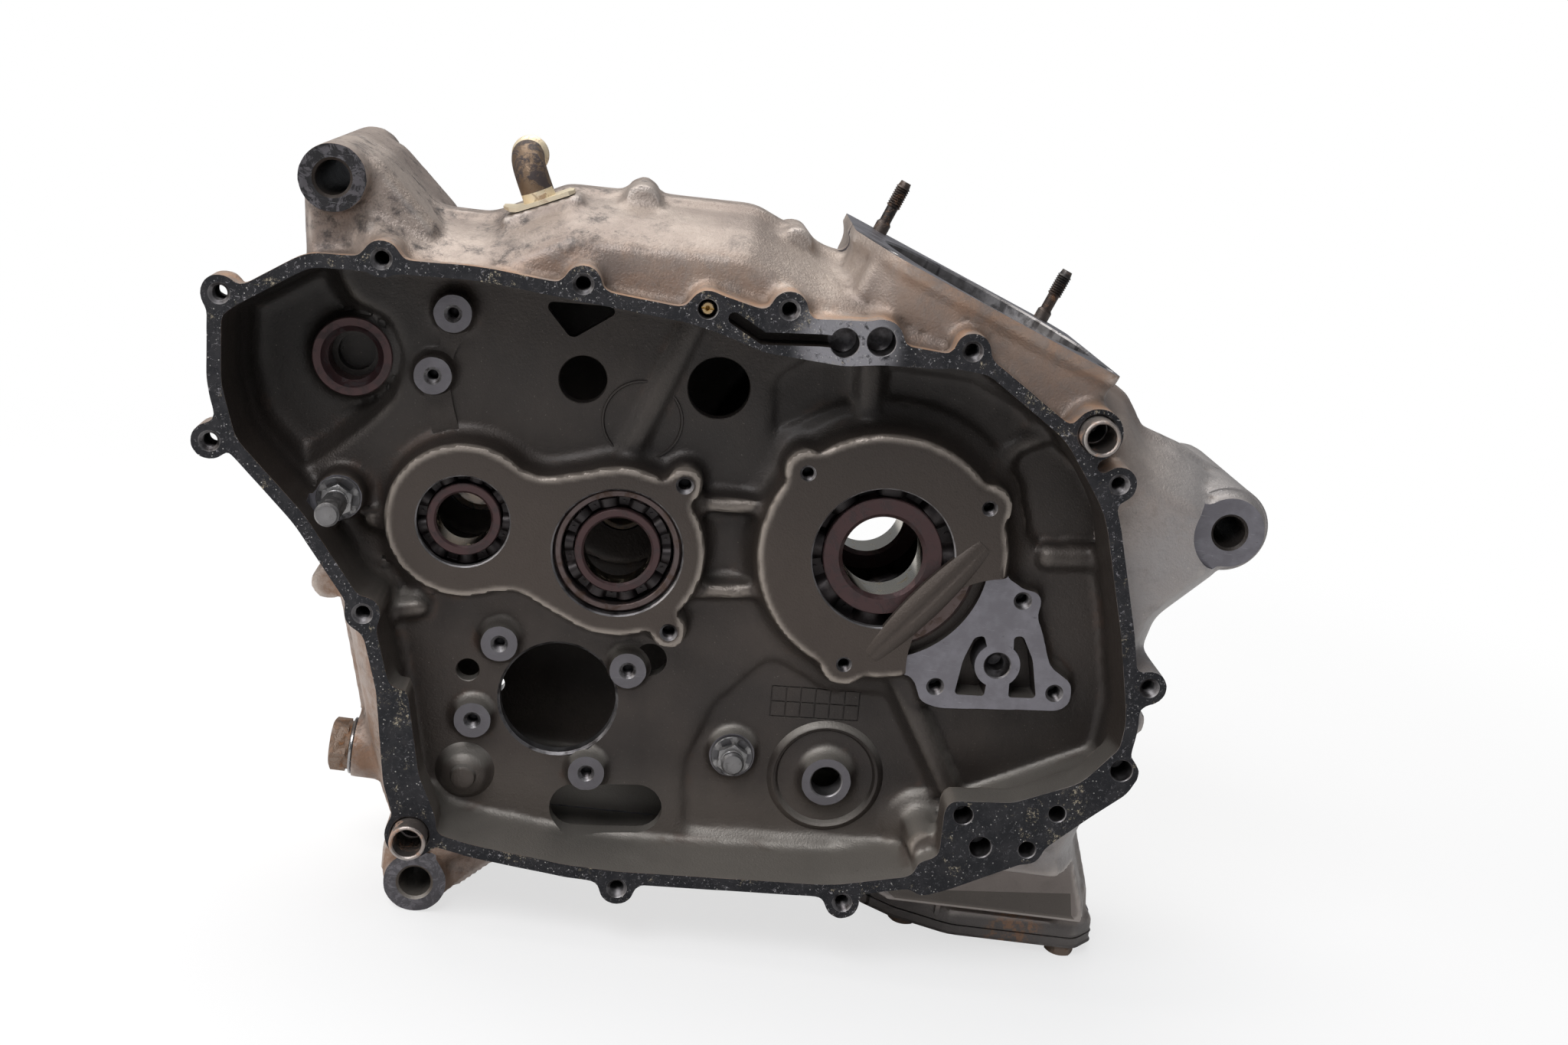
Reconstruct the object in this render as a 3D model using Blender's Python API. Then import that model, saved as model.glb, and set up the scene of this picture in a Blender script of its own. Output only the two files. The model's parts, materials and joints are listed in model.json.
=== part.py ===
"""Crankcase of a single-cylinder four-stroke engine, with the bearings left in its two cast halves.

Sizes are in millimetres and become metres where a mesh is made. The drawing frame has the
crankshaft's axis at X = 0 and Z = 0, running along Y. The two halves part at Y = 0, and the open
clutch cavity faces negative Y. A parent empty lifts the drawing so that the part stands on Z = 0
with the middle of its length and depth at the origin.
"""
import math
from dataclasses import dataclass

import bmesh
import bpy
from mathutils import Vector

MM = 0.001
GAP = 0.3
OVERCUT = 1.0
# further than any face of the part lies from the crankshaft
BEYOND = 300.0

# Planes across the crankshaft's axis
COVER_FACE_Y = -60.0
HOUSING_FACE_Y = -45.0
CLUTCH_FLOOR_Y = -30.0
CLUTCH_WEB = 6.0
POT_FLOOR_Y = -20.0
PAN_BACK_Y = -6.0
FAR_WALL_Y = 42.0
FAR_FACE_Y = 50.0
MAGNETO_FACE_Y = 55.0
FLANGE_DEPTH = 7.0

# Cover rim
RIM_WIDTH = 5.0
RIM_LIP_DEPTH = 6.0
RIM_PATH = [
    (-246, 60, 6), (-216, 81.5, 16), (-158, 85.2, 60), (-88, 81.5, 60), (24, 78.5, 10), (57, 58.5, 30),
    (77, 33, 40), (92, -12, 80), (101, -46, 30), (99, -70, 10), (48, -97, 14), (37, -118, 8),
    (0, -127.5, 40), (-91, -133, 120), (-135, -129, 60), (-161, -124, 6), (-174.5, -71, 6),
    (-183, -45, 20), (-210.5, -10.5, 30), (-237, 14, 14), (-244, 34, 20),
]

# Joint face between the halves
CASE_PATH = [
    (-216, 84, 10), (-207, 110, 8), (-178, 99.5, 12), (-160, 100, 12), (-134, 114.5, 12), (-64, 117.5, 14),
    (-36, 106, 8), (40, 92, 8), (88, 68, 6), (97, 55.5, 8), (116, 50, 10), (136, 40, 10), (135.5, 5, 8),
    (116, -15.5, 5), (113.5, -29, 5), (121, -43, 8), (102, -109, 12), (112, -136, 8), (115, -151, 4),
    (28, -151, 6), (8, -139, 12), (-120, -142, 10), (-146, -156, 8), (-170, -146, 6), (-178, -128, 10),
    (-187, -102, 20), (-200, -56, 12), (-206, -30, 10), (-213, 20, 20),
]
CHAMBER_PATH = [
    (-173, 86, 8), (-158, 90, 10), (-133, 104, 10), (-67, 107, 10), (-42, 97, 6), (-16, 93, 6),
    (56, 64.5, 12), (84, 44, 10), (104, 14, 10), (106, -50, 12), (91, -110, 10), (101, -141, 5),
    (36, -141, 6),
    (6, -129, 10), (-118, -132, 10), (-158, -126, 10), (-178, -96, 15), (-188, -58, 12), (-190, -36, 10),
    (-174, -6, 12),
]
BODY_DRAFT = [(0.0, 0.0), (FLANGE_DEPTH, 0.0), (FLANGE_DEPTH + 1, 2.5), (30.0, 7.0), (46.0, 16.0)]
FAR_DRAFT = [(0.0, 0.0), (FLANGE_DEPTH, 0.0), (FLANGE_DEPTH + 1, 2.5), (42.0, 9.0), (FAR_FACE_Y, 16.0)]

# Crankshaft, gearbox main shaft and countershaft
CRANK = (0.0, 0.0)
MAIN = (-97.5, -11.5)
COUNTER = (-154.5, -7.5)

# Cylinder deck: its plane, as a distance from the crankshaft and a lean to the right
DECK_LEAN_DEG = 19.5
DECK_HEIGHT = 100.0
DECK_LIP = 4.0
DECK_STOCK = 30.0
DECK_PATH = [(-65, -26, 6), (-61.5, 55, 3), (34, 55, 8), (41, 46, 8), (43.4, -49, 5), (-50, -49, 16)]
CHAMBER_DEPTH = 60.0
NECK_FOOT = CHAMBER_DEPTH - 4.0
# how far the wall under the deck steps in, and at what share of the way from the neck's foot to the deck
DECK_NECK = [(1.0, 0.943), (2.5, 0.682), (8.0, 0.318), (12.0, 0.0)]
CYLINDER_OFFSET = -4.3
CYLINDER_RADIUS = 44.4
MOUTH_FLOOR = DECK_HEIGHT - 13.0
STUD_RADIUS = 3.0
STUD_PROUD = 23.0
STUD_DEPTH = 12.0
STUD_ALONG = (-46.5, 29.0)
STUD_Y = 49.5
DECK_HOLE_RADIUS = 3.4
DECK_HOLES = [(-52.0, -36.0), (38.0, -40.0)]

# Frame mounts: centre, boss radius, bore radius, near and far face
UPPER_MOUNT = (-213.0, 108.6)
LOWER_MOUNT = (-156.5, -151.2)
FRONT_MOUNT = (128.0, 27.0)
MOUNT_BORE = 6.1
MOUNT_RADIUS = 12.0
MOUNT_NEAR_Y = -45.0
MOUNT_FAR_Y = 52.0
FRONT_COLLAR_RADIUS = 16.4
FRONT_COLLAR_STEP = 6.0
FRONT_MOUNT_RADIUS = 13.2
FRONT_NEAR_Y = -40.0
UPPER_ARM = [(-225, 104, 8), (-212, 121, 8), (-199, 116, 8), (-172, 92, 6), (-200, 70, 4), (-221, 74, 4)]
LOWER_ARM = [(-169, -142, 4), (-168, -156, 6), (-152, -162, 6), (-120, -134, 6), (-160, -118, 4)]
FRONT_ARM = [(96, 52, 4), (116, 47, 8), (134, 38, 8), (133, 12, 8), (110, -11, 4), (96, -12, 4)]
ARM_STEP = 9.0
FRONT_ARM_STEP = 14.0

# Cover screws, M6, round the rim
COVER_SCREWS = [
    (-191.5, 85.3), (-122.2, 86.9), (-50.0, 88.5), (16.3, 83.4), (77.6, 43.3), (104.1, -31.3),
    (4.7, -131.5), (-80.5, -136.7), (-185.0, -42.3),
]
LUG_SCREWS = [(-244.8, 65.5), (-243.8, 13.3)]
SCREW_BOSS = 6.6
SCREW_HOLE = 3.2
SCREW_BOSS_DEPTH = 30.0
LUG_DEPTH = 14.0
SCREW_HOLE_DEPTH = 24.0
PAD_HOLES = [
    (44.2, -90.4, 3.6), (79.4, -85.2, 3.2), (52.9, -102.3, 4.1), (70.7, -101.1, 3.2), (100.2, -64.9, 4.1),
]
DOWELS = [(66.3, 60.4), (-159.2, -125.4)]
DOWEL_BOSS = 9.4
DOWEL_RADIUS = 6.7
DOWEL_BORE = 5.3
DOWEL_PROUD = 8.0
DOWEL_SEAT = 10.0
OIL_HOLE = (-16.2, 82.1)
OIL_HOLE_RADIUS = 5.1
OIL_GROOVE = [(-68.6, 82.7), (-57.5, 77.2), (-37.3, 79.5), (-29.0, 79.8)]
OIL_GROOVE_WIDTH = 4.4
OIL_GROOVE_DEPTH = 12.0
JET = (-78.3, 84.6)
JET_RADIUS = 2.2
JET_WELL = 3.4
JET_DEPTH = 12.0
JET_SINK = 1.5
TOP_PAD = [
    (-86, 84.5, 4), (-76, 90.5, 5), (-58, 87, 8), (-42, 86.5, 6), (-18, 89, 6), (-6, 81, 4), (8, 79, 2),
    (8, 75.5, 2), (-14, 74, 6), (-28, 71.5, 6), (-56, 72.3, 10), (-74, 77, 4), (-86, 79, 2),
]
LEFT_PAD = [
    (-177.5, -69, 2), (-166, -69, 2), (-158.5, -101, 10), (-150, -118, 6), (-150, -127, 2), (-163, -127, 4),
    (-171, -106, 10),
]
RIGHT_PAD = [
    (98, -56, 4), (108.5, -64, 6), (104, -74, 6), (92, -85, 15), (77, -100, 5), (68, -108, 6), (44, -121, 15),
    (30, -127, 4), (30, -112, 3), (38, -108, 2), (36.5, -85.5, 5), (62, -83, 12), (86, -72, 15),
]
PAD_DEPTH = 16.0

# Housings in the clutch cavity
CRANK_BOSS = 47.2
CRANK_SCREW_CIRCLE = 43.3
CRANK_SCREW_ANGLES = (34.4, 139.3, 259.3)
CRANK_LOBE = 9.0
TAPPED_HOLE = 2.6
TAPPED_DEPTH = 12.0
MAIN_BOSS = 32.0
COUNTER_BOSS = 28.5
WAIST = [(-145, 17, 4), (-128, 12.5, 14), (-108, 18.5, 4), (-108, -42, 4), (-132, -31, 14), (-148, -34, 4)]
HOUSING_EARS = [(-76.6, 17.3), (-74.7, -39.1)]
EAR_RADIUS = 6.6
EAR_HOLE = 2.9
PIT_RADIUS = 66.0
PIT_WALL = 4.0

# Spot-faced screw bosses in the cavity: centre and how far they stand off the floor
SPOT_BOSSES = [
    (-167.2, 66.4, 8.0), (-171.9, 43.0, 8.0), (-136.4, -55.1, 6.0), (-142.9, -86.6, 6.0), (-87.4, -59.1, 6.0),
    (-97.6, -102.2, 6.0),
]
SPOT_RADIUS = 6.8
WINDOWS = [(-118.5, 47.9, 8.8), (-68.8, 51.9, 11.5), (-112.1, -75.9, 20.5), (-147.2, -68.9, 4.3)]
CHAIN_WINDOW = [(-137, 74.5, 2), (-106, 76.5, 2), (-124.5, 62, 3)]
SLOT = ((-99.2, -121.0), (-76.9, -118.4))
SLOT_RADIUS = 9.3
DOME = (-143.7, -109.3)
DOME_RADII = ((9.5, 4.0), (5.5, 8.0))
RING_BOSS = (-5.5, -94.3)
RING_BOSS_RADIUS = 9.5
RING_BOSS_HOLE = 5.9
RING_WELL = 20.5
RING_WELL_DEPTH = 2.5
TUB_PATH = [
    (-58, -124, 5), (-62, -96, 12), (-54, -70, 12), (-36, -48, 8), (10, -54, 12), (36, -84, 12),
    (38, -118, 5),
]
TUB_DEPTH = 2.5
IDLE_GEAR = (-202.2, 43.9)
IDLE_BOSS = 14.6
IDLE_BOSS_HEIGHT = 8.0
IDLE_SEAT = 11.6
IDLE_BUSH_BORE = 9.0
IDLE_SEAT_DEPTH = 11.0
IDLE_BLIND = 6.9
IDLE_BLIND_DEPTH = 5.0
POT_PATH = [
    (-247, 90, 4), (-196, 92, 6), (-180, 66, 22), (-180, 36, 22), (-200, 14, 12), (-222, -6, 6),
    (-262, 10, 6),
]
# outline and floor of each pocket beside the cavity's floor
SIDE_POCKETS = [
    ([(30, 62, 3), (49, 50, 3), (57, 46, 6), (74, 25, 8), (79, 8, 3), (66, 7, 3), (58, 30, 25), (44, 46, 6),
     (26, 60, 3)], -16.0),
    ([(-176, -22, 5), (-190, -20, 6), (-178, -46, 4), (-172, -46, 4), (-170, -30, 4)], -27.0),
]
POCKET_WALL = 4.0
CAVITY_RIBS = [
    # start, end, width, height above the floor
    ((-80.5, 77.0), (-99.5, 20.0), 7.0, 7.0),
    ((-15.5, 75.0), (-12.0, 44.0), 5.5, 6.0),
    ((-72.0, 9.5), (-34.0, 12.0), 4.5, 11.0),
    ((-66.0, -24.0), (-33.0, -19.5), 4.5, 11.0),
    ((64.0, 5.5), (86.0, 8.5), 4.5, 8.0),
    ((13.0, -46.0), (39.0, -86.0), 4.5, 8.0),
    ((-188.0, -14.0), (-178.0, -16.0), 5.0, 10.0),
    ((-188.0, -52.0), (-168.0, -46.0), 5.0, 8.0),
]
GALLERY_ENDS = ((7.0, -36.0), (37.0, 4.5))
GALLERY_RADIUS = 4.2

# Oil pump seat
PUMP_FACE_Y = -40.0
PUMP_PATH = [
    (55.5, -3.5, 6), (62, -10, 5), (62, -17, 8), (70, -30, 10), (80.5, -41, 6), (78, -51.5, 5),
    (38, -55.5, 10), (22, -51, 6), (16, -42, 10), (24, -26, 20), (46, -8, 6),
]
PUMP_SHAFT = (50.6, -36.6)
PUMP_BORE = 6.1
PUMP_BLIND = 3.1
PUMP_HOLES = [(55.5, -10.1), (28.6, -48.1), (74.3, -44.6)]
PUMP_PORTS = [
    [(42, -25.5, 1.5), (44, -28, 1.5), (41.5, -38, 3), (49, -46.5, 1.5), (48, -49.5, 1), (36.5, -50, 1)],
    [(55.5, -23.5, 1.5), (62, -31, 4), (67, -47.5, 1), (56, -48.5, 1), (55, -46, 1.5), (60.5, -39, 3),
     (53.5, -27, 1.5)],
]
PUMP_PORT_DEPTH = 12.0
PUMP_CUT_RADIUS = 40.0

# Posts left screwed into the cavity
SPRING_POST = (-200.0, -5.5)
SPRING_POST_SEAT_Y = -42.0
STOPPER_POST = (-43.1, -88.9)
STOPPER_POST_SEAT_Y = CLUTCH_FLOOR_Y - 2.0
POST_FLANGE = 6.8
POST_HEX = 6.2
POST_RADIUS = 4.4
POST_SHANK = 2.9
POST_SHANK_DEPTH = 9.0
POST_BOSS = 8.6
SPRING_POST_LENGTH = 26.0
STOPPER_POST_LENGTH = 10.0

# Drain plug on the left wall
DRAIN = (-12.6, -112.0)
DRAIN_FACE_X = -187.5
DRAIN_BOSS = 12.0
DRAIN_THREAD = 6.0
DRAIN_HEX = 10.4
DRAIN_HEX_HEIGHT = 7.5
WASHER_RADIUS = 11.0
WASHER_THICKNESS = 1.2
DRAIN_DEPTH = 14.0
DRAIN_BOSS_START = 168.0
DRAIN_BORE_START = 160.0

# Oil strainer cover under the sump
SUMP_FACE_Z = -154.5
SUMP_FLANGE = 6.0
SUMP_PATH = [(20, 4, 6), (34, -8, 10), (56, -18, 14), (108, -18, 6), (117, -8, 6), (117, 38, 6), (34, 38, 10)]
SUMP_OPENING = [(46, 0, 6), (60, -7, 6), (98, -7, 6), (104, 0, 4), (104, 26, 6), (46, 26, 6)]
COVER_THICKNESS = 4.0
SUMP_BOLTS = [(40.0, 0.0), (104.0, -12.0), (110.0, 31.0), (40.0, 31.0)]
SUMP_BOLT_SHANK = 2.9
SUMP_BOLT_HEAD = 6.0
SUMP_BOLT_HEAD_HEIGHT = 4.1
SUMP_BOLT_DEPTH = 16.0
SUMP_COLUMN = 6.2
SUMP_COLUMN_TOP_Z = -132.0
RELIEF_FACE_Y = -14.0
RELIEF_NEAR_Y = -70.0
RELIEF_PATH = [(12, -118), (130, -118), (130, -175), (12, -175)]

# Screws and dowels that join the halves
CASE_SCREWS = [
    (-106.0, 113.5), (-204.0, -46.0), (-48.0, 106.5), (107.0, 44.0), (112.0, -60.0), (-22.0, -134.0),
]
CASE_SCREW_BOSS = 6.6
CASE_SCREW_SHANK = 2.9
CASE_SCREW_HEAD = 5.6
CASE_SCREW_HEAD_HEIGHT = 5.0
HEAD_CLEARANCE = 1.2
CASE_BOSS_DEPTH = 18.0
CASE_SCREW_REACH = 14.0
CASE_DOWELS = [(-199.0, 92.0), (97.0, -98.0)]
CASE_DOWEL_RADIUS = 5.0
CASE_DOWEL_BORE = 3.6
CASE_DOWEL_HALF = 6.0
CASE_DOWEL_BOSS = 8.0

# Breather pipe on the gearbox roof
BREATHER_FOOT = (-142.0, -16.5, 107.5)
BREATHER_ROUTE = [
    (-0.5, 0.0, 1.0), (-4.2, 0.0, 8.6), (-6.4, 2.0, 13.2), (-7.2, 6.5, 15.6), (-6.6, 13.0, 16.2),
]
BREATHER_RADIUS = 6.0
BREATHER_BEAD = 7.0
BREATHER_PLATE = (26.0, 15.0, 1.6)
BREATHER_TILT_DEG = 26.0

# Far side of the far half
MAGNETO_WALL = 5.0
MAGNETO_RADIUS = 62.0
FAR_SHAFT_BOSS = 26.0
FAR_SHAFT_BOSS_Y = 30.0
BUSH_WALL = 2.5
BUSH_LENGTH = 14.0
MAIN_BUSH_RADIUS = 11.0
COUNTER_BUSH_RADIUS = 15.0
SHIFT_HOLE = (-134.0, -97.0)
SHIFT_HOLE_RADIUS = 11.0

# How finely round forms are faceted
CYLINDER_SIDES = 24
SHAFT_SIDES = 14
MOUNT_SIDES = 16
SMALL_BORE_SIDES = 12
DRAIN_SIDES = 12
BOSS_SIDES = 10
HOLE_SIDES = 8
CURVE_STEP_DEG = 45.0


@dataclass(frozen=True)
class BallBearing:
    """Size and place of one single-row ball bearing."""

    name: str
    centre: tuple
    near_y: float
    bore: float
    outside: float
    width: float
    inner_shoulder: float
    outer_shoulder: float
    ball: float
    balls: int
    sides: int

    @property
    def pitch(self):
        return (self.bore + self.outside) / 4

    @property
    def far_y(self):
        return self.near_y + self.width

    @property
    def seat(self):
        return self.outside / 2 + GAP


# bore, outside and width, then the shoulders of the inner and outer ring and the ball, all across
CRANK_RACE = (30.0, 72.0, 19.0, 44.6, 59.6, 12.3)
MAIN_RACE = (25.0, 47.0, 12.0, 31.6, 41.4, 6.4)
COUNTER_RACE = (20.0, 42.0, 12.0, 27.0, 36.0, 6.4)
NEAR_BEARINGS_Y = -42.0
CRANK_FAR_Y = 19.0
CRANK_NEAR = BallBearing("crank_bearing_right", CRANK, NEAR_BEARINGS_Y, *CRANK_RACE, 8, 20)
CRANK_FAR = BallBearing("crank_bearing_left", CRANK, CRANK_FAR_Y, *CRANK_RACE, 8, 20)
MAIN_NEAR = BallBearing("main_shaft_bearing", MAIN, NEAR_BEARINGS_Y, *MAIN_RACE, 10, 16)
COUNTER_NEAR = BallBearing("countershaft_bearing", COUNTER, NEAR_BEARINGS_Y, *COUNTER_RACE, 9, 16)
BEARINGS = (CRANK_NEAR, CRANK_FAR, MAIN_NEAR, COUNTER_NEAR)
CRANK_LIP = 26.5
COUNTER_LIP = 16.9
MAIN_SHOULDER = 19.0
RACE_CLEARANCE = 1.2

# The drawing is lifted onto the floor, and its middle is moved to the origin
LEFT_REACH = LUG_SCREWS[0][0] - SCREW_BOSS
RIGHT_REACH = FRONT_MOUNT[0] + FRONT_COLLAR_RADIUS
NEAR_REACH = SPRING_POST_SEAT_Y - GAP - SPRING_POST_LENGTH
FAR_REACH = MAGNETO_FACE_Y
FLOOR_Z = LOWER_MOUNT[1] - MOUNT_RADIUS
DATUM = (-(LEFT_REACH + RIGHT_REACH) / 2, -(NEAR_REACH + FAR_REACH) / 2, -FLOOR_Z)


def new_material(name, colour, metallic, roughness):
    """A Principled material with one colour."""
    material = bpy.data.materials.new(name)
    material.use_nodes = True
    shader = material.node_tree.nodes["Principled BSDF"]
    shader.inputs["Base Color"].default_value = (*colour, 1.0)
    shader.inputs["Metallic"].default_value = metallic
    shader.inputs["Roughness"].default_value = roughness
    return material


def deck_point(along, height):
    """Turn a place along the deck and above the crankshaft into (x, z)."""
    lean = math.radians(DECK_LEAN_DEG)
    rise, run = math.cos(lean), math.sin(lean)
    return (along * rise + height * run, height * rise - along * run)


def rounded(path, inset=0.0):
    """Turn clockwise corners (a, b, radius) into a closed round-cornered outline, moved inward by inset."""
    count = len(path)
    points = [Vector(corner[:2]) for corner in path]
    directions = [(points[(i + 1) % count] - points[i]).normalized() for i in range(count)]
    shifted = []
    for i, point in enumerate(points):
        before, after = directions[i - 1], directions[i]
        right_before = Vector((before.y, -before.x))
        right_after = Vector((after.y, -after.x))
        shifted.append(point + (right_before + right_after) * (inset / (1 + right_before.dot(right_after))))
    outline = []
    for i, point in enumerate(shifted):
        before, after = directions[i - 1], directions[i]
        cross = before.x * after.y - before.y * after.x
        turn = math.atan2(abs(cross), before.dot(after))
        bend = -1 if cross < 0 else 1
        room = min((point - shifted[i - 1]).length, (shifted[(i + 1) % count] - point).length) * 0.48
        radius = max(path[i][2] + inset * bend, 0.3)
        reach = min(radius * math.tan(turn / 2), room)
        radius = reach / math.tan(turn / 2)
        side = Vector((-before.y, before.x)) * bend
        steps = round(math.degrees(turn) / CURVE_STEP_DEG)
        if steps == 0:
            outline.append(point)
            continue
        start = point - before * reach
        for k in range(steps + 1):
            angle = turn * k / steps
            outline.append(start + radius * (math.sin(angle) * before + (1 - math.cos(angle)) * side))
    return [tuple(p) for p in outline]


def slot_outline(start, end, radius, sides=HOLE_SIDES):
    """Outline of a round-ended slot between two centres."""
    start, end = Vector(start), Vector(end)
    heading = math.atan2(end.y - start.y, end.x - start.x)
    outline = []
    for centre, first in ((end, heading + math.pi / 2), (start, heading - math.pi / 2)):
        for k in range(sides // 2 + 1):
            angle = first - math.pi * k / (sides // 2)
            outline.append((centre.x + radius * math.cos(angle), centre.y + radius * math.sin(angle)))
    return outline


def arc_band(radius, width, first_deg, last_deg, sides):
    """Outline of a curved band about the crankshaft."""
    outline = []
    for reach, angles in ((radius + width, (last_deg, first_deg)), (radius, (first_deg, last_deg))):
        for k in range(sides + 1):
            angle = math.radians(angles[0] + (angles[1] - angles[0]) * k / sides)
            outline.append((reach * math.cos(angle), reach * math.sin(angle)))
    return outline


class Workshop:
    """Makes objects under one datum empty, and keeps cutters and blanks out of sight."""

    def __init__(self):
        self.scene = bpy.context.scene
        self.datum = bpy.data.objects.new("datum", None)
        self.datum.location = Vector(DATUM) * MM
        self.scene.collection.objects.link(self.datum)
        self.tools = 0

    def _object(self, name, bm, material, location):
        bmesh.ops.recalc_face_normals(bm, faces=bm.faces)
        mesh = bpy.data.meshes.new(name)
        bm.to_mesh(mesh)
        bm.free()
        obj = bpy.data.objects.new(name, mesh)
        obj.parent = self.datum
        obj.location = Vector(location) * MM
        self.scene.collection.objects.link(obj)
        if material:
            mesh.materials.append(material)
        return obj

    def _name(self, name):
        if name:
            return name
        self.tools += 1
        return f"tool_{self.tools:03d}"

    def loft(self, levels, name=None, material=None, upright=False):
        """Skin outlines of equal point count; a level is (outline, place along Y, or Z if upright)."""
        bm = bmesh.new()
        rings = []
        for outline, level in levels:
            if upright:
                ring = [bm.verts.new((a * MM, b * MM, level * MM)) for a, b in outline]
            else:
                ring = [bm.verts.new((a * MM, level * MM, b * MM)) for a, b in outline]
            rings.append(ring)
        bm.faces.new(rings[0])
        bm.faces.new(rings[-1])
        for low, high in zip(rings, rings[1:]):
            for i in range(len(low)):
                j = (i + 1) % len(low)
                bm.faces.new((low[i], low[j], high[j], high[i]))
        return self._object(self._name(name), bm, material, (0, 0, 0))

    def prism(self, outline, near, far, name=None, material=None, upright=False):
        """Straight prism between two levels."""
        return self.loft([(outline, near), (outline, far)], name, material, upright)

    def turned(self, profile, centre=(0, 0, 0), axis=(0, 1, 0), sides=BOSS_SIDES, name=None, material=None):
        """Turn a profile of (radius, height) about an axis; a zero radius closes it on the axis."""
        bm = bmesh.new()
        turn = Vector((0, 1, 0)).rotation_difference(Vector(axis)).to_matrix()
        rings = []
        for radius, height in profile:
            if radius == 0:
                rings.append([bm.verts.new(turn @ Vector((0, height * MM, 0)))] * sides)
                continue
            ring = []
            for k in range(sides):
                angle = 2 * math.pi * k / sides
                point = Vector((radius * math.cos(angle), height, radius * math.sin(angle))) * MM
                ring.append(bm.verts.new(turn @ point))
            rings.append(ring)
        if profile[0][0] and profile[-1][0]:
            rings.append(rings[0])
        for low, high in zip(rings, rings[1:]):
            for i in range(sides):
                j = (i + 1) % sides
                corners = []
                for vert in (low[i], low[j], high[j], high[i]):
                    if vert not in corners:
                        corners.append(vert)
                bm.faces.new(corners)
        obj = self._object(self._name(name), bm, material, centre)
        obj.data.shade_smooth()
        obj.data.set_sharp_from_angle(angle=math.radians(35))
        return obj

    def disc(self, centre, radius, near, far, sides=BOSS_SIDES, name=None, material=None):
        """Plain cylinder along Y at (x, z)."""
        profile = [(0, near), (radius, near), (radius, far), (0, far)]
        return self.turned(profile, (centre[0], 0, centre[1]), sides=sides, name=name, material=material)

    def rod(self, centre, axis, radius, start, end, sides=BOSS_SIDES):
        """Plain cylinder from start to end along any axis through centre."""
        return self.turned([(0, start), (radius, start), (radius, end), (0, end)], centre, axis, sides)

    def bar(self, start, end, width, near, far):
        """Straight bar with round ends, lying across Y."""
        return self.prism(slot_outline(start, end, width / 2, 4), near, far)

    def tube(self, route, radius, sides=BOSS_SIDES):
        """Round bar along a bent route, mitred at its points."""
        bm = bmesh.new()
        rings = []
        for i, point in enumerate(route):
            before = (point - route[max(i - 1, 0)]).normalized()
            after = (route[min(i + 1, len(route) - 1)] - point).normalized()
            heading = (before + after).normalized()
            across = heading.cross(Vector((1, 0, 0))).normalized()
            up = across.cross(heading)
            ring = []
            for k in range(sides):
                angle = 2 * math.pi * k / sides
                offset = math.cos(angle) * across + math.sin(angle) * up
                ring.append(bm.verts.new((point + radius * offset) * MM))
            rings.append(ring)
        bm.faces.new(rings[0])
        bm.faces.new(rings[-1])
        for low, high in zip(rings, rings[1:]):
            for i in range(sides):
                j = (i + 1) % sides
                bm.faces.new((low[i], low[j], high[j], high[i]))
        return self._object(self._name(None), bm, None, (0, 0, 0))

    def necklace(self, bearing, name, material):
        """Ring of balls joined by the ribbon of their cage, swept round the bearing's pitch circle."""
        ball = bearing.ball / 2
        # along the pitch circle, radial half size and axial half size, all as shares of the ball's radius
        stations = [(-0.94, 0.2, 0.6), (-0.5, 0.87, 0.87), (0.5, 0.87, 0.87), (0.94, 0.2, 0.6)]
        bm = bmesh.new()
        rings = []
        for k in range(bearing.balls):
            for along, radial, axial in stations:
                angle = 2 * math.pi * k / bearing.balls + along * ball / bearing.pitch
                ring = []
                for corner in range(6):
                    turn = math.radians(60 * corner)
                    reach = bearing.pitch + radial * ball * math.sin(turn)
                    place = (reach * math.cos(angle), axial * ball * math.cos(turn), reach * math.sin(angle))
                    ring.append(bm.verts.new(Vector(place) * MM))
                rings.append(ring)
        for low, high in zip(rings, rings[1:] + rings[:1]):
            for i in range(6):
                j = (i + 1) % 6
                bm.faces.new((low[i], low[j], high[j], high[i]))
        centre = (bearing.centre[0], bearing.near_y + bearing.width / 2, bearing.centre[1])
        return self._object(name, bm, material, centre)

    def combine(self, target, operation, tools, solver="MANIFOLD"):
        """Boolean the target with a group of tools, which stay in the file as hidden wires.

        The exact solver leaves open edges where the many bosses and ribs cross, so MANIFOLD does the work.
        """
        group = bpy.data.collections.new(f"{target.name}_{len(target.modifiers)}_{operation.lower()}")
        self.scene.collection.children.link(group)
        for tool in tools:
            self.scene.collection.objects.unlink(tool)
            group.objects.link(tool)
            tool.hide_render = True
            tool.display_type = "WIRE"
        modifier = target.modifiers.new(operation.title(), "BOOLEAN")
        modifier.operation = operation
        modifier.operand_type = "COLLECTION"
        modifier.collection = group
        modifier.solver = solver
        return target


def hex_outline(radius):
    """Six corners about the origin, clockwise."""
    angles = [math.radians(-60 * k) for k in range(6)]
    return [(radius * math.cos(angle), radius * math.sin(angle)) for angle in angles]


def moved(outline, centre):
    """Outline shifted to a centre."""
    return [(a + centre[0], b + centre[1]) for a, b in outline]


def crank_screws():
    """Centres of the three tapped holes round the crankshaft bearing."""
    angles = [math.radians(angle) for angle in CRANK_SCREW_ANGLES]
    return [(CRANK_SCREW_CIRCLE * math.cos(angle), CRANK_SCREW_CIRCLE * math.sin(angle)) for angle in angles]


def body_levels(path, draft, side):
    """Levels of a case half from the joint face out; side is -1 for the clutch side, 1 for the far one."""
    return [(rounded(path, inset), side * max(depth, GAP / 2)) for depth, inset in draft]


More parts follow.
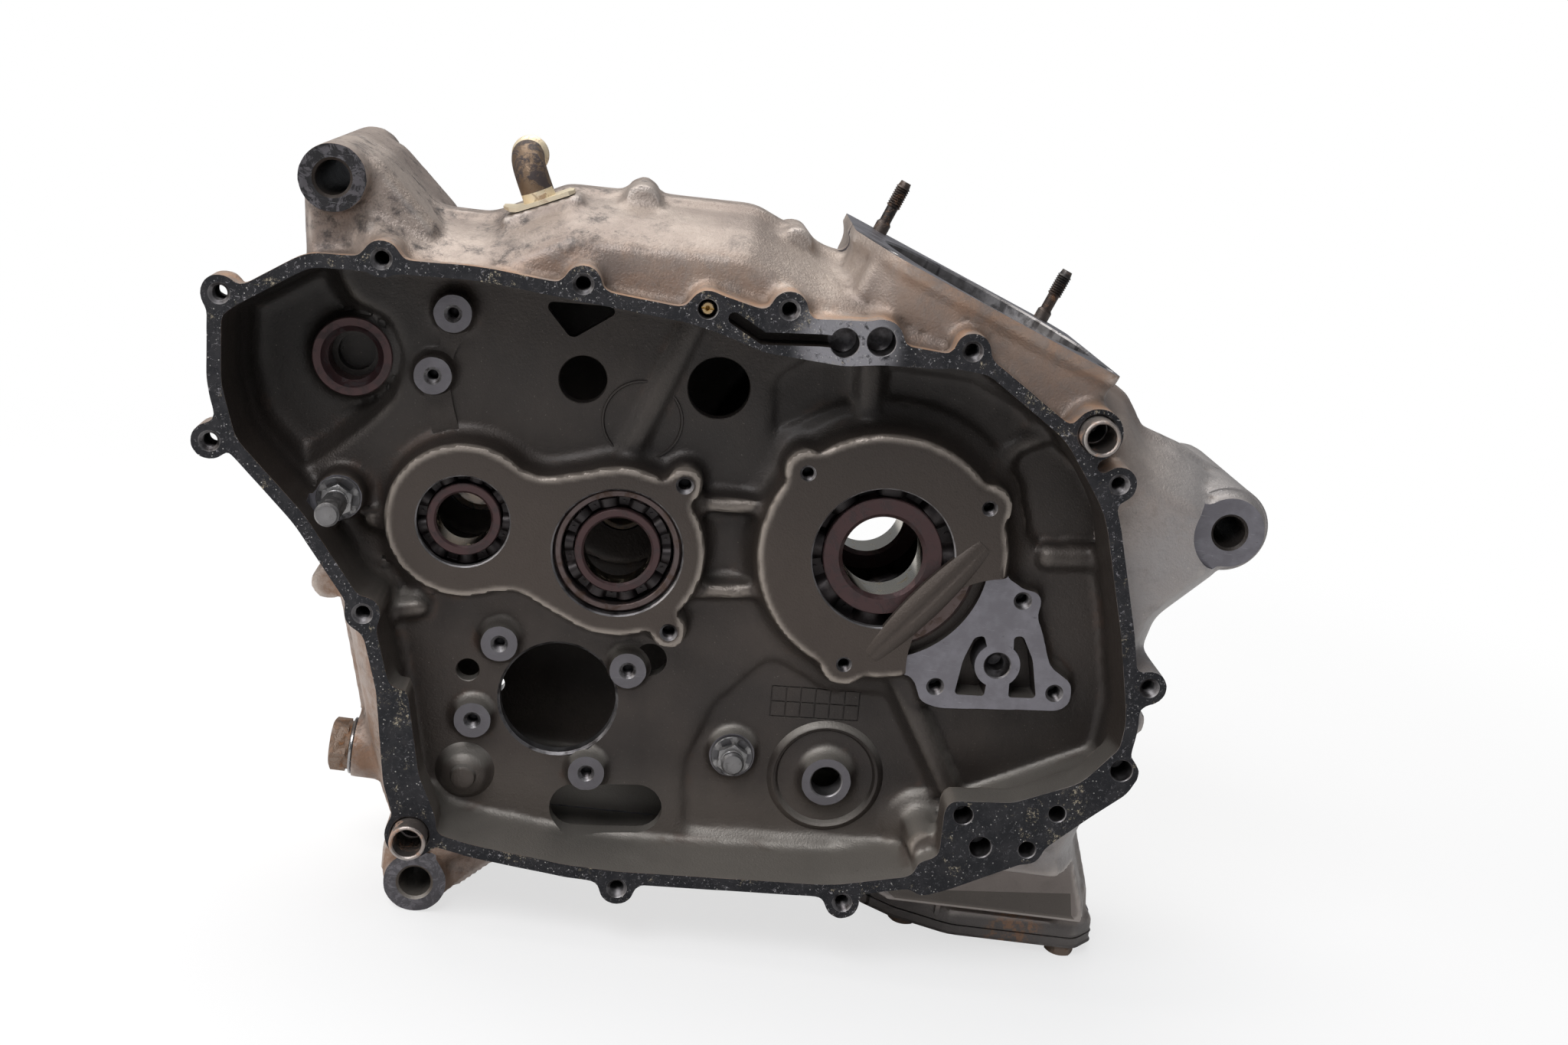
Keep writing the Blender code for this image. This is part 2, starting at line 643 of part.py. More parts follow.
def lean_over(obj):
    """Turn an object that stands beside the crankshaft about it, to the cylinder's lean."""
    lean = math.radians(DECK_LEAN_DEG)
    along = obj.location.x
    obj.location = Vector((along * math.cos(lean), obj.location.y, -along * math.sin(lean)))
    obj.rotation_euler = (0, lean, 0)
    return obj


def on_deck(obj):
    """Lean an upright object over with the cylinder: its Z becomes the height above the crankshaft."""
    obj.rotation_euler = (0, math.radians(DECK_LEAN_DEG), 0)
    return obj


def deck_block(shop):
    """Lip of the cylinder deck, and the neck that narrows below it."""
    lip = shop.prism(rounded(DECK_PATH), DECK_HEIGHT - DECK_LIP, DECK_HEIGHT + OVERCUT, upright=True)
    rise = DECK_HEIGHT - NECK_FOOT
    levels = [(rounded(DECK_PATH, inset), NECK_FOOT + share * rise) for inset, share in DECK_NECK]
    neck = shop.loft(levels, upright=True)
    return [on_deck(lip), on_deck(neck)]


def deck_cutters(shop):
    """Deck plane, cylinder mouth, open to the crank chamber behind the clutch wall, and the holes."""
    centre, up, top = (CYLINDER_OFFSET, 0, 0), (0, 0, 1), DECK_HEIGHT + 2 * OVERCUT
    mouth = shop.rod(centre, up, CYLINDER_RADIUS, MOUTH_FLOOR, top, CYLINDER_SIDES)
    throat = shop.rod(centre, up, CYLINDER_RADIUS, CHAMBER_DEPTH, MOUTH_FLOOR + OVERCUT, CYLINDER_SIDES)
    reach = 2 * CYLINDER_RADIUS
    web_back = CLUTCH_FLOOR_Y + CLUTCH_WEB
    behind_wall = [(-reach, reach), (reach, reach), (reach, web_back), (-reach, web_back)]
    slab = shop.prism(behind_wall, CHAMBER_DEPTH - OVERCUT, DECK_HEIGHT, upright=True)
    shop.combine(throat, "INTERSECT", [on_deck(slab)])
    above = rounded(DECK_PATH, -2 * OVERCUT)
    over_deck = shop.prism(above, DECK_HEIGHT, DECK_HEIGHT + DECK_STOCK, upright=True)
    cutters = [over_deck, mouth, throat]
    for along, y in DECK_HOLES:
        bottom = DECK_HEIGHT - STUD_DEPTH
        cutters.append(shop.rod((along, y, 0), up, DECK_HOLE_RADIUS, bottom, top, HOLE_SIDES))
    for along in STUD_ALONG:
        bottom = DECK_HEIGHT - STUD_DEPTH - GAP
        cutters.append(shop.rod((along, STUD_Y, 0), up, STUD_RADIUS + GAP, bottom, top, HOLE_SIDES))
    for cutter in cutters:
        lean_over(cutter)
    return cutters


def mount_bosses(shop, side):
    """The three frame mounts on one half, each a tube along Y with the arm that carries it."""
    inner = side * GAP / 2
    outer = MOUNT_NEAR_Y if side < 0 else MOUNT_FAR_Y
    front = FRONT_NEAR_Y if side < 0 else MOUNT_FAR_Y
    arm_outer = outer - side * ARM_STEP
    pieces = []
    for centre, path in ((UPPER_MOUNT, UPPER_ARM), (LOWER_MOUNT, LOWER_ARM)):
        arm = rounded(path)
        pieces.append(shop.disc(centre, MOUNT_RADIUS, *sorted((inner, outer)), MOUNT_SIDES))
        pieces.append(shop.prism(arm, *sorted((inner, arm_outer))))
    collar_face = front - side * FRONT_COLLAR_STEP
    pieces.append(shop.disc(FRONT_MOUNT, FRONT_COLLAR_RADIUS, *sorted((inner, collar_face)), MOUNT_SIDES))
    pieces.append(shop.disc(FRONT_MOUNT, FRONT_MOUNT_RADIUS, *sorted((inner, front)), MOUNT_SIDES))
    pieces.append(shop.prism(rounded(FRONT_ARM), *sorted((inner, front - side * FRONT_ARM_STEP))))
    return pieces


def mount_bores(shop):
    """Bores through the three frame mounts."""
    near, far = MOUNT_NEAR_Y - OVERCUT, MOUNT_FAR_Y + OVERCUT
    centres = (UPPER_MOUNT, LOWER_MOUNT, FRONT_MOUNT)
    return [shop.disc(centre, MOUNT_BORE, near, far, SMALL_BORE_SIDES) for centre in centres]


def case_screw_bosses(shop, side):
    """Bosses of the screws and dowels along the joint face."""
    near, far = sorted((side * GAP / 2, side * CASE_BOSS_DEPTH))
    bosses = [shop.disc(centre, CASE_SCREW_BOSS, near, far, HOLE_SIDES) for centre in CASE_SCREWS]
    bosses += [shop.disc(centre, CASE_DOWEL_BOSS, near, far, HOLE_SIDES) for centre in CASE_DOWELS]
    return bosses


def case_screw_holes(shop, side):
    """Holes for the screws and dowels: blind in the clutch half, right through in the far half."""
    reach = -CASE_SCREW_REACH - GAP if side < 0 else CASE_BOSS_DEPTH + 40.0
    near, far = sorted((-side * OVERCUT, reach))
    holes = [shop.disc(centre, CASE_SCREW_SHANK + GAP, near, far, HOLE_SIDES) for centre in CASE_SCREWS]
    near, far = sorted((-side * OVERCUT, side * (CASE_DOWEL_HALF + GAP)))
    holes += [shop.disc(centre, CASE_DOWEL_RADIUS + GAP, near, far, HOLE_SIDES) for centre in CASE_DOWELS]
    return holes


def sump_block(shop, side):
    """The half of the sump flange that belongs to one case half, cut off at the joint face."""
    top = SUMP_FACE_Z + SUMP_FLANGE
    block = shop.prism(rounded(SUMP_PATH), SUMP_FACE_Z, top, upright=True)
    bolts = [(x, y, 0) for x, y in SUMP_BOLTS if y * side >= 0]
    size = (SUMP_COLUMN, SUMP_FACE_Z, SUMP_COLUMN_TOP_Z, HOLE_SIDES)
    columns = [shop.rod(bolt, (0, 0, 1), *size) for bolt in bolts]
    return [block] + columns


def other_side(shop, side):
    """Block that clears everything past the joint face."""
    near, far = sorted((side * GAP / 2, -side * BEYOND))
    corners = [(-BEYOND, -BEYOND), (-BEYOND, BEYOND), (BEYOND, BEYOND), (BEYOND, -BEYOND)]
    return shop.prism(corners, near, far)


def sump_cutters(shop):
    """Opening of the strainer chamber and the tapped holes round it."""
    depth = SUMP_FACE_Z + SUMP_BOLT_DEPTH
    opening = shop.prism(rounded(SUMP_OPENING), SUMP_FACE_Z - OVERCUT, -136.0, upright=True)
    holes = [shop.rod((x, y, 0), (0, 0, 1), SUMP_BOLT_SHANK + GAP, SUMP_FACE_Z - OVERCUT, depth + GAP, 8)
             for x, y in SUMP_BOLTS]
    return [opening] + holes


def right_case(shop, material):
    """Clutch-side half: deep open cavity with the cover rim, housings, ribs and oil pump seat."""
    floor, web_back = CLUTCH_FLOOR_Y, CLUTCH_FLOOR_Y + CLUTCH_WEB
    case = shop.loft(body_levels(CASE_PATH, BODY_DRAFT, -1), "right_case", material)
    shop.combine(case, "UNION", deck_block(shop))
    shop.combine(case, "DIFFERENCE", [shop.prism(RELIEF_PATH, RELIEF_NEAR_Y, RELIEF_FACE_Y)])
    half = RIM_WIDTH / 2
    pan = [
        (rounded(RIM_PATH, -half), COVER_FACE_Y), (rounded(RIM_PATH, -half), COVER_FACE_Y + RIM_LIP_DEPTH),
        (rounded(RIM_PATH, -half + 1.5), COVER_FACE_Y + RIM_LIP_DEPTH + 3), (rounded(RIM_PATH, 2), -22),
        (rounded(RIM_PATH, 6), PAN_BACK_Y),
    ]
    pad_paths = (TOP_PAD, LEFT_PAD, RIGHT_PAD)
    pads = [shop.prism(rounded(path), COVER_FACE_Y, COVER_FACE_Y + PAD_DEPTH) for path in pad_paths]
    seat = on_breather_seat(shop.prism(breather_corners(1.0), -8.0, 0.0, upright=True))
    shop.combine(case, "UNION", [shop.loft(pan), seat] + mount_bosses(shop, -1) + sump_block(shop, -1))

    pocket = [(rounded(RIM_PATH, half), COVER_FACE_Y - OVERCUT), (rounded(RIM_PATH, half + 1.5), floor)]
    pot = shop.prism(rounded(POT_PATH), floor - OVERCUT, POT_FLOOR_Y)
    shop.combine(case, "DIFFERENCE", [shop.loft(pocket), other_side(shop, -1)])
    pot_limit = shop.prism(rounded(RIM_PATH, half + 2.5), floor - 3, POT_FLOOR_Y + OVERCUT)
    shop.combine(pot, "INTERSECT", [pot_limit])
    pockets = [shop.prism(rounded(path), floor - 3, bottom) for path, bottom in SIDE_POCKETS]
    tub = shop.prism(rounded(TUB_PATH), floor - OVERCUT, floor + TUB_DEPTH)
    chamber = shop.prism(rounded(CHAMBER_PATH), web_back, OVERCUT)
    pit = arc_band(PIT_RADIUS, PIT_WALL, 118, 400, 12)
    kept = [shop.prism(pit, web_back - OVERCUT, 2 * OVERCUT)]
    kept += [shop.prism(rounded(path, -POCKET_WALL), web_back - OVERCUT, bottom + POCKET_WALL)
             for path, bottom in SIDE_POCKETS if bottom > web_back]
    shop.combine(chamber, "DIFFERENCE", kept)
    shop.combine(case, "DIFFERENCE", [pot, tub, chamber] + pockets)

    bosses = clutch_side_bosses(shop, floor, web_back) + pads + case_screw_bosses(shop, -1)
    shop.combine(case, "UNION", bosses)
    cutters = clutch_side_holes(shop, floor, web_back)
    cutters += deck_cutters(shop) + mount_bores(shop) + case_screw_holes(shop, -1) + sump_cutters(shop)
    return shop.combine(case, "DIFFERENCE", cutters)


def clutch_side_bosses(shop, floor, web_back):
    """Everything that stands up in the clutch cavity or round its rim."""
    end = COVER_FACE_Y + SCREW_BOSS_DEPTH
    parts = [shop.disc(centre, SCREW_BOSS, COVER_FACE_Y, end, HOLE_SIDES) for centre in COVER_SCREWS]
    lug_end = COVER_FACE_Y + LUG_DEPTH
    parts += [shop.disc(centre, SCREW_BOSS, COVER_FACE_Y, lug_end, HOLE_SIDES) for centre in LUG_SCREWS]
    parts += [shop.disc(centre, DOWEL_BOSS, COVER_FACE_Y, end) for centre in DOWELS]
    parts.append(shop.disc(JET, SCREW_BOSS, COVER_FACE_Y, end))
    parts.append(shop.disc(OIL_HOLE, OIL_HOLE_RADIUS + 3, COVER_FACE_Y, end))
    parts.append(shop.disc(PAD_HOLES[3][:2], 6.0, COVER_FACE_Y, COVER_FACE_Y + PAD_DEPTH))

    boss_back = CRANK_NEAR.far_y + 1.0
    crank_profile = [(0, HOUSING_FACE_Y), (CRANK_BOSS, HOUSING_FACE_Y), (CRANK_BOSS + 4, floor + 1),
                     (CRANK_BOSS, boss_back), (0, boss_back)]
    crank = shop.turned(crank_profile, (0, 0, 0), sides=CRANK_NEAR.sides)
    lobes = [shop.disc(centre, CRANK_LOBE, HOUSING_FACE_Y, floor + 1) for centre in crank_screws()]
    pump_cut = shop.disc(PUMP_SHAFT, PUMP_CUT_RADIUS, HOUSING_FACE_Y - OVERCUT, PUMP_FACE_Y + 1, SHAFT_SIDES)
    shop.combine(crank, "UNION", lobes)
    keep_near, keep_far = HOUSING_FACE_Y - 2 * OVERCUT, PUMP_FACE_Y + 2
    keep = shop.disc(CRANK, CRANK_NEAR.seat + 3.0, keep_near, keep_far, CRANK_NEAR.sides)
    shop.combine(pump_cut, "DIFFERENCE", [keep])
    shop.combine(crank, "DIFFERENCE", [pump_cut])
    parts.append(crank)
    parts.append(shop.disc(MAIN, MAIN_BOSS, HOUSING_FACE_Y, web_back, MAIN_NEAR.sides))
    parts.append(shop.disc(COUNTER, COUNTER_BOSS, HOUSING_FACE_Y, web_back, COUNTER_NEAR.sides))
    parts.append(shop.prism(rounded(WAIST), HOUSING_FACE_Y, web_back - OVERCUT))
    parts += [shop.disc(centre, EAR_RADIUS, HOUSING_FACE_Y, floor + 1) for centre in HOUSING_EARS]
    for start, finish, width, height in CAVITY_RIBS:
        parts.append(shop.bar(start, finish, width, floor - height, floor + 3))
    start, finish = [Vector((x, 0, z)) for x, z in GALLERY_ENDS]
    length = (finish - start).length
    parts.append(shop.rod(tuple(start + Vector((0, HOUSING_FACE_Y + 1, 0))), (finish - start).normalized(),
                          GALLERY_RADIUS, 0, length, 10))
    parts.append(shop.prism(rounded(PUMP_PATH), PUMP_FACE_Y, web_back - OVERCUT))
    parts += [shop.disc((x, z), SPOT_RADIUS, floor - height, floor + 1) for x, z, height in SPOT_BOSSES]
    link = slot_outline(SPOT_BOSSES[0][:2], (-168.0, 24.0), 5.5, 6)
    parts.append(shop.prism(link, floor - 3, floor + 1))
    parts += [shop.disc(DOME, radius, floor - height, floor + 1) for radius, height in DOME_RADII]
    parts.append(shop.disc(RING_BOSS, RING_BOSS_RADIUS, floor - 4, floor + TUB_DEPTH + 1))
    parts.append(shop.disc(STOPPER_POST, POST_BOSS, STOPPER_POST_SEAT_Y, floor + TUB_DEPTH + 1))
    parts.append(shop.disc(SPRING_POST, POST_BOSS, SPRING_POST_SEAT_Y, POT_FLOOR_Y + 1))
    idle_face = POT_FLOOR_Y - IDLE_BOSS_HEIGHT
    parts.append(shop.disc(IDLE_GEAR, IDLE_BOSS, idle_face, POT_FLOOR_Y + 1, SHAFT_SIDES))
    y, z = DRAIN
    parts.append(shop.rod((0, y, z), (-1, 0, 0), DRAIN_BOSS, DRAIN_BOSS_START, -DRAIN_FACE_X, DRAIN_SIDES))
    return parts


def clutch_side_holes(shop, floor, web_back):
    """Bearing seats, windows, oil ways and screw holes of the clutch side."""
    face = COVER_FACE_Y - OVERCUT
    depth = COVER_FACE_Y + SCREW_HOLE_DEPTH
    cuts = [shop.disc(centre, SCREW_HOLE, face, depth, HOLE_SIDES) for centre in COVER_SCREWS]
    lug_end = COVER_FACE_Y + LUG_DEPTH + OVERCUT
    cuts += [shop.disc(centre, SCREW_HOLE, face, lug_end, HOLE_SIDES) for centre in LUG_SCREWS]
    cuts += [shop.disc((x, z), radius, face, COVER_FACE_Y + 14, HOLE_SIDES) for x, z, radius in PAD_HOLES]
    dowel_seat = COVER_FACE_Y + DOWEL_SEAT + GAP
    cuts += [shop.disc(centre, DOWEL_RADIUS + GAP, face, dowel_seat, SHAFT_SIDES) for centre in DOWELS]
    cuts += [shop.disc(centre, DOWEL_BORE, face, depth, SHAFT_SIDES) for centre in DOWELS]
    cuts.append(shop.disc(OIL_HOLE, OIL_HOLE_RADIUS, face, COVER_FACE_Y + OIL_GROOVE_DEPTH))
    cuts.append(shop.disc(JET, JET_WELL, face, COVER_FACE_Y + JET_DEPTH, HOLE_SIDES))
    cuts.append(shop.disc(OIL_GROOVE[-1], OIL_HOLE_RADIUS, face, COVER_FACE_Y + OIL_GROOVE_DEPTH))
    for start, finish in zip(OIL_GROOVE, OIL_GROOVE[1:]):
        cuts.append(shop.bar(start, finish, OIL_GROOVE_WIDTH, face, COVER_FACE_Y + OIL_GROOVE_DEPTH))

    behind = OVERCUT
    housing_face = HOUSING_FACE_Y - OVERCUT
    cuts.append(shop.disc(CRANK, CRANK_LIP, housing_face, CRANK_NEAR.near_y, CRANK_NEAR.sides))
    cuts.append(shop.disc(CRANK, CRANK_NEAR.seat, CRANK_NEAR.near_y - GAP, behind, CRANK_NEAR.sides))
    cuts.append(shop.disc(COUNTER, COUNTER_LIP, housing_face, COUNTER_NEAR.near_y, COUNTER_NEAR.sides))
    cuts.append(shop.disc(COUNTER, COUNTER_NEAR.seat, COUNTER_NEAR.near_y - GAP, behind, COUNTER_NEAR.sides))
    cuts.append(shop.disc(MAIN, MAIN_NEAR.seat, housing_face, MAIN_NEAR.far_y + GAP, MAIN_NEAR.sides))
    cuts.append(shop.disc(MAIN, MAIN_SHOULDER, MAIN_NEAR.far_y, web_back + OVERCUT, MAIN_NEAR.sides))
    tapped_end = HOUSING_FACE_Y + TAPPED_DEPTH
    tapped = [(centre, TAPPED_HOLE) for centre in crank_screws()]
    tapped += [(centre, EAR_HOLE) for centre in HOUSING_EARS]
    cuts += [shop.disc(centre, radius, housing_face, tapped_end, HOLE_SIDES) for centre, radius in tapped]
    for x, z, height in SPOT_BOSSES:
        cuts.append(shop.disc((x, z), TAPPED_HOLE, floor - height - OVERCUT, floor + 3, HOLE_SIDES))
    for x, z, radius in WINDOWS:
        sides = SHAFT_SIDES if radius > MOUNT_RADIUS else BOSS_SIDES
        cuts.append(shop.disc((x, z), radius, floor - OVERCUT, web_back + OVERCUT, sides))
    cuts.append(shop.prism(rounded(CHAIN_WINDOW), floor - OVERCUT, web_back + OVERCUT))
    cuts.append(shop.prism(slot_outline(*SLOT, SLOT_RADIUS), floor - OVERCUT, web_back + OVERCUT))
    cuts.append(shop.disc(RING_BOSS, RING_BOSS_HOLE, floor - 5, web_back + OVERCUT, HOLE_SIDES))

    face = PUMP_FACE_Y - OVERCUT
    tapped_floor = PUMP_FACE_Y + TAPPED_DEPTH
    cuts += [shop.disc(centre, TAPPED_HOLE + 0.4, face, tapped_floor, HOLE_SIDES) for centre in PUMP_HOLES]
    cuts.append(shop.disc(PUMP_SHAFT, PUMP_BORE, face, PUMP_FACE_Y + 7, 16))
    cuts.append(shop.disc(PUMP_SHAFT, PUMP_BLIND, face, PUMP_FACE_Y + 13, HOLE_SIDES))
    cuts += [shop.prism(rounded(path), face, PUMP_FACE_Y + PUMP_PORT_DEPTH) for path in PUMP_PORTS]

    idle_face = POT_FLOOR_Y - IDLE_BOSS_HEIGHT
    seat_floor = idle_face + IDLE_SEAT_DEPTH
    cuts.append(shop.disc(IDLE_GEAR, IDLE_SEAT, idle_face - OVERCUT, seat_floor, SHAFT_SIDES))
    cuts.append(shop.disc(IDLE_GEAR, IDLE_BLIND, idle_face - OVERCUT, seat_floor + IDLE_BLIND_DEPTH))
    for centre, seat_y in ((SPRING_POST, SPRING_POST_SEAT_Y), (STOPPER_POST, STOPPER_POST_SEAT_Y)):
        shank_end = seat_y + POST_SHANK_DEPTH + GAP
        cuts.append(shop.disc(centre, POST_SHANK + GAP, seat_y - OVERCUT, shank_end, HOLE_SIDES))
    y, z = DRAIN
    mouth = OVERCUT - DRAIN_FACE_X
    cuts.append(shop.rod((0, y, z), (-1, 0, 0), DRAIN_THREAD + GAP, DRAIN_BORE_START, mouth, DRAIN_SIDES))
    return cuts


def left_case(shop, material):
    """Far half: gearbox wall with blind shaft bosses, crankshaft bearing wall and the magneto housing."""
    case = shop.loft(body_levels(CASE_PATH, FAR_DRAFT, 1), "left_case", material)
    magneto = shop.disc(CRANK, MAGNETO_RADIUS + MAGNETO_WALL, 20.0, MAGNETO_FACE_Y, CYLINDER_SIDES)
    shop.combine(case, "UNION", deck_block(shop) + mount_bosses(shop, 1) + sump_block(shop, 1) + [magneto])
    chamber = shop.prism(rounded(CHAMBER_PATH), -OVERCUT, FAR_WALL_Y)
    crank_wall_y = CRANK_FAR.near_y - 1.0
    pit_ring = shop.prism(arc_band(PIT_RADIUS, PIT_WALL, 118, 400, 12), -2 * OVERCUT, FAR_WALL_Y + OVERCUT)
    wall = shop.disc(CRANK, PIT_RADIUS + 2, crank_wall_y, FAR_WALL_Y + OVERCUT, CYLINDER_SIDES)
    shop.combine(chamber, "DIFFERENCE", [pit_ring, wall])
    bowl = shop.disc(CRANK, MAGNETO_RADIUS, CRANK_FAR.far_y + 4.0, MAGNETO_FACE_Y + OVERCUT, CYLINDER_SIDES)
    shop.combine(case, "DIFFERENCE", [chamber, bowl, other_side(shop, 1)])

    bosses = case_screw_bosses(shop, 1)
    bosses.append(shop.disc(MAIN, FAR_SHAFT_BOSS, FAR_SHAFT_BOSS_Y, FAR_WALL_Y + OVERCUT, SHAFT_SIDES))
    bosses.append(shop.disc(COUNTER, FAR_SHAFT_BOSS, FAR_SHAFT_BOSS_Y, FAR_FACE_Y + 2.0, SHAFT_SIDES))
    shop.combine(case, "UNION", bosses)

    boss_face = FAR_SHAFT_BOSS_Y - OVERCUT
    cuts = [
        shop.disc(CRANK, CRANK_FAR.seat, crank_wall_y - OVERCUT, CRANK_FAR.far_y + GAP, CRANK_FAR.sides),
        shop.disc(CRANK, CRANK_LIP + 2, CRANK_FAR.far_y, CRANK_FAR.far_y + 6.0, CRANK_FAR.sides),
        shop.disc(MAIN, MAIN_BUSH_RADIUS + GAP, boss_face, FAR_SHAFT_BOSS_Y + BUSH_LENGTH + GAP, SHAFT_SIDES),
        shop.disc(COUNTER, COUNTER_BUSH_RADIUS + GAP, boss_face, FAR_FACE_Y + 4.0, SHAFT_SIDES),
        shop.disc(SHIFT_HOLE, SHIFT_HOLE_RADIUS, FAR_WALL_Y - OVERCUT, FAR_FACE_Y + OVERCUT, SHAFT_SIDES),
    ]
    head_seat = CASE_BOSS_DEPTH
    head_room = CASE_SCREW_HEAD + HEAD_CLEARANCE
    cuts += [shop.disc(centre, head_room, head_seat, head_seat + 45.0, HOLE_SIDES) for centre in CASE_SCREWS]
    cuts += deck_cutters(shop) + mount_bores(shop) + case_screw_holes(shop, 1) + sump_cutters(shop)
    return shop.combine(case, "DIFFERENCE", cuts)


def race_groove(bearing, shoulder, sign):
    """Points of the ball groove in a ring, from near to far; sign is -1 for the inner ring."""
    reach = bearing.ball / 2 + RACE_CLEARANCE
    middle = bearing.width / 2
    half_angle = math.acos(sign * (shoulder / 2 - bearing.pitch) / reach)
    angles = [-half_angle, 0, half_angle]
    return [(bearing.pitch + sign * reach * math.cos(a), middle + reach * math.sin(a)) for a in angles]


def bearing_rings(shop, bearing, steel, stained):
    """Outer ring, inner ring and the cage with its balls."""
    place = (bearing.centre[0], bearing.near_y, bearing.centre[1])
    outer, bore = bearing.outside / 2, bearing.bore / 2
    outer_shoulder, inner_shoulder = bearing.outer_shoulder / 2, bearing.inner_shoulder / 2
    outer_profile = [(outer, 0), (outer, bearing.width), (outer_shoulder, bearing.width)]
    outer_profile += reversed(race_groove(bearing, bearing.outer_shoulder, 1))
    outer_profile += [(outer_shoulder, 0)]
    inner_profile = [(bore, 0), (inner_shoulder, 0)]
    inner_profile += race_groove(bearing, bearing.inner_shoulder, -1)
    inner_profile += [(inner_shoulder, bearing.width), (bore, bearing.width)]
    shop.turned(outer_profile, place, sides=bearing.sides, name=f"{bearing.name}_outer", material=steel)
    shop.turned(inner_profile, place, sides=bearing.sides, name=f"{bearing.name}_inner", material=stained)
    shop.necklace(bearing, f"{bearing.name}_cage", steel)


def bush(shop, name, centre, radius, wall, near, far, material, sides=SHAFT_SIDES):
    """Plain ring along Y."""
    profile = [(radius - wall, near), (radius, near), (radius, far), (radius - wall, far)]
    return shop.turned(profile, (centre[0], 0, centre[1]), sides=sides, name=name, material=material)


def cover_dowels(shop, steel):
    """Hollow dowels that locate the clutch cover."""
    for number, centre in enumerate(DOWELS, 1):
        near, far = COVER_FACE_Y - DOWEL_PROUD, COVER_FACE_Y + DOWEL_SEAT
        bush(shop, f"cover_dowel_{number}", centre, DOWEL_RADIUS, DOWEL_RADIUS - DOWEL_BORE, near, far, steel)


def post(shop, name, centre, seat_y, length, material):
    """Screwed post: shank, round flange, hexagon and a plain pin toward the viewer."""
    seat = seat_y - GAP
    foot, tip = seat + POST_SHANK_DEPTH, seat - length
    collar = seat - 1.5
    profile = [(0, foot), (POST_SHANK, foot), (POST_SHANK, seat), (POST_FLANGE, seat), (POST_FLANGE, collar),
               (POST_RADIUS, collar), (POST_RADIUS, tip + 1.0), (POST_RADIUS - 0.8, tip), (0, tip)]
    pin = shop.turned(profile, (centre[0], 0, centre[1]), sides=BOSS_SIDES, name=name, material=material)
    hexagon = shop.prism(moved(hex_outline(POST_HEX), centre), seat - 5.5, seat - 1.0)
    return shop.combine(pin, "UNION", [hexagon])


def deck_studs(shop, material):
    """Two studs left in the far edge of the deck."""
    lean = math.radians(DECK_LEAN_DEG)
    axis = (math.sin(lean), 0, math.cos(lean))
    for number, along in enumerate(STUD_ALONG, 1):
        x, z = deck_point(along, DECK_HEIGHT)
        waist, thread = STUD_RADIUS - 0.7, STUD_RADIUS - 0.2
        profile = [(0, -STUD_DEPTH), (STUD_RADIUS, -STUD_DEPTH), (STUD_RADIUS, 4), (waist, 5)]
        profile += [(waist, STUD_PROUD * 0.55), (thread, STUD_PROUD * 0.6)]
        profile += [(thread, STUD_PROUD - 1), (0, STUD_PROUD)]
        shop.turned(profile, (x, STUD_Y, z), axis, HOLE_SIDES, f"cylinder_stud_{number}", material)


def drain_plug(shop, steel, washer_metal):
    """Hexagon drain plug and its sealing washer."""
    y, z = DRAIN
    face = -DRAIN_FACE_X
    start = face + GAP
    ring = [(DRAIN_THREAD + GAP, start), (WASHER_RADIUS, start), (WASHER_RADIUS, start + WASHER_THICKNESS),
            (DRAIN_THREAD + GAP, start + WASHER_THICKNESS)]
    shop.turned(ring, (0, y, z), (-1, 0, 0), DRAIN_SIDES, "drain_washer", washer_metal)
    seat = start + WASHER_THICKNESS + GAP
    profile = [(0, face - DRAIN_DEPTH), (DRAIN_THREAD, face - DRAIN_DEPTH), (DRAIN_THREAD, seat),
               (DRAIN_HEX - 1.0, seat), (DRAIN_HEX - 1.0, seat + 2.0), (0, seat + 2.0)]
    plug = shop.turned(profile, (0, y, z), (-1, 0, 0), DRAIN_SIDES, "drain_plug", steel)
    hexagon = shop.turned([(0, seat + 1.0), (DRAIN_HEX, seat + 1.0), (DRAIN_HEX, seat + DRAIN_HEX_HEIGHT),
                           (0, seat + DRAIN_HEX_HEIGHT)], (0, y, z), (-1, 0, 0), 6)
    return shop.combine(plug, "UNION", [hexagon])


def strainer_cover(shop, cast, steel):
    """Plate under the sump, with its bolts, whose heads touch the floor."""
    top = SUMP_FACE_Z - GAP
    cover = shop.prism(rounded(SUMP_PATH), top - COVER_THICKNESS, top, "strainer_cover", cast, upright=True)
    under, over = top - COVER_THICKNESS - OVERCUT, top + OVERCUT
    bore = SUMP_BOLT_SHANK + GAP
    bores = [shop.rod((x, y, 0), (0, 0, 1), bore, under, over, HOLE_SIDES) for x, y in SUMP_BOLTS]
    shop.combine(cover, "DIFFERENCE", bores)
    seat = top - COVER_THICKNESS - GAP
    for number, (x, y) in enumerate(SUMP_BOLTS, 1):
        profile = [(0, SUMP_FACE_Z + SUMP_BOLT_DEPTH), (SUMP_BOLT_SHANK, SUMP_FACE_Z + SUMP_BOLT_DEPTH),
                   (SUMP_BOLT_SHANK, seat), (SUMP_BOLT_HEAD, seat), (SUMP_BOLT_HEAD, FLOOR_Z), (0, FLOOR_Z)]
        shop.turned(profile, (x, y, 0), (0, 0, 1), 8, f"strainer_bolt_{number}", steel)


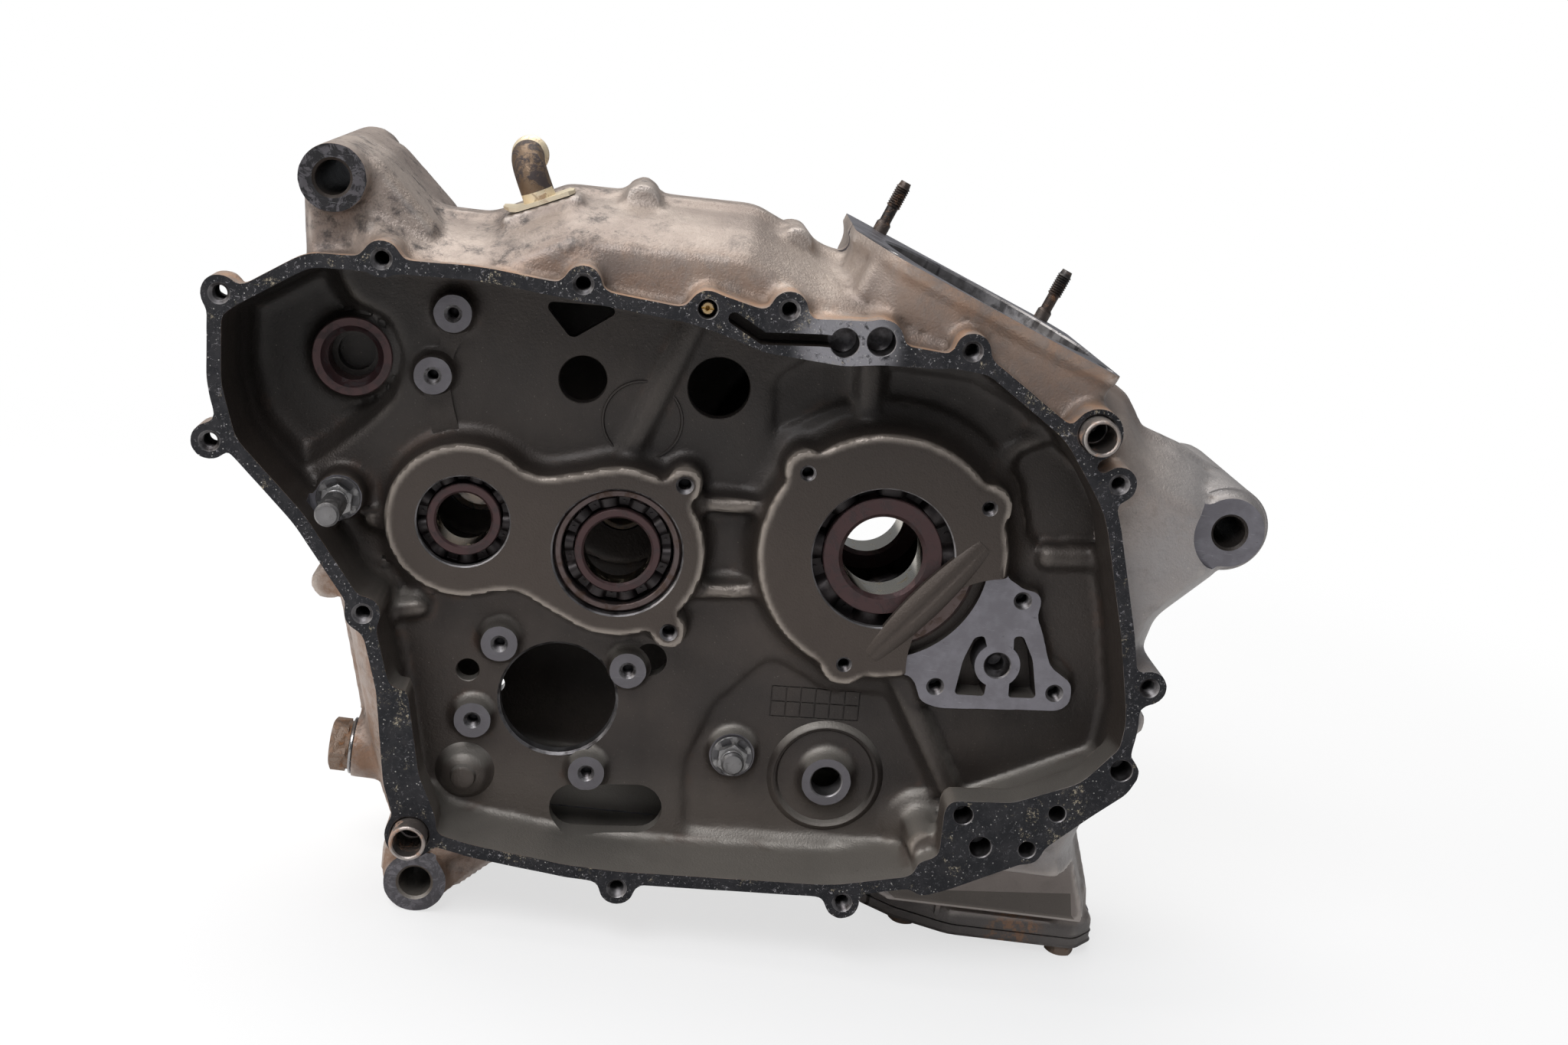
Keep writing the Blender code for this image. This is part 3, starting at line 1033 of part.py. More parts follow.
def case_fasteners(shop, steel):
    """Flanged screws from the far side, and the two hollow dowels in the joint."""
    for number, centre in enumerate(CASE_SCREWS, 1):
        seat = CASE_BOSS_DEPTH + GAP
        top = seat + CASE_SCREW_HEAD_HEIGHT
        profile = [(0, -CASE_SCREW_REACH), (CASE_SCREW_SHANK, -CASE_SCREW_REACH), (CASE_SCREW_SHANK, seat),
                   (CASE_SCREW_HEAD, seat), (CASE_SCREW_HEAD, top), (0, top)]
        shop.turned(profile, (centre[0], 0, centre[1]), sides=8, name=f"case_screw_{number}", material=steel)
    for number, centre in enumerate(CASE_DOWELS, 1):
        bush(shop, f"case_dowel_{number}", centre, CASE_DOWEL_RADIUS, CASE_DOWEL_RADIUS - CASE_DOWEL_BORE,
             -CASE_DOWEL_HALF, CASE_DOWEL_HALF, steel, HOLE_SIDES)


def breather_corners(margin=0.0):
    """Outline of the breather's plate, or of the cast seat that is wider by a margin."""
    length, depth = BREATHER_PLATE[0] / 2 + margin, BREATHER_PLATE[1] / 2 + margin
    return rounded([(-length, -depth, 3), (-length, depth, 3), (length, depth, 3), (length, -depth, 3)])


def on_breather_seat(obj):
    """Set an upright object on the tilted seat of the breather."""
    obj.location = Vector(BREATHER_FOOT) * MM
    obj.rotation_euler = (0, -math.radians(BREATHER_TILT_DEG), 0)
    return obj


def breather_pipe(shop, plated):
    """Bent tube with a bead at its mouth, brazed to a small plate on the gearbox roof."""
    foot = Vector(BREATHER_FOOT)
    tube = shop.tube([foot + Vector(step) for step in BREATHER_ROUTE], BREATHER_RADIUS)
    mouth = foot + Vector(BREATHER_ROUTE[-1])
    heading = (Vector(BREATHER_ROUTE[-1]) - Vector(BREATHER_ROUTE[-2])).normalized()
    lip = BREATHER_BEAD - 1
    profile = [(0, -3.0), (lip, -3.0), (BREATHER_BEAD, -1.5), (lip, 0.5), (0, 0.5)]
    bead = shop.turned(profile, tuple(mouth), tuple(heading))
    top = GAP + BREATHER_PLATE[2]
    plate = shop.prism(breather_corners(), GAP, top, "breather_pipe", plated, upright=True)
    return shop.combine(on_breather_seat(plate), "UNION", [tube, bead])


def clear_scene():
    """Remove every object of the start-up scene."""
    for obj in list(bpy.data.objects):
        bpy.data.objects.remove(obj, do_unlink=True)


def main():
    """Build the crankcase."""
    clear_scene()
    shop = Workshop()
    cast = new_material("cast_aluminium", (0.20, 0.17, 0.15), 0.6, 0.55)
    far_cast = new_material("cast_aluminium_far", (0.30, 0.26, 0.23), 0.6, 0.6)
    steel = new_material("bearing_steel", (0.35, 0.34, 0.34), 0.9, 0.3)
    stained = new_material("stained_bearing_steel", (0.10, 0.04, 0.045), 0.7, 0.35)
    bronze = new_material("bronze", (0.35, 0.22, 0.12), 0.8, 0.4)
    brass = new_material("brass", (0.55, 0.33, 0.09), 0.9, 0.35)
    plated = new_material("yellow_zinc_plate", (0.45, 0.34, 0.14), 0.8, 0.45)
    rusty = new_material("rusted_steel", (0.14, 0.08, 0.05), 0.4, 0.7)
    dark = new_material("dark_steel", (0.06, 0.06, 0.06), 0.7, 0.5)

    right_case(shop, cast)
    left_case(shop, far_cast)
    for bearing in BEARINGS:
        bearing_rings(shop, bearing, steel, stained)
    near, far = FAR_SHAFT_BOSS_Y, FAR_SHAFT_BOSS_Y + BUSH_LENGTH
    bush(shop, "main_shaft_bush", MAIN, MAIN_BUSH_RADIUS, BUSH_WALL, near, far, bronze)
    bush(shop, "countershaft_bush", COUNTER, COUNTER_BUSH_RADIUS, BUSH_WALL, near, far, bronze)
    idle_face = POT_FLOOR_Y - IDLE_BOSS_HEIGHT
    idle_radius = IDLE_SEAT - GAP
    bush(shop, "idle_gear_bush", IDLE_GEAR, idle_radius, idle_radius - IDLE_BUSH_BORE, idle_face,
         idle_face + IDLE_SEAT_DEPTH - GAP, stained)
    cover_dowels(shop, steel)
    jet_near = COVER_FACE_Y + JET_SINK
    shop.disc(JET, JET_RADIUS, jet_near, COVER_FACE_Y + JET_DEPTH - GAP, HOLE_SIDES, "oil_jet", brass)
    post(shop, "spring_post", SPRING_POST, SPRING_POST_SEAT_Y, SPRING_POST_LENGTH, steel)
    post(shop, "stopper_post", STOPPER_POST, STOPPER_POST_SEAT_Y, STOPPER_POST_LENGTH, steel)
    deck_studs(shop, dark)
    drain_plug(shop, rusty, steel)
    strainer_cover(shop, far_cast, rusty)
    case_fasteners(shop, rusty)
    breather_pipe(shop, plated)


main()
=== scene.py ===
"""Engine crankcase: two cast halves, their bearings and small fittings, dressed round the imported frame.

Places are written in the drawing's millimetres: the crankshaft's axis is at X = 0 and Z = 0 along Y,
the halves part at Y = 0, and the open clutch cavity faces negative Y. The drawing's datum turns them
into the frame's metres. Each half is first made as a rough casting with stock on its machined faces,
its edges are rounded all at once, and the machined faces and bores are then cut into it.
"""
from __future__ import annotations

import json
import logging
import math
from dataclasses import dataclass, field
from enum import Enum
from typing import Iterable, Sequence

import bmesh
import bpy
import numpy as np
from mathutils import Matrix, Vector

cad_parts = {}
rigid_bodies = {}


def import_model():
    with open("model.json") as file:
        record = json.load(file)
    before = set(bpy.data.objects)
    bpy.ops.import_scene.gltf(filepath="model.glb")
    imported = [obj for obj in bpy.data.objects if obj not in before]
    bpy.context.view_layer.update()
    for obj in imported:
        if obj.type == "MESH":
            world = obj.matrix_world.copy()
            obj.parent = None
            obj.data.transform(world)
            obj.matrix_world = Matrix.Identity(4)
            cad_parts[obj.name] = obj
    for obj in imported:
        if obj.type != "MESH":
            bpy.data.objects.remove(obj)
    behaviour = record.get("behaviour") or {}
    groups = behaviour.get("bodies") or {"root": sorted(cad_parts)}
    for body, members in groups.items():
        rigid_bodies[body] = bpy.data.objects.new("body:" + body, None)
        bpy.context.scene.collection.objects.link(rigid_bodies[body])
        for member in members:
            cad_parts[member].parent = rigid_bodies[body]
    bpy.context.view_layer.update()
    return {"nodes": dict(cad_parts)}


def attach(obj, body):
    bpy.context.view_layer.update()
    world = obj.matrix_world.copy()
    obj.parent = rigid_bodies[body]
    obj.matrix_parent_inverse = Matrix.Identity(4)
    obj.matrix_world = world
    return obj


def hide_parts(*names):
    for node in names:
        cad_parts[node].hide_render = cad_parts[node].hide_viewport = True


LOG = logging.getLogger("crankcase")

MM = 0.001
DATUM = (53.5, 6.65, 163.2)
CURVATURE = "curvature"
CURVATURE_PASSES = 2
ARC_STEP_DEG = 10.0
ROUNDING_PASSES = 4
FAR_GRID = 1.1
BREATHER_TILT_DEG = -26.0
BREATHER_FOOT = (-142.0, -16.5, 107.5)
MAIN_SHAFT = (-97.5, -11.5)
COUNTERSHAFT = (-154.5, -7.5)
IDLE_GEAR = (-202.2, 43.9)
SPRING_POST = (-200.0, -5.5)
STOPPER = (-43.1, -88.9)
OIL_JET = (-78.3, 84.6)
DRAIN = (-12.6, -112.0)
COVER_DOWELS = ((66.3, 60.4), (-159.2, -125.4))

Corners = Sequence[tuple[float, float, float]]
Outline = list[tuple[float, float]]
Profile = list[tuple[float, float]]
Place = tuple[float, float, float]
Centre = tuple[float, float]
Solid = bpy.types.Object
Solids = list[Solid]
Material = bpy.types.Material


class Zone(Enum):
    """Surfaces of a case half that carry a finish of their own."""

    OUTSIDE = 0
    CAVITY = 1
    GASKET = 2
    MACHINED = 3
    BORE = 4


class Signal:
    """A shader socket that can stand in a sum; every operation adds its Math node."""

    def __init__(self, shader: "Shader", socket: bpy.types.NodeSocket) -> None:
        """Wrap an output socket of a shader's tree."""
        self.shader = shader
        self.socket = socket

    def _math(self, operation: str, other: "Signal | float", swapped: bool = False) -> "Signal":
        """Add a Math node with another value, which comes first if swapped."""
        pair = (other, self) if swapped else (self, other)
        return self.shader.node("ShaderNodeMath", {"operation": operation}, {0: pair[0], 1: pair[1]})

    def __add__(self, other: "Signal | float") -> "Signal":
        """Sum."""
        return self._math("ADD", other)

    __radd__ = __add__

    def __sub__(self, other: "Signal | float") -> "Signal":
        """Difference."""
        return self._math("SUBTRACT", other)

    def __rsub__(self, other: "Signal | float") -> "Signal":
        """Difference from a plain number."""
        return self._math("SUBTRACT", other, swapped=True)

    def __mul__(self, other: "Signal | float") -> "Signal":
        """Product."""
        return self._math("MULTIPLY", other)

    __rmul__ = __mul__

    def __abs__(self) -> "Signal":
        """Size without sign."""
        return self.shader.node("ShaderNodeMath", {"operation": "ABSOLUTE"}, {0: self})


Colour = tuple[float, float, float]


class Shader:
    """Node tree of one material, built from signals; its places are in the drawing's millimetres."""

    def __init__(self, name: str, world: bool = False) -> None:
        """Start an empty material, or an empty world."""
        self.material = (bpy.data.worlds if world else bpy.data.materials).new(name)
        self.material.use_nodes = True
        self.tree = self.material.node_tree
        self.tree.nodes.clear()
        self.output = self.tree.nodes.new("ShaderNodeOutputWorld" if world else "ShaderNodeOutputMaterial")
        self.places: dict[str, Signal] = {}
        self.colour: Signal | Colour = (0.5, 0.5, 0.5)

    def node(self, kind: str, settings: dict, inputs: dict, output: str | int = 0) -> Signal:
        """Add a node.

        Args:
            kind: Type of the node.
            settings: Attributes to set on it first.
            inputs: Values or signals by the name or number of their socket.
            output: Name or number of the output wanted.

        Returns:
            The output as a signal.
        """
        node = self.tree.nodes.new(kind)
        for key, value in settings.items():
            setattr(node, key, value)
        for key, value in inputs.items():
            if isinstance(value, Signal):
                self.tree.links.new(value.socket, node.inputs[key])
            elif isinstance(value, tuple) and len(value) == 3 and node.inputs[key].type == "RGBA":
                node.inputs[key].default_value = (*value, 1.0)
            else:
                node.inputs[key].default_value = value
        return Signal(self, node.outputs[output])

    def place(self) -> Signal:
        """Place on the object, in the drawing's millimetres."""
        if "all" not in self.places:
            metres = self.node("ShaderNodeTexCoord", {}, {}, "Object")
            scale = (1 / MM, 1 / MM, 1 / MM)
            offset = tuple(-value for value in DATUM)
            inputs = {0: metres, 1: scale, 2: offset}
            self.places["all"] = self.node("ShaderNodeVectorMath", {"operation": "MULTIPLY_ADD"}, inputs)
        return self.places["all"]

    def axis(self, letter: str) -> Signal:
        """One coordinate of the place: X, Y or Z."""
        if letter not in self.places:
            self.places[letter] = self.node("ShaderNodeSeparateXYZ", {}, {0: self.place()}, letter)
        return self.places[letter]

    def noise(self, size: float, detail: float = 4.0, rough: float = 0.55, stretch: Place = (1, 1, 1),
              warp: float = 0.0) -> Signal:
        """Noise with features of a size in millimetres.

        Args:
            size: Width of the largest features.
            detail: Octaves.
            rough: Weight of the fine octaves.
            stretch: How much faster it varies along each axis.
            warp: Distortion.

        Returns:
            Values around 0.5.
        """
        vector = self.place()
        if stretch != (1, 1, 1):
            vector = self.node("ShaderNodeVectorMath", {"operation": "MULTIPLY"}, {0: vector, 1: stretch})
        inputs = {"Vector": vector, "Scale": 1 / size, "Detail": detail, "Roughness": rough, "Distortion": warp}
        return self.node("ShaderNodeTexNoise", {}, inputs, "Fac")

    def cells(self, size: float) -> Signal:
        """Distance to the nearest of scattered points, for pits and chips of a size in millimetres."""
        return self.node("ShaderNodeTexVoronoi", {}, {"Vector": self.place(), "Scale": 1 / size}, "Distance")

    def ramp(self, value: Signal, low: float, high: float) -> Signal:
        """Smooth step from 0 at low to 1 at high."""
        inputs = {"Value": value, "From Min": low, "From Max": high, "To Min": 0.0, "To Max": 1.0}
        return self.node("ShaderNodeMapRange", {"interpolation_type": "SMOOTHSTEP"}, inputs, "Result")

    def mix(self, factor: Signal | float, first: Signal | Colour, second: Signal | Colour) -> Signal:
        """Mix two colours; the factor is the share of the second."""
        return self.node("ShaderNodeMix", {"data_type": "RGBA"}, {0: factor, 6: first, 7: second}, 2)

    def paint(self, factor: Signal | float, colour: Colour) -> None:
        """Lay a colour over what the material has so far."""
        self.colour = self.mix(factor, self.colour, colour)

    def edges(self, low: float, high: float) -> Signal:
        """Mask of outward edges, where rubbed metal and a painted highlight are laid on."""
        return self.ramp(self.node("ShaderNodeNewGeometry", {}, {}, "Pointiness"), low, high)

    def outward(self, low: float, high: float) -> Signal:
        """Mask of a casting's outward edges, between two curvatures in 1/mm."""
        return self.ramp(self.node("ShaderNodeAttribute", {"attribute_name": CURVATURE}, {}, "Fac"), low, high)

    def inward(self, low: float, high: float) -> Signal:
        """Mask of a casting's inward corners, between two curvatures in 1/mm."""
        kept = self.node("ShaderNodeAttribute", {"attribute_name": CURVATURE}, {}, "Fac")
        return self.ramp(kept * -1.0, low, high)

    def distance(self, centre: Place) -> Signal:
        """Distance from a place of the drawing, in millimetres."""
        return self.node("ShaderNodeVectorMath", {"operation": "DISTANCE"}, {0: self.place(), 1: centre}, "Value")

    def bump(self, height: Signal, depth: float) -> Signal:
        """Normal that stands in for relief of a depth in millimetres."""
        inputs = {"Height": height, "Distance": depth * MM, "Strength": 1.0}
        return self.node("ShaderNodeBump", {}, inputs, "Normal")

    def finish(self, metallic: Signal | float, roughness: Signal | float, normal: Signal, coat: float = 0.0,
               specular: float = 0.5) -> Material:
        """Close the tree with a Principled shader of the colour painted so far; coat is an oil film."""
        inputs = {"Base Color": self.colour, "Metallic": metallic, "Roughness": roughness, "Normal": normal,
                  "Coat Weight": coat, "Coat Roughness": 0.2, "Specular IOR Level": specular}
        return self.close(self.node("ShaderNodeBsdfPrincipled", {}, inputs, "BSDF"))

    def close(self, surface: Signal) -> Material | bpy.types.World:
        """Link a surface to the output."""
        self.tree.links.new(surface.socket, self.output.inputs["Surface"])
        return self.material


@dataclass(frozen=True)
class OutsideCast:
    """Sand-cast outside: pinkish tan, mottled with dark stains, with orange dirt along the cover's rim; rubbed
    edges carry a painted highlight, corners dirt and painted shade, and the wall under the right pad painted
    shade.
    """

    light: Colour = (0.385, 0.322, 0.278)
    brown: Colour = (0.225, 0.178, 0.152)
    stain: Colour = (0.060, 0.050, 0.047)
    dirt: Colour = (0.40, 0.235, 0.14)
    rust: Colour = (0.20, 0.115, 0.07)
    grey: Colour = (0.30, 0.285, 0.28)

    def material(self) -> Material:
        """Build the material."""
        s = Shader("cast_aluminium_outside")
        x, y, z = s.axis("X"), s.axis("Y"), s.axis("Z")
        cloud = s.ramp(s.noise(55, 5, 0.6), 0.35, 0.66)
        s.colour = s.mix(cloud, self.brown, self.light)
        fine = s.ramp(s.noise(2.4, 6, 0.8), 0.40, 0.64)
        s.paint(fine * 0.35, self.brown)
        forward = s.ramp(x - 0.6 * z, 40, 95)
        s.paint(forward * 0.85, self.grey)
        rear = 1 - s.ramp(x, -135, -40)
        patches = s.ramp(s.noise(30, 4, 0.6, warp=1.2), 0.42, 0.60)
        soot = s.ramp(s.noise(7, 6, 0.8), 0.44, 0.66) * patches
        s.paint(soot * (0.25 + 0.7 * rear), self.stain)
        specks = s.ramp(s.noise(1.5, 5, 0.75), 0.60, 0.72)
        s.paint(specks * (0.42 + 0.4 * rear), self.stain)
        pale = s.ramp(s.noise(1.2, 3, 0.7), 0.64, 0.74)
        s.paint(pale * 0.35, (0.62, 0.55, 0.49))
        low = (1 - s.ramp(z, -60, 20)) * (1 - s.ramp(x, -160, -120))
        s.paint(low * (0.25 + 0.65 * s.ramp(s.noise(12, 6, 0.75), 0.42, 0.58)), self.rust)
        # Painted shade: the recessed wall under the right pad is painted darker brown.
        under = (1 - s.ramp(z, -126, -106)) * s.ramp(x, 10, 40)
        s.paint(under * 0.7, (0.165, 0.130, 0.108))
        band = (1 - s.ramp(z, -150, -148)) * s.ramp(x, 10, 40)
        s.paint(band * 0.6, (0.085, 0.082, 0.080))
        patch = 1 - s.ramp(s.distance((83, -18, -156)), 8, 14)
        s.paint(under * patch * s.ramp(s.noise(5, 6, 0.8), 0.46, 0.56) * 0.8, (0.30, 0.165, 0.095))
        lip = 1 - s.ramp(y, -56, -40)
        top = s.ramp(z, 20, 70)
        grime = s.ramp(s.noise(14, 5, 0.7, warp=0.6), 0.36, 0.6)
        s.paint(lip * grime * (0.15 + 0.65 * top), self.dirt)
        parting = 1 - s.ramp(abs(y), 0.3, 0.7)
        s.paint(parting * 0.85, (0.02, 0.015, 0.012))
        # Outward edges painted lighter: rubbed wear and a painted highlight.
        worn_and_highlit_edge = s.outward(0.05, 0.20)
        s.paint(worn_and_highlit_edge * 0.45, (0.56, 0.50, 0.455))
        # Inward corners painted darker: dirt and painted shade.
        crevice_dirt_and_shade = s.inward(0.05, 0.22)
        s.paint(crevice_dirt_and_shade * 0.55, (0.10, 0.072, 0.055))
        grain = s.noise(0.9, 3, 0.6) + 0.8 * s.noise(3.5, 4, 0.6)
        rough = 0.44 + 0.18 * soot + 0.12 * s.noise(10, 4) - 0.08 * worn_and_highlit_edge
        return s.finish(0.45 - 0.25 * soot, rough - 0.05, s.bump(grain, 0.26))


@dataclass(frozen=True)
class CavityCast:
    """Oil-darkened casting of the clutch cavity and the chambers, with painted highlights where edges stand out
    and on raised faces, painted light on the lower floor, and painted shade in the upper cavity, the pot and the
    corners.
    """

    dark: Colour = (0.033, 0.027, 0.024)
    brown: Colour = (0.056, 0.044, 0.037)
    # Painted light: colour of faces raised towards the cover face.
    near: Colour = (0.062, 0.047, 0.038)
    # Painted light: colour of upward faces in the lower cavity, lit from above.
    wall: Colour = (0.26, 0.240, 0.214)
    # Painted highlight colour of lips, also used for the lighter foot and the glints.
    tan: Colour = (0.33, 0.285, 0.245)
    # Dark colour for flecks, and for the painted shade of the pot, the upper cavity and the corners.
    soot: Colour = (0.014, 0.013, 0.012)

    def material(self) -> Material:
        """Build the material."""
        s = Shader("cast_aluminium_cavity")
        x, y, z = s.axis("X"), s.axis("Y"), s.axis("Z")
        cloud = s.ramp(s.noise(70, 4, 0.55), 0.34, 0.66)
        s.colour = s.mix(cloud, self.dark, self.brown)
        drip = s.ramp(s.noise(26, 5, 0.65, (1.0, 1.0, 0.35)), 0.48, 0.7)
        s.paint(drip * 0.3, self.dark)
        # Painted light: faces raised towards the cover face are painted lighter than the deep floor; the mask also
        # strengthens the painted highlight on lips.
        raised = 1 - s.ramp(y, -44.5, -33.0)
        s.paint(raised * 0.75, self.near)
        # Painted shade: the deep pot in the upper left corner is painted dark.
        pot = 1 - s.ramp(s.distance((-205, -20, 44)), 20, 48)
        s.paint(pot * 0.45, self.soot)
        # Painted light: the bottom of the cavity is painted lighter tan.
        foot = 1 - s.ramp(z, -128, -90)
        s.paint(foot * 0.25, self.tan)
        # Painted light: upward faces in the lower cavity are painted lighter, as lit from above.
        facing = s.node("ShaderNodeNewGeometry", {}, {}, "Normal")
        upward = s.node("ShaderNodeSeparateXYZ", {}, {0: facing}, "Z")
        lower = 1 - s.ramp(z, -95, 10)
        s.paint(s.ramp(upward, 0.15, 0.7) * lower * 0.85, self.wall)
        rust = s.ramp(s.noise(20, 4, 0.6, warp=0.8), 0.55, 0.70) * s.inward(0.0, 0.12)
        s.paint(rust * 0.5, (0.085, 0.050, 0.036))
        right = s.ramp(x, 30, 95)
        s.paint(right * 0.25, (0.030, 0.029, 0.028))
        # Painted shade: the upper cavity, shaded by the rim, is painted darker.
        s.paint(s.ramp(z, -25, 45) * 0.38, self.soot)
        # Painted highlight: outward edges are painted tan, more strongly on raised faces.
        lip = s.outward(0.04, 0.18)
        s.paint(lip * (0.20 + 0.50 * raised), self.tan)
        # Inward corners painted darker: dirt and painted shade.
        crevice_dirt_and_shade = s.inward(0.10, 0.30)
        s.paint(crevice_dirt_and_shade * 0.45, self.soot)
        fleck = s.ramp(s.noise(1.3, 4, 0.75), 0.62, 0.72)
        s.paint(fleck * 0.40, self.soot)
        glint = s.ramp(s.noise(0.9, 3, 0.75), 0.66, 0.74)
        s.paint(glint * 0.30, self.tan)
        grain = s.noise(0.8, 3, 0.65) + 0.6 * s.noise(3.2, 4, 0.55)
        rough = 0.38 + 0.2 * s.noise(8, 4) + 0.1 * drip - 0.08 * lip
        return s.finish(0.55, rough, s.bump(grain, 0.16), coat=0.06)


@dataclass(frozen=True)
class GasketFace:
    """Cover face: black baked-on gasket with pale chips where it has come off."""

    black: Colour = (0.010, 0.010, 0.012)
    grey: Colour = (0.022, 0.021, 0.023)
    metal: Colour = (0.30, 0.29, 0.305)

    def material(self) -> Material:
        """Build the material."""
        s = Shader("gasket_remains")
        x, z = s.axis("X"), s.axis("Z")
        film = s.ramp(s.noise(7, 5, 0.7), 0.42, 0.60)
        s.colour = s.mix(film * 0.75, self.black, self.grey)
        chips = s.ramp(s.noise(1.5, 6, 0.8, warp=0.7), 0.565, 0.62)
        scraped = s.ramp(s.noise(15, 4, 0.6, warp=1.5), 0.40, 0.60)
        clean = 1 - s.ramp(s.distance((-28, -60, 80)), 9, 22)
        wear = chips * (0.30 + 0.70 * scraped)
        bare = s.node("ShaderNodeClamp", {}, {0: wear + clean * s.ramp(s.noise(3, 4, 0.6), 0.3, 0.5)})
        pad = (1 - s.ramp(z, -70, -55)) * (s.ramp(x, 20, 40) + (1 - s.ramp(x, -150, -140)))
        bare = bare * (1 - 0.6 * s.node("ShaderNodeClamp", {}, {0: pad}))
        s.paint(bare, self.metal)
        tan = s.ramp(s.noise(9, 4, 0.6, warp=0.9), 0.56, 0.66) * s.ramp(s.noise(1.1, 5, 0.8), 0.54, 0.60)
        s.paint(tan * 0.8, (0.42, 0.36, 0.26))
        dots = 1 - s.ramp(s.cells(2.0), 0.08, 0.15)
        s.paint(dots * 0.6, (0.55, 0.53, 0.5))
        relief = 0.9 * (1 - bare) + 0.5 * s.noise(0.8, 4, 0.7)
        return s.finish(0.8 * bare, 0.68 - 0.3 * bare, s.bump(relief, 0.22), specular=0.25)


@dataclass(frozen=True)
class MachinedFace:
    """Milled aluminium: light violet grey, finely ruled, smudged with oil."""

    bright: Colour = (0.205, 0.196, 0.214)
    dull: Colour = (0.150, 0.142, 0.155)
    smudge: Colour = (0.055, 0.049, 0.049)

    def material(self) -> Material:
        """Build the material."""
        s = Shader("machined_aluminium")
        cloud = s.ramp(s.noise(9, 5, 0.6), 0.35, 0.65)
        s.colour = s.mix(cloud, self.dull, self.bright)
        scuffs = s.ramp(s.noise(4.5, 6, 0.7, (1, 1, 2.2), 0.8), 0.63, 0.70)
        upper = 1 - s.ramp(s.distance((-213, -45, 108.6)), 13, 16)
        mounts = upper + 0.55 * (1 - s.ramp(s.distance((-156.5, -45, -151.2)), 13, 16))
        marks = mounts * s.ramp(s.noise(6, 5, 0.75, warp=1.5), 0.44, 0.52)
        s.paint(scuffs * 0.5, self.smudge)
        s.paint(mounts * 0.55, self.smudge)
        s.paint(marks * 0.8, (0.012, 0.012, 0.012))
        scratch = s.ramp(s.noise(0.7, 3, 0.6, (0.05, 1, 1.0), 2.5), 0.66, 0.72)
        s.paint(scratch * 0.35, (0.55, 0.54, 0.56))
        y = s.axis("Y")
        deep = s.ramp(y, -39.6, -38.6) * (1 - s.ramp(y, -25, -20))
        s.paint(deep * 0.5, self.smudge)
        lines = s.noise(0.5, 2, 0.5, (0.25, 1, 2.0))
        return s.finish(0.72, 0.34 + 0.12 * cloud + 0.15 * scuffs, s.bump(lines, 0.04))


@dataclass(frozen=True)
class BoredFace:
    """Bored and threaded holes: darker metal with turned rings, and a painted highlight on their outward edges."""

    bright: Colour = (0.40, 0.385, 0.39)
    oily: Colour = (0.045, 0.04, 0.04)

    def material(self) -> Material:
        """Build the material."""
        s = Shader("bored_aluminium")
        cloud = s.ramp(s.noise(7, 5, 0.65), 0.38, 0.62)
        # Painted highlight on the outward edges of the holes.
        edge = s.edges(0.51, 0.56)
        s.colour = s.mix(cloud * 0.35, self.oily, self.bright)
        s.paint(edge * 0.3, (0.55, 0.53, 0.53))
        rings = s.noise(0.6, 2, 0.5, (0.2, 2.0, 0.2))
        return s.finish(0.85, 0.28 + 0.2 * cloud, s.bump(rings, 0.05))


@dataclass(frozen=True)
class Metal:
    """Turned or rolled metal with a film of its own dirt or rust, and outward edges lighter: rubbed metal and a
    painted highlight.
    """

    name: str
    base: Colour
    film: Colour
    cover: float = 0.4
    metallic: float = 0.9
    roughness: float = 0.3
    size: float = 5.0
    relief: float = 0.04
    # Edge colour and its share: rubbed metal and a painted highlight on outward edges.
    edge: Colour = (0.6, 0.58, 0.56)
    edge_highlight_share: float = 0.4

    def material(self) -> Material:
        """Build the material."""
        s = Shader(self.name)
        patch = s.ramp(s.noise(self.size, 6, 0.7, warp=0.6), 0.62 - 0.3 * self.cover, 0.74 - 0.3 * self.cover)
        s.colour = s.mix(patch, self.base, self.film)
        shade = s.ramp(s.noise(self.size * 4, 3, 0.5), 0.3, 0.7)
        s.paint(0.25 * shade, self.film)
        # Outward edges painted lighter: rubbed metal and a painted highlight.
        edge = s.edges(0.52, 0.60)
        s.paint(edge * self.edge_highlight_share, self.edge)
        relief = s.noise(0.5, 3, 0.6) + patch
        rough = self.roughness + 0.3 * patch
        return s.finish(self.metallic - 0.5 * self.metallic * patch, rough, s.bump(relief, self.relief))


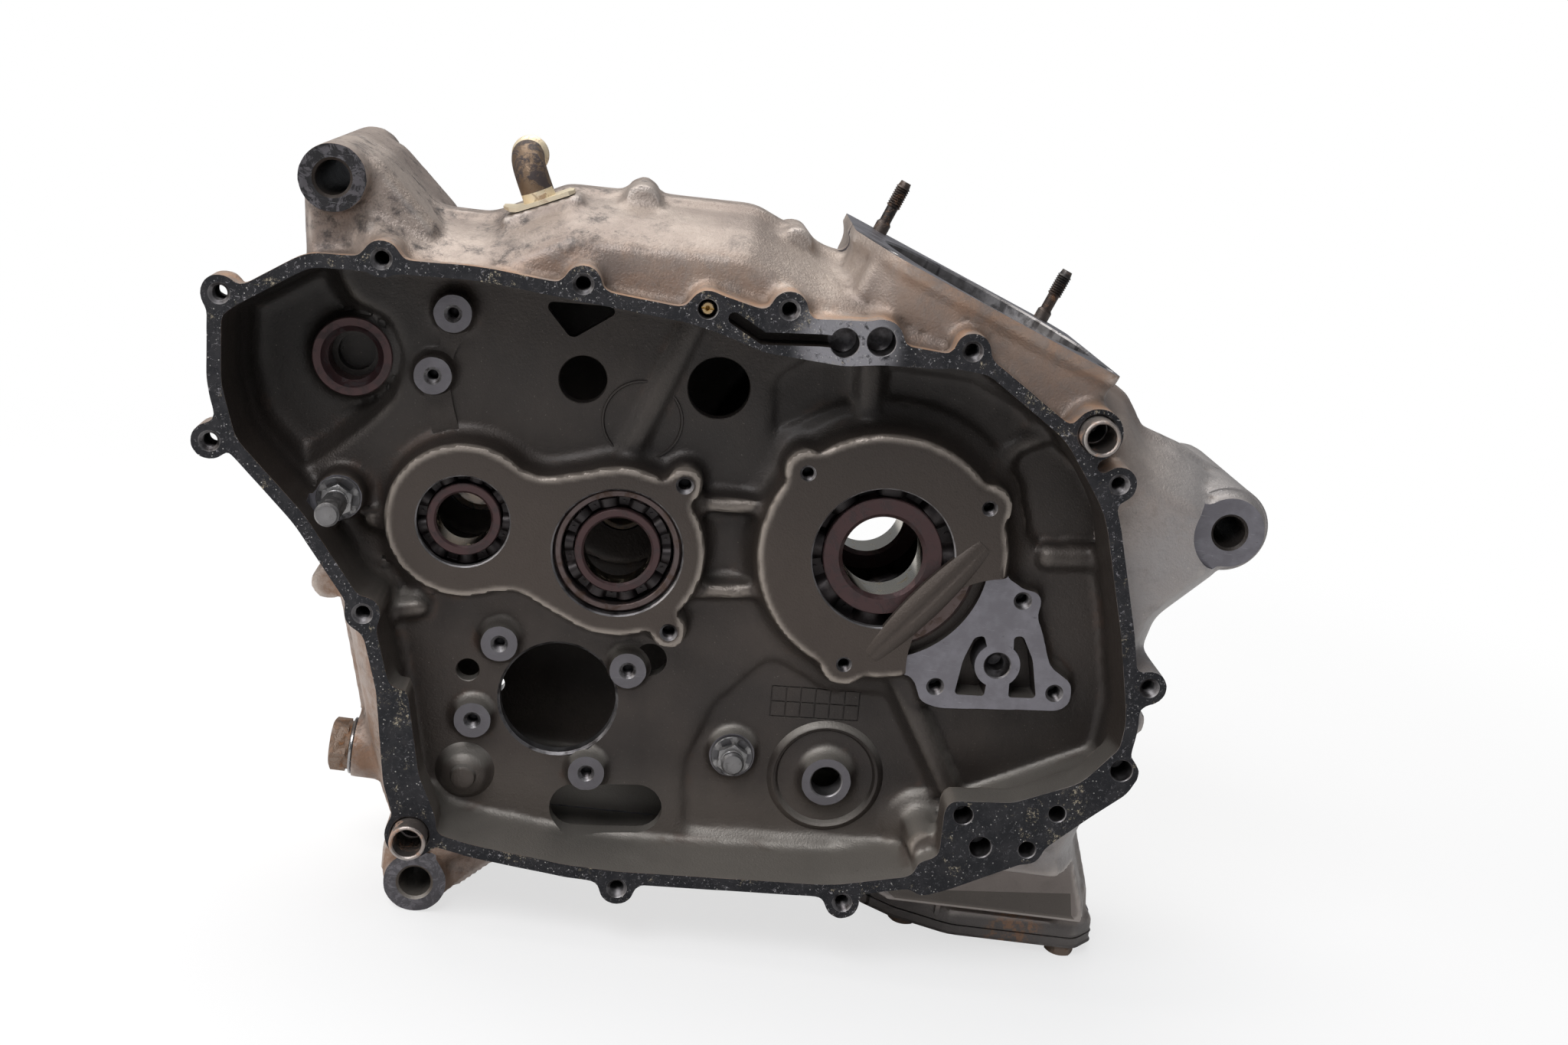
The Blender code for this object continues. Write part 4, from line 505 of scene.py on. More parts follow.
# The edge colours below are rubbed metal and a painted highlight on outward edges.
METALS = (
    Metal("bearing_steel", (0.24, 0.235, 0.235), (0.05, 0.035, 0.03), 0.25, 0.95, 0.22),
    Metal("outer_ring_steel", (0.070, 0.060, 0.064), (0.035, 0.018, 0.012), 0.4, 0.8, 0.3,
          edge=(0.19, 0.12, 0.09)),
    Metal("ground_bore_steel", (0.42, 0.41, 0.40), (0.16, 0.12, 0.07), 0.2, 1.0, 0.16, relief=0.0,
          edge=(0.62, 0.50, 0.26), edge_highlight_share=0.6),
    Metal("ball_steel", (0.11, 0.10, 0.10), (0.03, 0.018, 0.018), 0.2, 1.0, 0.10, relief=0.0),
    # Cage steel near black: partly a dark pressed cage, partly painted shade for the dark gap between the rings.
    Metal("cage_steel_painted_shade", (0.010, 0.009, 0.009), (0.022, 0.014, 0.012), 0.3, 0.6, 0.38,
          edge=(0.05, 0.04, 0.04)),
    Metal("stained_bearing_steel", (0.044, 0.022, 0.023), (0.020, 0.012, 0.013), 0.45, 0.6, 0.38,
          edge=(0.11, 0.065, 0.06), edge_highlight_share=0.4),
    Metal("sooty_bronze_pipe", (0.20, 0.135, 0.085), (0.055, 0.042, 0.040), 0.5, 0.7, 0.4, 6.0, 0.1,
          edge=(0.62, 0.50, 0.34), edge_highlight_share=0.6),
    Metal("pale_gold_plate", (0.82, 0.70, 0.50), (0.42, 0.30, 0.19), 0.25, 0.6, 0.42, 4.0, 0.12,
          edge=(0.80, 0.70, 0.52), edge_highlight_share=0.6),
    Metal("bronze", (0.30, 0.19, 0.10), (0.08, 0.05, 0.03), 0.4, 0.85, 0.35),
    Metal("brass", (0.55, 0.34, 0.10), (0.18, 0.10, 0.03), 0.3, 0.95, 0.3),
    Metal("rusted_steel", (0.12, 0.08, 0.055), (0.19, 0.095, 0.045), 0.5, 0.45, 0.55, 3.0, 0.15,
          edge=(0.34, 0.27, 0.22)),
    Metal("dark_steel", (0.040, 0.037, 0.036), (0.15, 0.08, 0.045), 0.3, 0.7, 0.42, 4.0, 0.08,
          edge=(0.30, 0.26, 0.23)),
    Metal("post_steel", (0.095, 0.092, 0.095), (0.035, 0.030, 0.029), 0.4, 0.85, 0.38, 4.0, edge_highlight_share=0.3),
    Metal("dowel_steel", (0.24, 0.22, 0.205), (0.30, 0.135, 0.055), 0.3, 0.85, 0.34, 7.0, 0.1),
)


@dataclass(frozen=True)
class PathShape:
    """Outline of clockwise corners, each as (a, b, radius)."""

    corners: Corners

    def at(self, inset: float = 0.0) -> Outline:
        """Walk round the outline.

        Args:
            inset: How far the outline moves inward.

        Returns:
            Points of the outline; their number doesn't depend on the inset.
        """
        count = len(self.corners)
        points = [Vector(corner[:2]) for corner in self.corners]
        headings = [(points[(i + 1) % count] - points[i]).normalized() for i in range(count)]
        shifted = []
        for i, point in enumerate(points):
            before = Vector((headings[i - 1].y, -headings[i - 1].x))
            after = Vector((headings[i].y, -headings[i].x))
            shifted.append(point + (before + after) * (inset / (1 + before.dot(after))))
        result: Outline = []
        for i, point in enumerate(shifted):
            before, after = headings[i - 1], headings[i]
            cross = before.x * after.y - before.y * after.x
            turn = math.atan2(abs(cross), before.dot(after))
            if turn < math.radians(2):
                result.append(tuple(point))
                continue
            bend = -1 if cross < 0 else 1
            room = min((point - shifted[i - 1]).length, (shifted[(i + 1) % count] - point).length) * 0.48
            reach = min(max(self.corners[i][2] + inset * bend, 0.3) * math.tan(turn / 2), room)
            radius = reach / math.tan(turn / 2)
            side = Vector((-before.y, before.x)) * bend
            steps = max(1, round(math.degrees(turn) / ARC_STEP_DEG))
            for k in range(steps + 1):
                angle = turn * k / steps
                step = radius * (math.sin(angle) * before + (1 - math.cos(angle)) * side)
                result.append(tuple(point - before * reach + step))
        return result


def box(left: float, right: float, low: float, high: float) -> Outline:
    """Corners of a rectangle."""
    return [(left, low), (left, high), (right, high), (right, low)]


def long_hole(start: Centre, end: Centre, radius: float) -> Outline:
    """Outline of a round-ended slot between two centres."""
    heading = math.atan2(end[1] - start[1], end[0] - start[0])
    result: Outline = []
    for centre, first in ((end, heading + math.pi / 2), (start, heading - math.pi / 2)):
        angles = [first - math.pi * k / 12 for k in range(13)]
        result += [(centre[0] + radius * math.cos(a), centre[1] + radius * math.sin(a)) for a in angles]
    return result


def band(radius: float, width: float, first_deg: float, last_deg: float) -> Outline:
    """Outline of a curved band about the crankshaft."""
    angles = [math.radians(first_deg + (last_deg - first_deg) * k / 48) for k in range(49)]
    outer = [((radius + width) * math.cos(a), (radius + width) * math.sin(a)) for a in reversed(angles)]
    return outer + [(radius * math.cos(a), radius * math.sin(a)) for a in angles]


class Workshop:
    """Makes meshes from the drawing's millimetres and cuts them into each other."""

    def __init__(self) -> None:
        """Start with no finishes for the zones."""
        self.zones: list[Material] = []
        self.triangle_budget = 120_000

    def solid(self, rings: list[list[Vector]], closed: bool, zone: Zone, name: str = "tool") -> Solid:
        """Skin rings of points into a solid.

        Args:
            rings: Rings of equal point count, in the drawing's millimetres.
            closed: Whether the last ring joins the first, instead of both being capped.
            zone: Zone of its faces.
            name: Name of the object.

        Returns:
            The object, at the origin.
        """
        bm = bmesh.new()
        datum = Vector(DATUM)
        rows = []
        for ring in rings:
            if (ring[0] - ring[1]).length < 1e-9:
                rows.append([bm.verts.new((ring[0] + datum) * MM)] * len(ring))
            else:
                rows.append([bm.verts.new((point + datum) * MM) for point in ring])
        if closed:
            rows.append(rows[0])
        else:
            for row in (rows[0], rows[-1]):
                if row[0] is not row[1]:
                    bm.faces.new(row)
        for low, high in zip(rows, rows[1:]):
            for i in range(len(low)):
                j = (i + 1) % len(low)
                corners = []
                for vert in (low[i], low[j], high[j], high[i]):
                    if vert not in corners:
                        corners.append(vert)
                if len(corners) > 2:
                    bm.faces.new(corners)
        for face in bm.faces:
            face.material_index = zone.value
        bmesh.ops.recalc_face_normals(bm, faces=bm.faces)
        return self.keep(bm, name)

    def keep(self, bm: bmesh.types.BMesh, name: str) -> Solid:
        """Turn a mesh under work into an object of the scene, and free it."""
        mesh = bpy.data.meshes.new(name)
        bm.to_mesh(mesh)
        bm.free()
        for material in self.zones:
            mesh.materials.append(material)
        obj = bpy.data.objects.new(name, mesh)
        bpy.context.scene.collection.objects.link(obj)
        return obj

    def loft(self, levels: Sequence[tuple[Outline, float]], zone: Zone = Zone.OUTSIDE,
             upright: bool = False) -> Solid:
        """Skin outlines at places along Y, or along Z if upright."""
        order = (0, 1, 2) if upright else (0, 2, 1)
        rings = []
        for outline, level in levels:
            rings.append([Vector([(a, b, level)[i] for i in order]) for a, b in outline])
        return self.solid(rings, False, zone)

    def draft(self, path: PathShape, levels: Iterable[Centre], upright: bool = False) -> Solid:
        """Skin one path at several (inset, level)."""
        return self.loft([(path.at(inset), level) for inset, level in levels], upright=upright)

    def prism(self, outline: "Outline | PathShape", near: float, far: float, zone: Zone = Zone.OUTSIDE,
              upright: bool = False) -> Solid:
        """Straight prism between two levels."""
        points = outline.at() if isinstance(outline, PathShape) else outline
        return self.loft([(points, near), (points, far)], zone, upright)

    def turned(self, profile: Profile, centre: Centre | Place, axis: Place = (0, 1, 0), sides: int = 48,
               zone: Zone = Zone.OUTSIDE, name: str = "tool") -> Solid:
        """Turn a profile about an axis.

        Args:
            profile: Points as (radius, height); a zero radius closes an end, else it is a ring.
            centre: Where height 0 lies; two numbers are a place at Y = 0.
            axis: Direction of the height.
            sides: Number of sides.
            zone: Zone of its faces.
            name: Name of the object.

        Returns:
            The object.
        """
        origin = Vector(centre if len(centre) == 3 else (centre[0], 0, centre[1]))
        turn = Vector((0, 1, 0)).rotation_difference(Vector(axis).normalized()).to_matrix()
        angles = [2 * math.pi * k / sides for k in range(sides)]
        rings = [[origin + turn @ Vector((radius * math.cos(a), height, radius * math.sin(a))) for a in angles]
                 for radius, height in profile]
        return self.solid(rings, bool(profile[0][0] and profile[-1][0]), zone, name)

    def sides(self, radius: float) -> int:
        """Number of sides that makes a circle look round."""
        return 32 if radius < 8 else 48 if radius < 25 else 96

    def disc(self, centre: Centre, radius: float, near: float, far: float,
             zone: Zone = Zone.OUTSIDE) -> Solid:
        """Plain cylinder along Y."""
        return self.rod(centre, (0, 1, 0), radius, near, far, self.sides(radius), zone)

    def flared(self, face: float, foot: float, flare: float, draft: float) -> Profile:
        """Outsets and levels of a drafted flank with a fillet at its foot, sunk a little into the floor."""
        levels = [(0.0, face), (draft, foot - flare)]
        for k in range(1, 6):
            angle = math.radians(18 * k)
            levels.append((draft + flare * (1 - math.cos(angle)), foot - flare + flare * math.sin(angle)))
        return levels + [(levels[-1][0], foot + 1.0)]

    def boss(self, centre: Centre, radius: float, face: float, foot: float, flare: float = 2.5,
             draft: float = 0.6) -> Solid:
        """Cast boss along Y with a drafted flank and a flared foot.

        Args:
            centre: Centre of the boss.
            radius: Radius at its face.
            face: Level of its face, nearest to the viewer.
            foot: Level of the floor it stands on.
            flare: Radius of the fillet at its foot.
            draft: How much wider the flank is above the fillet.

        Returns:
            The boss, sunk a little into its floor.
        """
        levels = self.flared(face, foot, min(flare, (foot - face) * 0.8), draft)
        profile = [(0, face)] + [(radius + outset, level) for outset, level in levels] + [(0, foot + 1.0)]
        return self.turned(profile, centre, sides=32 if radius < 12 else 96)

    def block(self, path: PathShape, face: float, foot: float, flare: float = 3.0) -> Solid:
        """Cast block along Y with a flared foot."""
        return self.draft(path, [(-outset, level) for outset, level in self.flared(face, foot, flare, 0.6)])

    def hole(self, centre: Centre | Place, radius: float, face: float, depth: float, chamfer: float = 0.5,
             pitch: float = 0.0, zone: Zone = Zone.BORE, axis: Place = (0, 1, 0), tip: float = 0.5,
             sides: int = 0) -> Solid:
        """Drill along an axis from a face, with a chamfered mouth and maybe a thread.

        Args:
            centre: Centre of the hole.
            radius: Radius of the hole.
            face: Height of the face that it starts in.
            depth: How deep it goes.
            chamfer: Width of the chamfer.
            pitch: Pitch of the thread, or 0 for a plain hole.
            zone: Zone of its walls.
            axis: Direction in which it goes.
            tip: Height of the drill's tip for each millimetre of radius.
            sides: Number of sides, or 0 for what suits the radius.

        Returns:
            The drill.
        """
        mouth, start = radius + chamfer, face + chamfer
        profile = [(0, face - 1.5), (mouth, face - 1.5), (mouth, face), (radius, start)]
        for k in range(int((depth - chamfer - 1) / pitch) if pitch else 0):
            level = start + k * pitch
            profile += [(radius, level + 0.1 * pitch), (radius - 0.55 * pitch, level + 0.55 * pitch)]
        profile += [(radius, face + depth), (0, face + depth + radius * tip)]
        return self.turned(profile, centre, axis, sides or self.sides(radius), zone)

    def rod(self, centre: Centre | Place, axis: Place, radius: float, start: float, end: float, sides: int = 48,
            zone: Zone = Zone.OUTSIDE) -> Solid:
        """Plain cylinder from start to end along an axis through centre."""
        return self.turned([(0, start), (radius, start), (radius, end), (0, end)], centre, axis, sides, zone)

    def nut(self, centre: Place, axis: Place, radius: float, start: float, end: float) -> Solid:
        """Hexagon along an axis, its outer corners turned off.

        Args:
            centre: Where height 0 lies.
            axis: Direction of the height.
            radius: Radius over the corners.
            start: Height of the seat.
            end: Height of the chamfered end.

        Returns:
            The hexagon.
        """
        flat = radius * math.cos(math.pi / 6) * 0.96
        wide = radius + 1.0
        cone = [(0, start - 1), (wide, start - 1), (wide, end - 0.5 * (wide - flat)), (flat, end), (0, end)]
        hexagon = self.rod(centre, axis, radius, start, end + 0.5, 6)
        return self.combine(hexagon, "INTERSECT", [self.turned(cone, centre, axis, 48)])

    def thread(self, radius: float, start: float, end: float) -> Profile:
        """Profile of thread rings from a start up to an end height, 1 mm apart."""
        rings: Profile = []
        for k in range(int(end - start)):
            rings += [(radius, start + k), (radius - 0.5, start + k + 0.5)]
        return rings

    def tube(self, route: Sequence[Vector], radii: Sequence[float], sides: int = 32,
             name: str = "tool") -> Solid:
        """Round bar of changing radius along a route, with a cap at each end."""
        rings = []
        across = Vector((1, 0, 0))
        for i, point in enumerate(route):
            heading = (route[min(i + 1, len(route) - 1)] - route[max(i - 1, 0)]).normalized()
            across = (across - heading * across.dot(heading)).normalized()
            up = heading.cross(across)
            ring = []
            for k in range(sides):
                angle = 2 * math.pi * k / sides
                ring.append(point + radii[i] * (math.cos(angle) * across + math.sin(angle) * up))
            rings.append(ring)
        return self.solid(rings, False, Zone.OUTSIDE, name)

    def lean(self, obj: Solid, degrees: float) -> Solid:
        """Turn an upright object about the crankshaft, towards the front."""
        datum = Matrix.Translation(Vector(DATUM) * MM)
        obj.data.transform(datum @ Matrix.Rotation(math.radians(degrees), 4, "Y") @ datum.inverted())
        return obj

    def tilt(self, obj: Solid, foot: Place) -> Solid:
        """Turn an object made about the datum to the breather's slope, and move it to a place."""
        spin = Matrix.Rotation(math.radians(BREATHER_TILT_DEG), 4, "Y")
        shift = Matrix.Translation((Vector(foot) + Vector(DATUM)) * MM)
        obj.data.transform(shift @ spin @ Matrix.Translation(-Vector(DATUM) * MM))
        return obj

    def bake(self, obj: Solid) -> Solid:
        """Apply an object's modifiers."""
        depsgraph = bpy.context.evaluated_depsgraph_get()
        mesh = bpy.data.meshes.new_from_object(obj.evaluated_get(depsgraph))
        old = obj.data
        obj.modifiers.clear()
        obj.data = mesh
        bpy.data.meshes.remove(old)
        return obj

    def combine(self, target: Solid, operation: str,
                tools: Iterable[Solid]) -> Solid:
        """Join, cut or intersect a target with tools, which are used up.

        Args:
            target: Object to change.
            operation: UNION, DIFFERENCE or INTERSECT.
            tools: Objects to use up.

        Returns:
            The target.
        """
        group = bpy.data.collections.new("tools")
        bpy.context.scene.collection.children.link(group)
        for tool in tools:
            bpy.context.scene.collection.objects.unlink(tool)
            group.objects.link(tool)
        modifier = target.modifiers.new(operation, "BOOLEAN")
        modifier.operation, modifier.operand_type = operation, "COLLECTION"
        modifier.collection, modifier.solver = group, "MANIFOLD"
        self.bake(target)
        for tool in list(group.objects):
            bpy.data.meshes.remove(tool.data)
        bpy.data.collections.remove(group)
        return target

    def cut(self, target: Solid, tools: Iterable[Solid]) -> Solid:
        """Cut tools out of a target."""
        return self.combine(target, "DIFFERENCE", tools)

    def join(self, target: Solid, tools: Iterable[Solid]) -> Solid:
        """Join tools to a target."""
        return self.combine(target, "UNION", tools)

    def soften(self, obj: Solid, voxel: float) -> Solid:
        """Round every edge as a casting's.

        Args:
            obj: Rough casting.
            voxel: Grid size in millimetres.

        Returns:
            The object.
        """
        remesh = obj.modifiers.new("grid", "REMESH")
        remesh.mode = "VOXEL"
        remesh.voxel_size = voxel * MM
        smooth = obj.modifiers.new("fillets", "SMOOTH")
        smooth.factor = 0.5
        smooth.iterations = ROUNDING_PASSES
        self.bake(obj)
        self.mark_curvature(obj.data)
        thin = obj.modifiers.new("fewer_triangles", "DECIMATE")
        thin.ratio = min(1.0, self.triangle_budget / (2 * len(obj.data.polygons)))
        return self.bake(obj)

    def mark_curvature(self, mesh: bpy.types.Mesh) -> None:
        """Store how sharply a casting bends at each vertex, for its finishes.

        Args:
            mesh: Softened casting, on an even grid.
        """
        count = len(mesh.vertices)
        places, normals = np.empty(count * 3), np.empty(count * 3)
        ends = np.empty(len(mesh.edges) * 2, dtype=np.int32)
        mesh.vertices.foreach_get("co", places)
        mesh.vertex_normals.foreach_get("vector", normals)
        mesh.edges.foreach_get("vertices", ends)
        places, normals, ends = places.reshape(-1, 3) / MM, normals.reshape(-1, 3), ends.reshape(-1, 2)
        first, second = np.concatenate((ends[:, 0], ends[:, 1])), np.concatenate((ends[:, 1], ends[:, 0]))
        steps = places[second] - places[first]
        bend = -2 * (normals[first] * steps).sum(axis=1) / (steps * steps).sum(axis=1)
        share = np.bincount(first, minlength=count)
        curvature = np.bincount(first, weights=bend, minlength=count) / share
        for _ in range(CURVATURE_PASSES):
            around = np.bincount(first, weights=curvature[second], minlength=count) / share
            curvature = (curvature + around) / 2
        stored = mesh.attributes.new(CURVATURE, "FLOAT", "POINT")
        stored.data.foreach_set("value", curvature.astype(np.float32))

    def smooth(self, obj: Solid, angle: float = 32.0) -> Solid:
        """Shade an object smooth, with sharp edges where its faces turn by more than an angle."""
        obj.data.shade_smooth()
        obj.data.set_sharp_from_angle(angle=math.radians(angle))
        weigh = obj.modifiers.new("flat_faces", "WEIGHTED_NORMAL")
        weigh.keep_sharp = True
        return self.bake(obj)

    def clad(self, obj: Solid, *materials: Material) -> None:
        """Give an object these materials in place of its own."""
        obj.data.materials.clear()
        for material in materials:
            obj.data.materials.append(material)

    def dress(self, obj: Solid, name: str, material: Material | None, slot: str,
              node: str = "", body: str = "case") -> Solid:
        """Name a finished piece and set it on its body.

        Args:
            obj: The piece.
            name: Its name.
            material: Its material, or None to keep those of its zones.
            slot: The record's material slot; not used.
            node: The node that it stands for, if its name is another.
            body: The body that it rides on.

        Returns:
            The piece.
        """
        obj.name = name
        if material is not None:
            self.clad(obj, material)
            for polygon in obj.data.polygons:
                polygon.material_index = 0
        self.smooth(obj)
        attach(obj, body)
        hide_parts(node or name)
        obj.data.calc_loop_triangles()
        LOG.info("%s: %d triangles", name, len(obj.data.loop_triangles))
        return obj


def inside(points: np.ndarray, outline: Outline) -> np.ndarray:
    """Tell which points lie inside an outline.

    Args:
        points: Places as rows of (a, b).
        outline: Closed outline.

    Returns:
        One truth value for each point.
    """
    result = np.zeros(len(points), dtype=bool)
    a, b = points[:, 0], points[:, 1]
    for (a0, b0), (a1, b1) in zip(outline, outline[1:] + outline[:1]):
        if b0 == b1:
            continue
        crosses = (b0 > b) != (b1 > b)
        result ^= crosses & (a < (a1 - a0) * (b - b0) / (b1 - b0) + a0)
    return result


@dataclass(frozen=True)
class CaseShape:
    """Sizes that both halves share: joint outline, deck, mounts, sump and joint screws."""

    joint: PathShape = PathShape((
        (-216, 84, 10), (-207, 110, 8), (-178, 99.5, 12), (-160, 100, 12), (-134, 114.5, 12), (-64, 117.5, 14),
        (-36, 106, 8), (40, 92, 8), (88, 68, 6), (97, 55.5, 8), (116, 50, 10), (136, 40, 10), (135.5, 5, 8),
        (116, -15.5, 5), (113.5, -29, 5), (121, -43, 8), (102, -109, 12), (112, -136, 8), (115, -151, 4),
        (28, -151, 6), (8, -139, 12), (-120, -142, 10), (-146, -156, 8), (-170, -146, 6), (-178, -128, 10),
        (-187, -102, 20), (-200, -56, 12), (-206, -30, 10), (-213, 20, 20),
    ))
    chamber: PathShape = PathShape((
        (-173, 86, 8), (-158, 90, 10), (-133, 104, 10), (-67, 107, 10), (-42, 97, 6), (-16, 93, 6),
        (56, 64.5, 12), (84, 44, 10), (104, 14, 10), (106, -50, 12), (91, -110, 10), (101, -141, 5),
        (36, -141, 6), (6, -129, 10), (-118, -132, 10), (-158, -126, 10), (-178, -96, 15), (-188, -58, 12),
        (-190, -36, 10), (-174, -6, 12),
    ))
    near_draft: tuple = ((-1.5, 0.0), (7.0, 0.0), (8.2, 2.4), (18.0, 4.0), (30.0, 7.0), (38.0, 10.5), (46.0, 16.0))
    far_draft: tuple = ((-1.5, 0.0), (7.0, 0.0), (8.2, 2.4), (20.0, 4.5), (42.0, 9.0), (50.0, 16.0))
    gap: float = 0.15
    lean_deg: float = 19.5
    deck_height: float = 100.0
    deck_stock: float = 3.0
    deck_path: PathShape = PathShape((
        (-65, -26, 6), (-61.5, 55, 3), (34, 55, 8), (41, 46, 8), (43.4, -49, 5), (-50, -49, 16),
    ))
    deck_lip: float = 4.0
    deck_neck: tuple = ((1.0, 97.5), (3.0, 92.0), (3.6, 84.0), (8.0, 70.0), (12.0, 56.0))
    mouth_offset: float = -4.3
    mouth_radius: float = 44.4
    mouth_floor: float = 87.0
    throat_floor: float = 60.0
    web_back: float = -24.0
    deck_holes: tuple = ((-52.0, -36.0, 3.4), (38.0, -40.0, 3.4))
    studs: tuple = ((-46.5, 49.5, 3.3), (29.0, 49.5, 3.3))
    mounts: tuple = ((-213.0, 108.6), (-156.5, -151.2), (128.0, 27.0))
    mount_bore: float = 6.1
    mount_radius: float = 12.0
    collar_radius: float = 16.4
    front_radius: float = 13.2
    near_face: float = -45.0
    front_near_face: float = -40.0
    far_face: float = 52.0
    arms: tuple = (
        PathShape(((-225, 104, 8), (-212, 121, 8), (-199, 116, 8), (-172, 92, 6), (-200, 70, 4), (-221, 74, 4))),
        PathShape(((-169, -142, 4), (-168, -156, 6), (-152, -162, 6), (-120, -134, 6), (-160, -118, 4))),
        PathShape(((96, 52, 4), (116, 47, 8), (134, 38, 8), (133, 12, 8), (110, -11, 4), (96, -12, 4))),
    )
    arm_ends: tuple = ((14.0, 2.5, 9.0), (14.0, 2.5, 9.0), (20.0, 3.0, 14.0))
    sump: PathShape = PathShape((
        (20, 4, 6), (34, -8, 10), (56, -18, 14), (108, -18, 6), (117, -8, 6), (117, 38, 6), (34, 38, 10),
    ))
    sump_opening: PathShape = PathShape((
        (46, 0, 6), (60, -7, 6), (98, -7, 6), (104, 0, 4), (104, 26, 6), (46, 26, 6),
    ))
    sump_face: float = -154.5
    sump_flange: float = 6.0
    sump_bolts: tuple = ((40.0, 0.0), (104.0, -12.0), (110.0, 31.0), (40.0, 31.0))
    column: float = 6.2
    column_top: float = -132.0
    screws: tuple = (
        (-106.0, 113.5), (-204.0, -46.0), (-48.0, 106.5), (107.0, 44.0), (112.0, -60.0), (-22.0, -134.0),
    )
    dowels: tuple = ((-199.0, 92.0), (97.0, -98.0))
    screw_boss: float = 6.6
    dowel_boss: float = 8.0
    boss_depth: float = 18.0

    def body(self, shop: Workshop, side: int) -> Solid:
        """Outer body of a half, with stock past the joint; side is -1 for the clutch side, 1 for the far one."""
        levels = self.near_draft if side < 0 else self.far_draft
        return shop.draft(self.joint, [(inset, side * depth) for depth, inset in levels])

    def deck(self, shop: Workshop) -> Solids:
        """Lip of the cylinder deck with stock on it, and the neck that narrows below it."""
        lip_foot, top = self.deck_height - self.deck_lip, self.deck_height + self.deck_stock
        pieces = [shop.prism(self.deck_path, lip_foot, top, upright=True)]
        pieces.append(shop.draft(self.deck_path, self.deck_neck, upright=True))
        column = [(0, 72), (1.5, 72), (5.2, 82), (5.2, lip_foot + 1), (0, lip_foot + 1)]
        pieces += [shop.turned(column, (along, y, 0), (0, 0, 1)) for along, y, _ in self.deck_holes + self.studs]
        return [shop.lean(piece, self.lean_deg) for piece in pieces]

    def mouth_cuts(self, shop: Workshop) -> Solids:
        """Face of the deck, the cylinder's mouth, its throat behind the clutch wall, and the deck's holes."""
        up, mouth, face = (0, 0, 1), self.mouth_radius, self.deck_height
        top, reach = face + 2 * self.deck_stock, 2 * mouth
        throat = shop.rod((self.mouth_offset, 0, 0), up, mouth, self.throat_floor, self.mouth_floor + 1, 96,
                          Zone.CAVITY)
        behind = box(-reach, reach, self.web_back, reach)
        slab = shop.prism(behind, self.throat_floor - 1, face, Zone.CAVITY, upright=True)
        cuts = [shop.prism(box(-90, 70, -80, 80), face, face + 30, Zone.MACHINED, upright=True)]
        cuts.append(shop.combine(throat, "INTERSECT", [slab]))
        bores = [(self.mouth_offset, 0, mouth, self.mouth_floor, 0.8, 128)]
        bores += [(along, y, radius, face - 12.3, 0.5, 32) for along, y, radius in self.deck_holes + self.studs]
        for along, y, radius, foot, chamfer, sides in bores:
            profile = [(0, foot), (radius, foot), (radius, face - chamfer), (radius + chamfer, face),
                       (radius + chamfer, top), (0, top)]
            cuts.append(shop.turned(profile, (along, y, 0), up, sides, Zone.BORE))
        return [shop.lean(cut, self.lean_deg) for cut in cuts]

    def mount_faces(self, side: int) -> list[tuple[Centre, float, float]]:
        """Centre, level and radius of each mount's face on one half."""
        outer, front = (self.near_face, self.front_near_face) if side < 0 else (self.far_face, self.far_face)
        radii = (self.mount_radius, self.mount_radius, self.front_radius)
        return list(zip(self.mounts, (outer, outer, front), radii))

    def mount_blanks(self, shop: Workshop, side: int) -> Solids:
        """Mount bosses of one half with stock on their faces, and the arms that carry them."""
        inner, pieces = -side * 1.5, []
        faces = self.mount_faces(side)
        for (centre, face, radius), arm, (root, inset, shoulder) in zip(faces, self.arms, self.arm_ends):
            pieces.append(shop.disc(centre, radius, inner, face + side * 2.6))
            pieces.append(shop.draft(arm, [(0, inner), (0, face - side * root), (inset, face - side * shoulder)]))
        collar = faces[-1][1] - side * 6.0
        return pieces + [shop.disc(self.mounts[2], self.collar_radius, inner, collar)]

    def mount_cuts(self, shop: Workshop, side: int) -> Solids:
        """Faces and chamfered bores of the mounts on one half."""
        cuts, bore, mouth = [], self.mount_bore, self.mount_bore + 1.0
        for centre, face, radius in self.mount_faces(side):
            cuts.append(shop.disc(centre, radius + 2.0, face, face + side * 8.0, Zone.MACHINED))
            profile = [(0, face + side), (mouth, face + side), (mouth, face), (bore, face - side),
                       (bore, -side * 2.0), (0, -side * 2.0)]
            cuts.append(shop.turned(profile, centre, zone=Zone.CAVITY))
        return cuts

    def joint_bosses(self, shop: Workshop, side: int) -> Solids:
        """Bosses of the joint's screws and dowels."""
        places = [(centre, self.screw_boss) for centre in self.screws]
        places += [(centre, self.dowel_boss) for centre in self.dowels]
        return [shop.disc(centre, radius, -side * 1.5, side * self.boss_depth) for centre, radius in places]

    def joint_cuts(self, shop: Workshop, side: int) -> Solids:
        """Joint face and the holes in it."""
        cuts = [shop.prism(box(-300, 200, -200, 200), side * self.gap, -side * 90.0, Zone.MACHINED)]
        reach = -14.3 if side < 0 else self.boss_depth + 40.0
        places = [(centre, 3.2, reach) for centre in self.screws]
        places += [(centre, 5.3, side * 6.3) for centre in self.dowels]
        return cuts + [shop.disc(centre, radius, -side * 1.0, end, Zone.BORE) for centre, radius, end in places]

    def sump_blank(self, shop: Workshop, side: int) -> Solids:
        """Sump flange with stock under it, and the columns of its bolts."""
        face = self.sump_face
        flange = shop.prism(self.sump, face - 2.4, face + self.sump_flange, upright=True)
        return [flange] + [shop.rod((x, y, 0), (0, 0, 1), self.column, face, self.column_top, 32)
                           for x, y in self.sump_bolts if y * side >= 0]

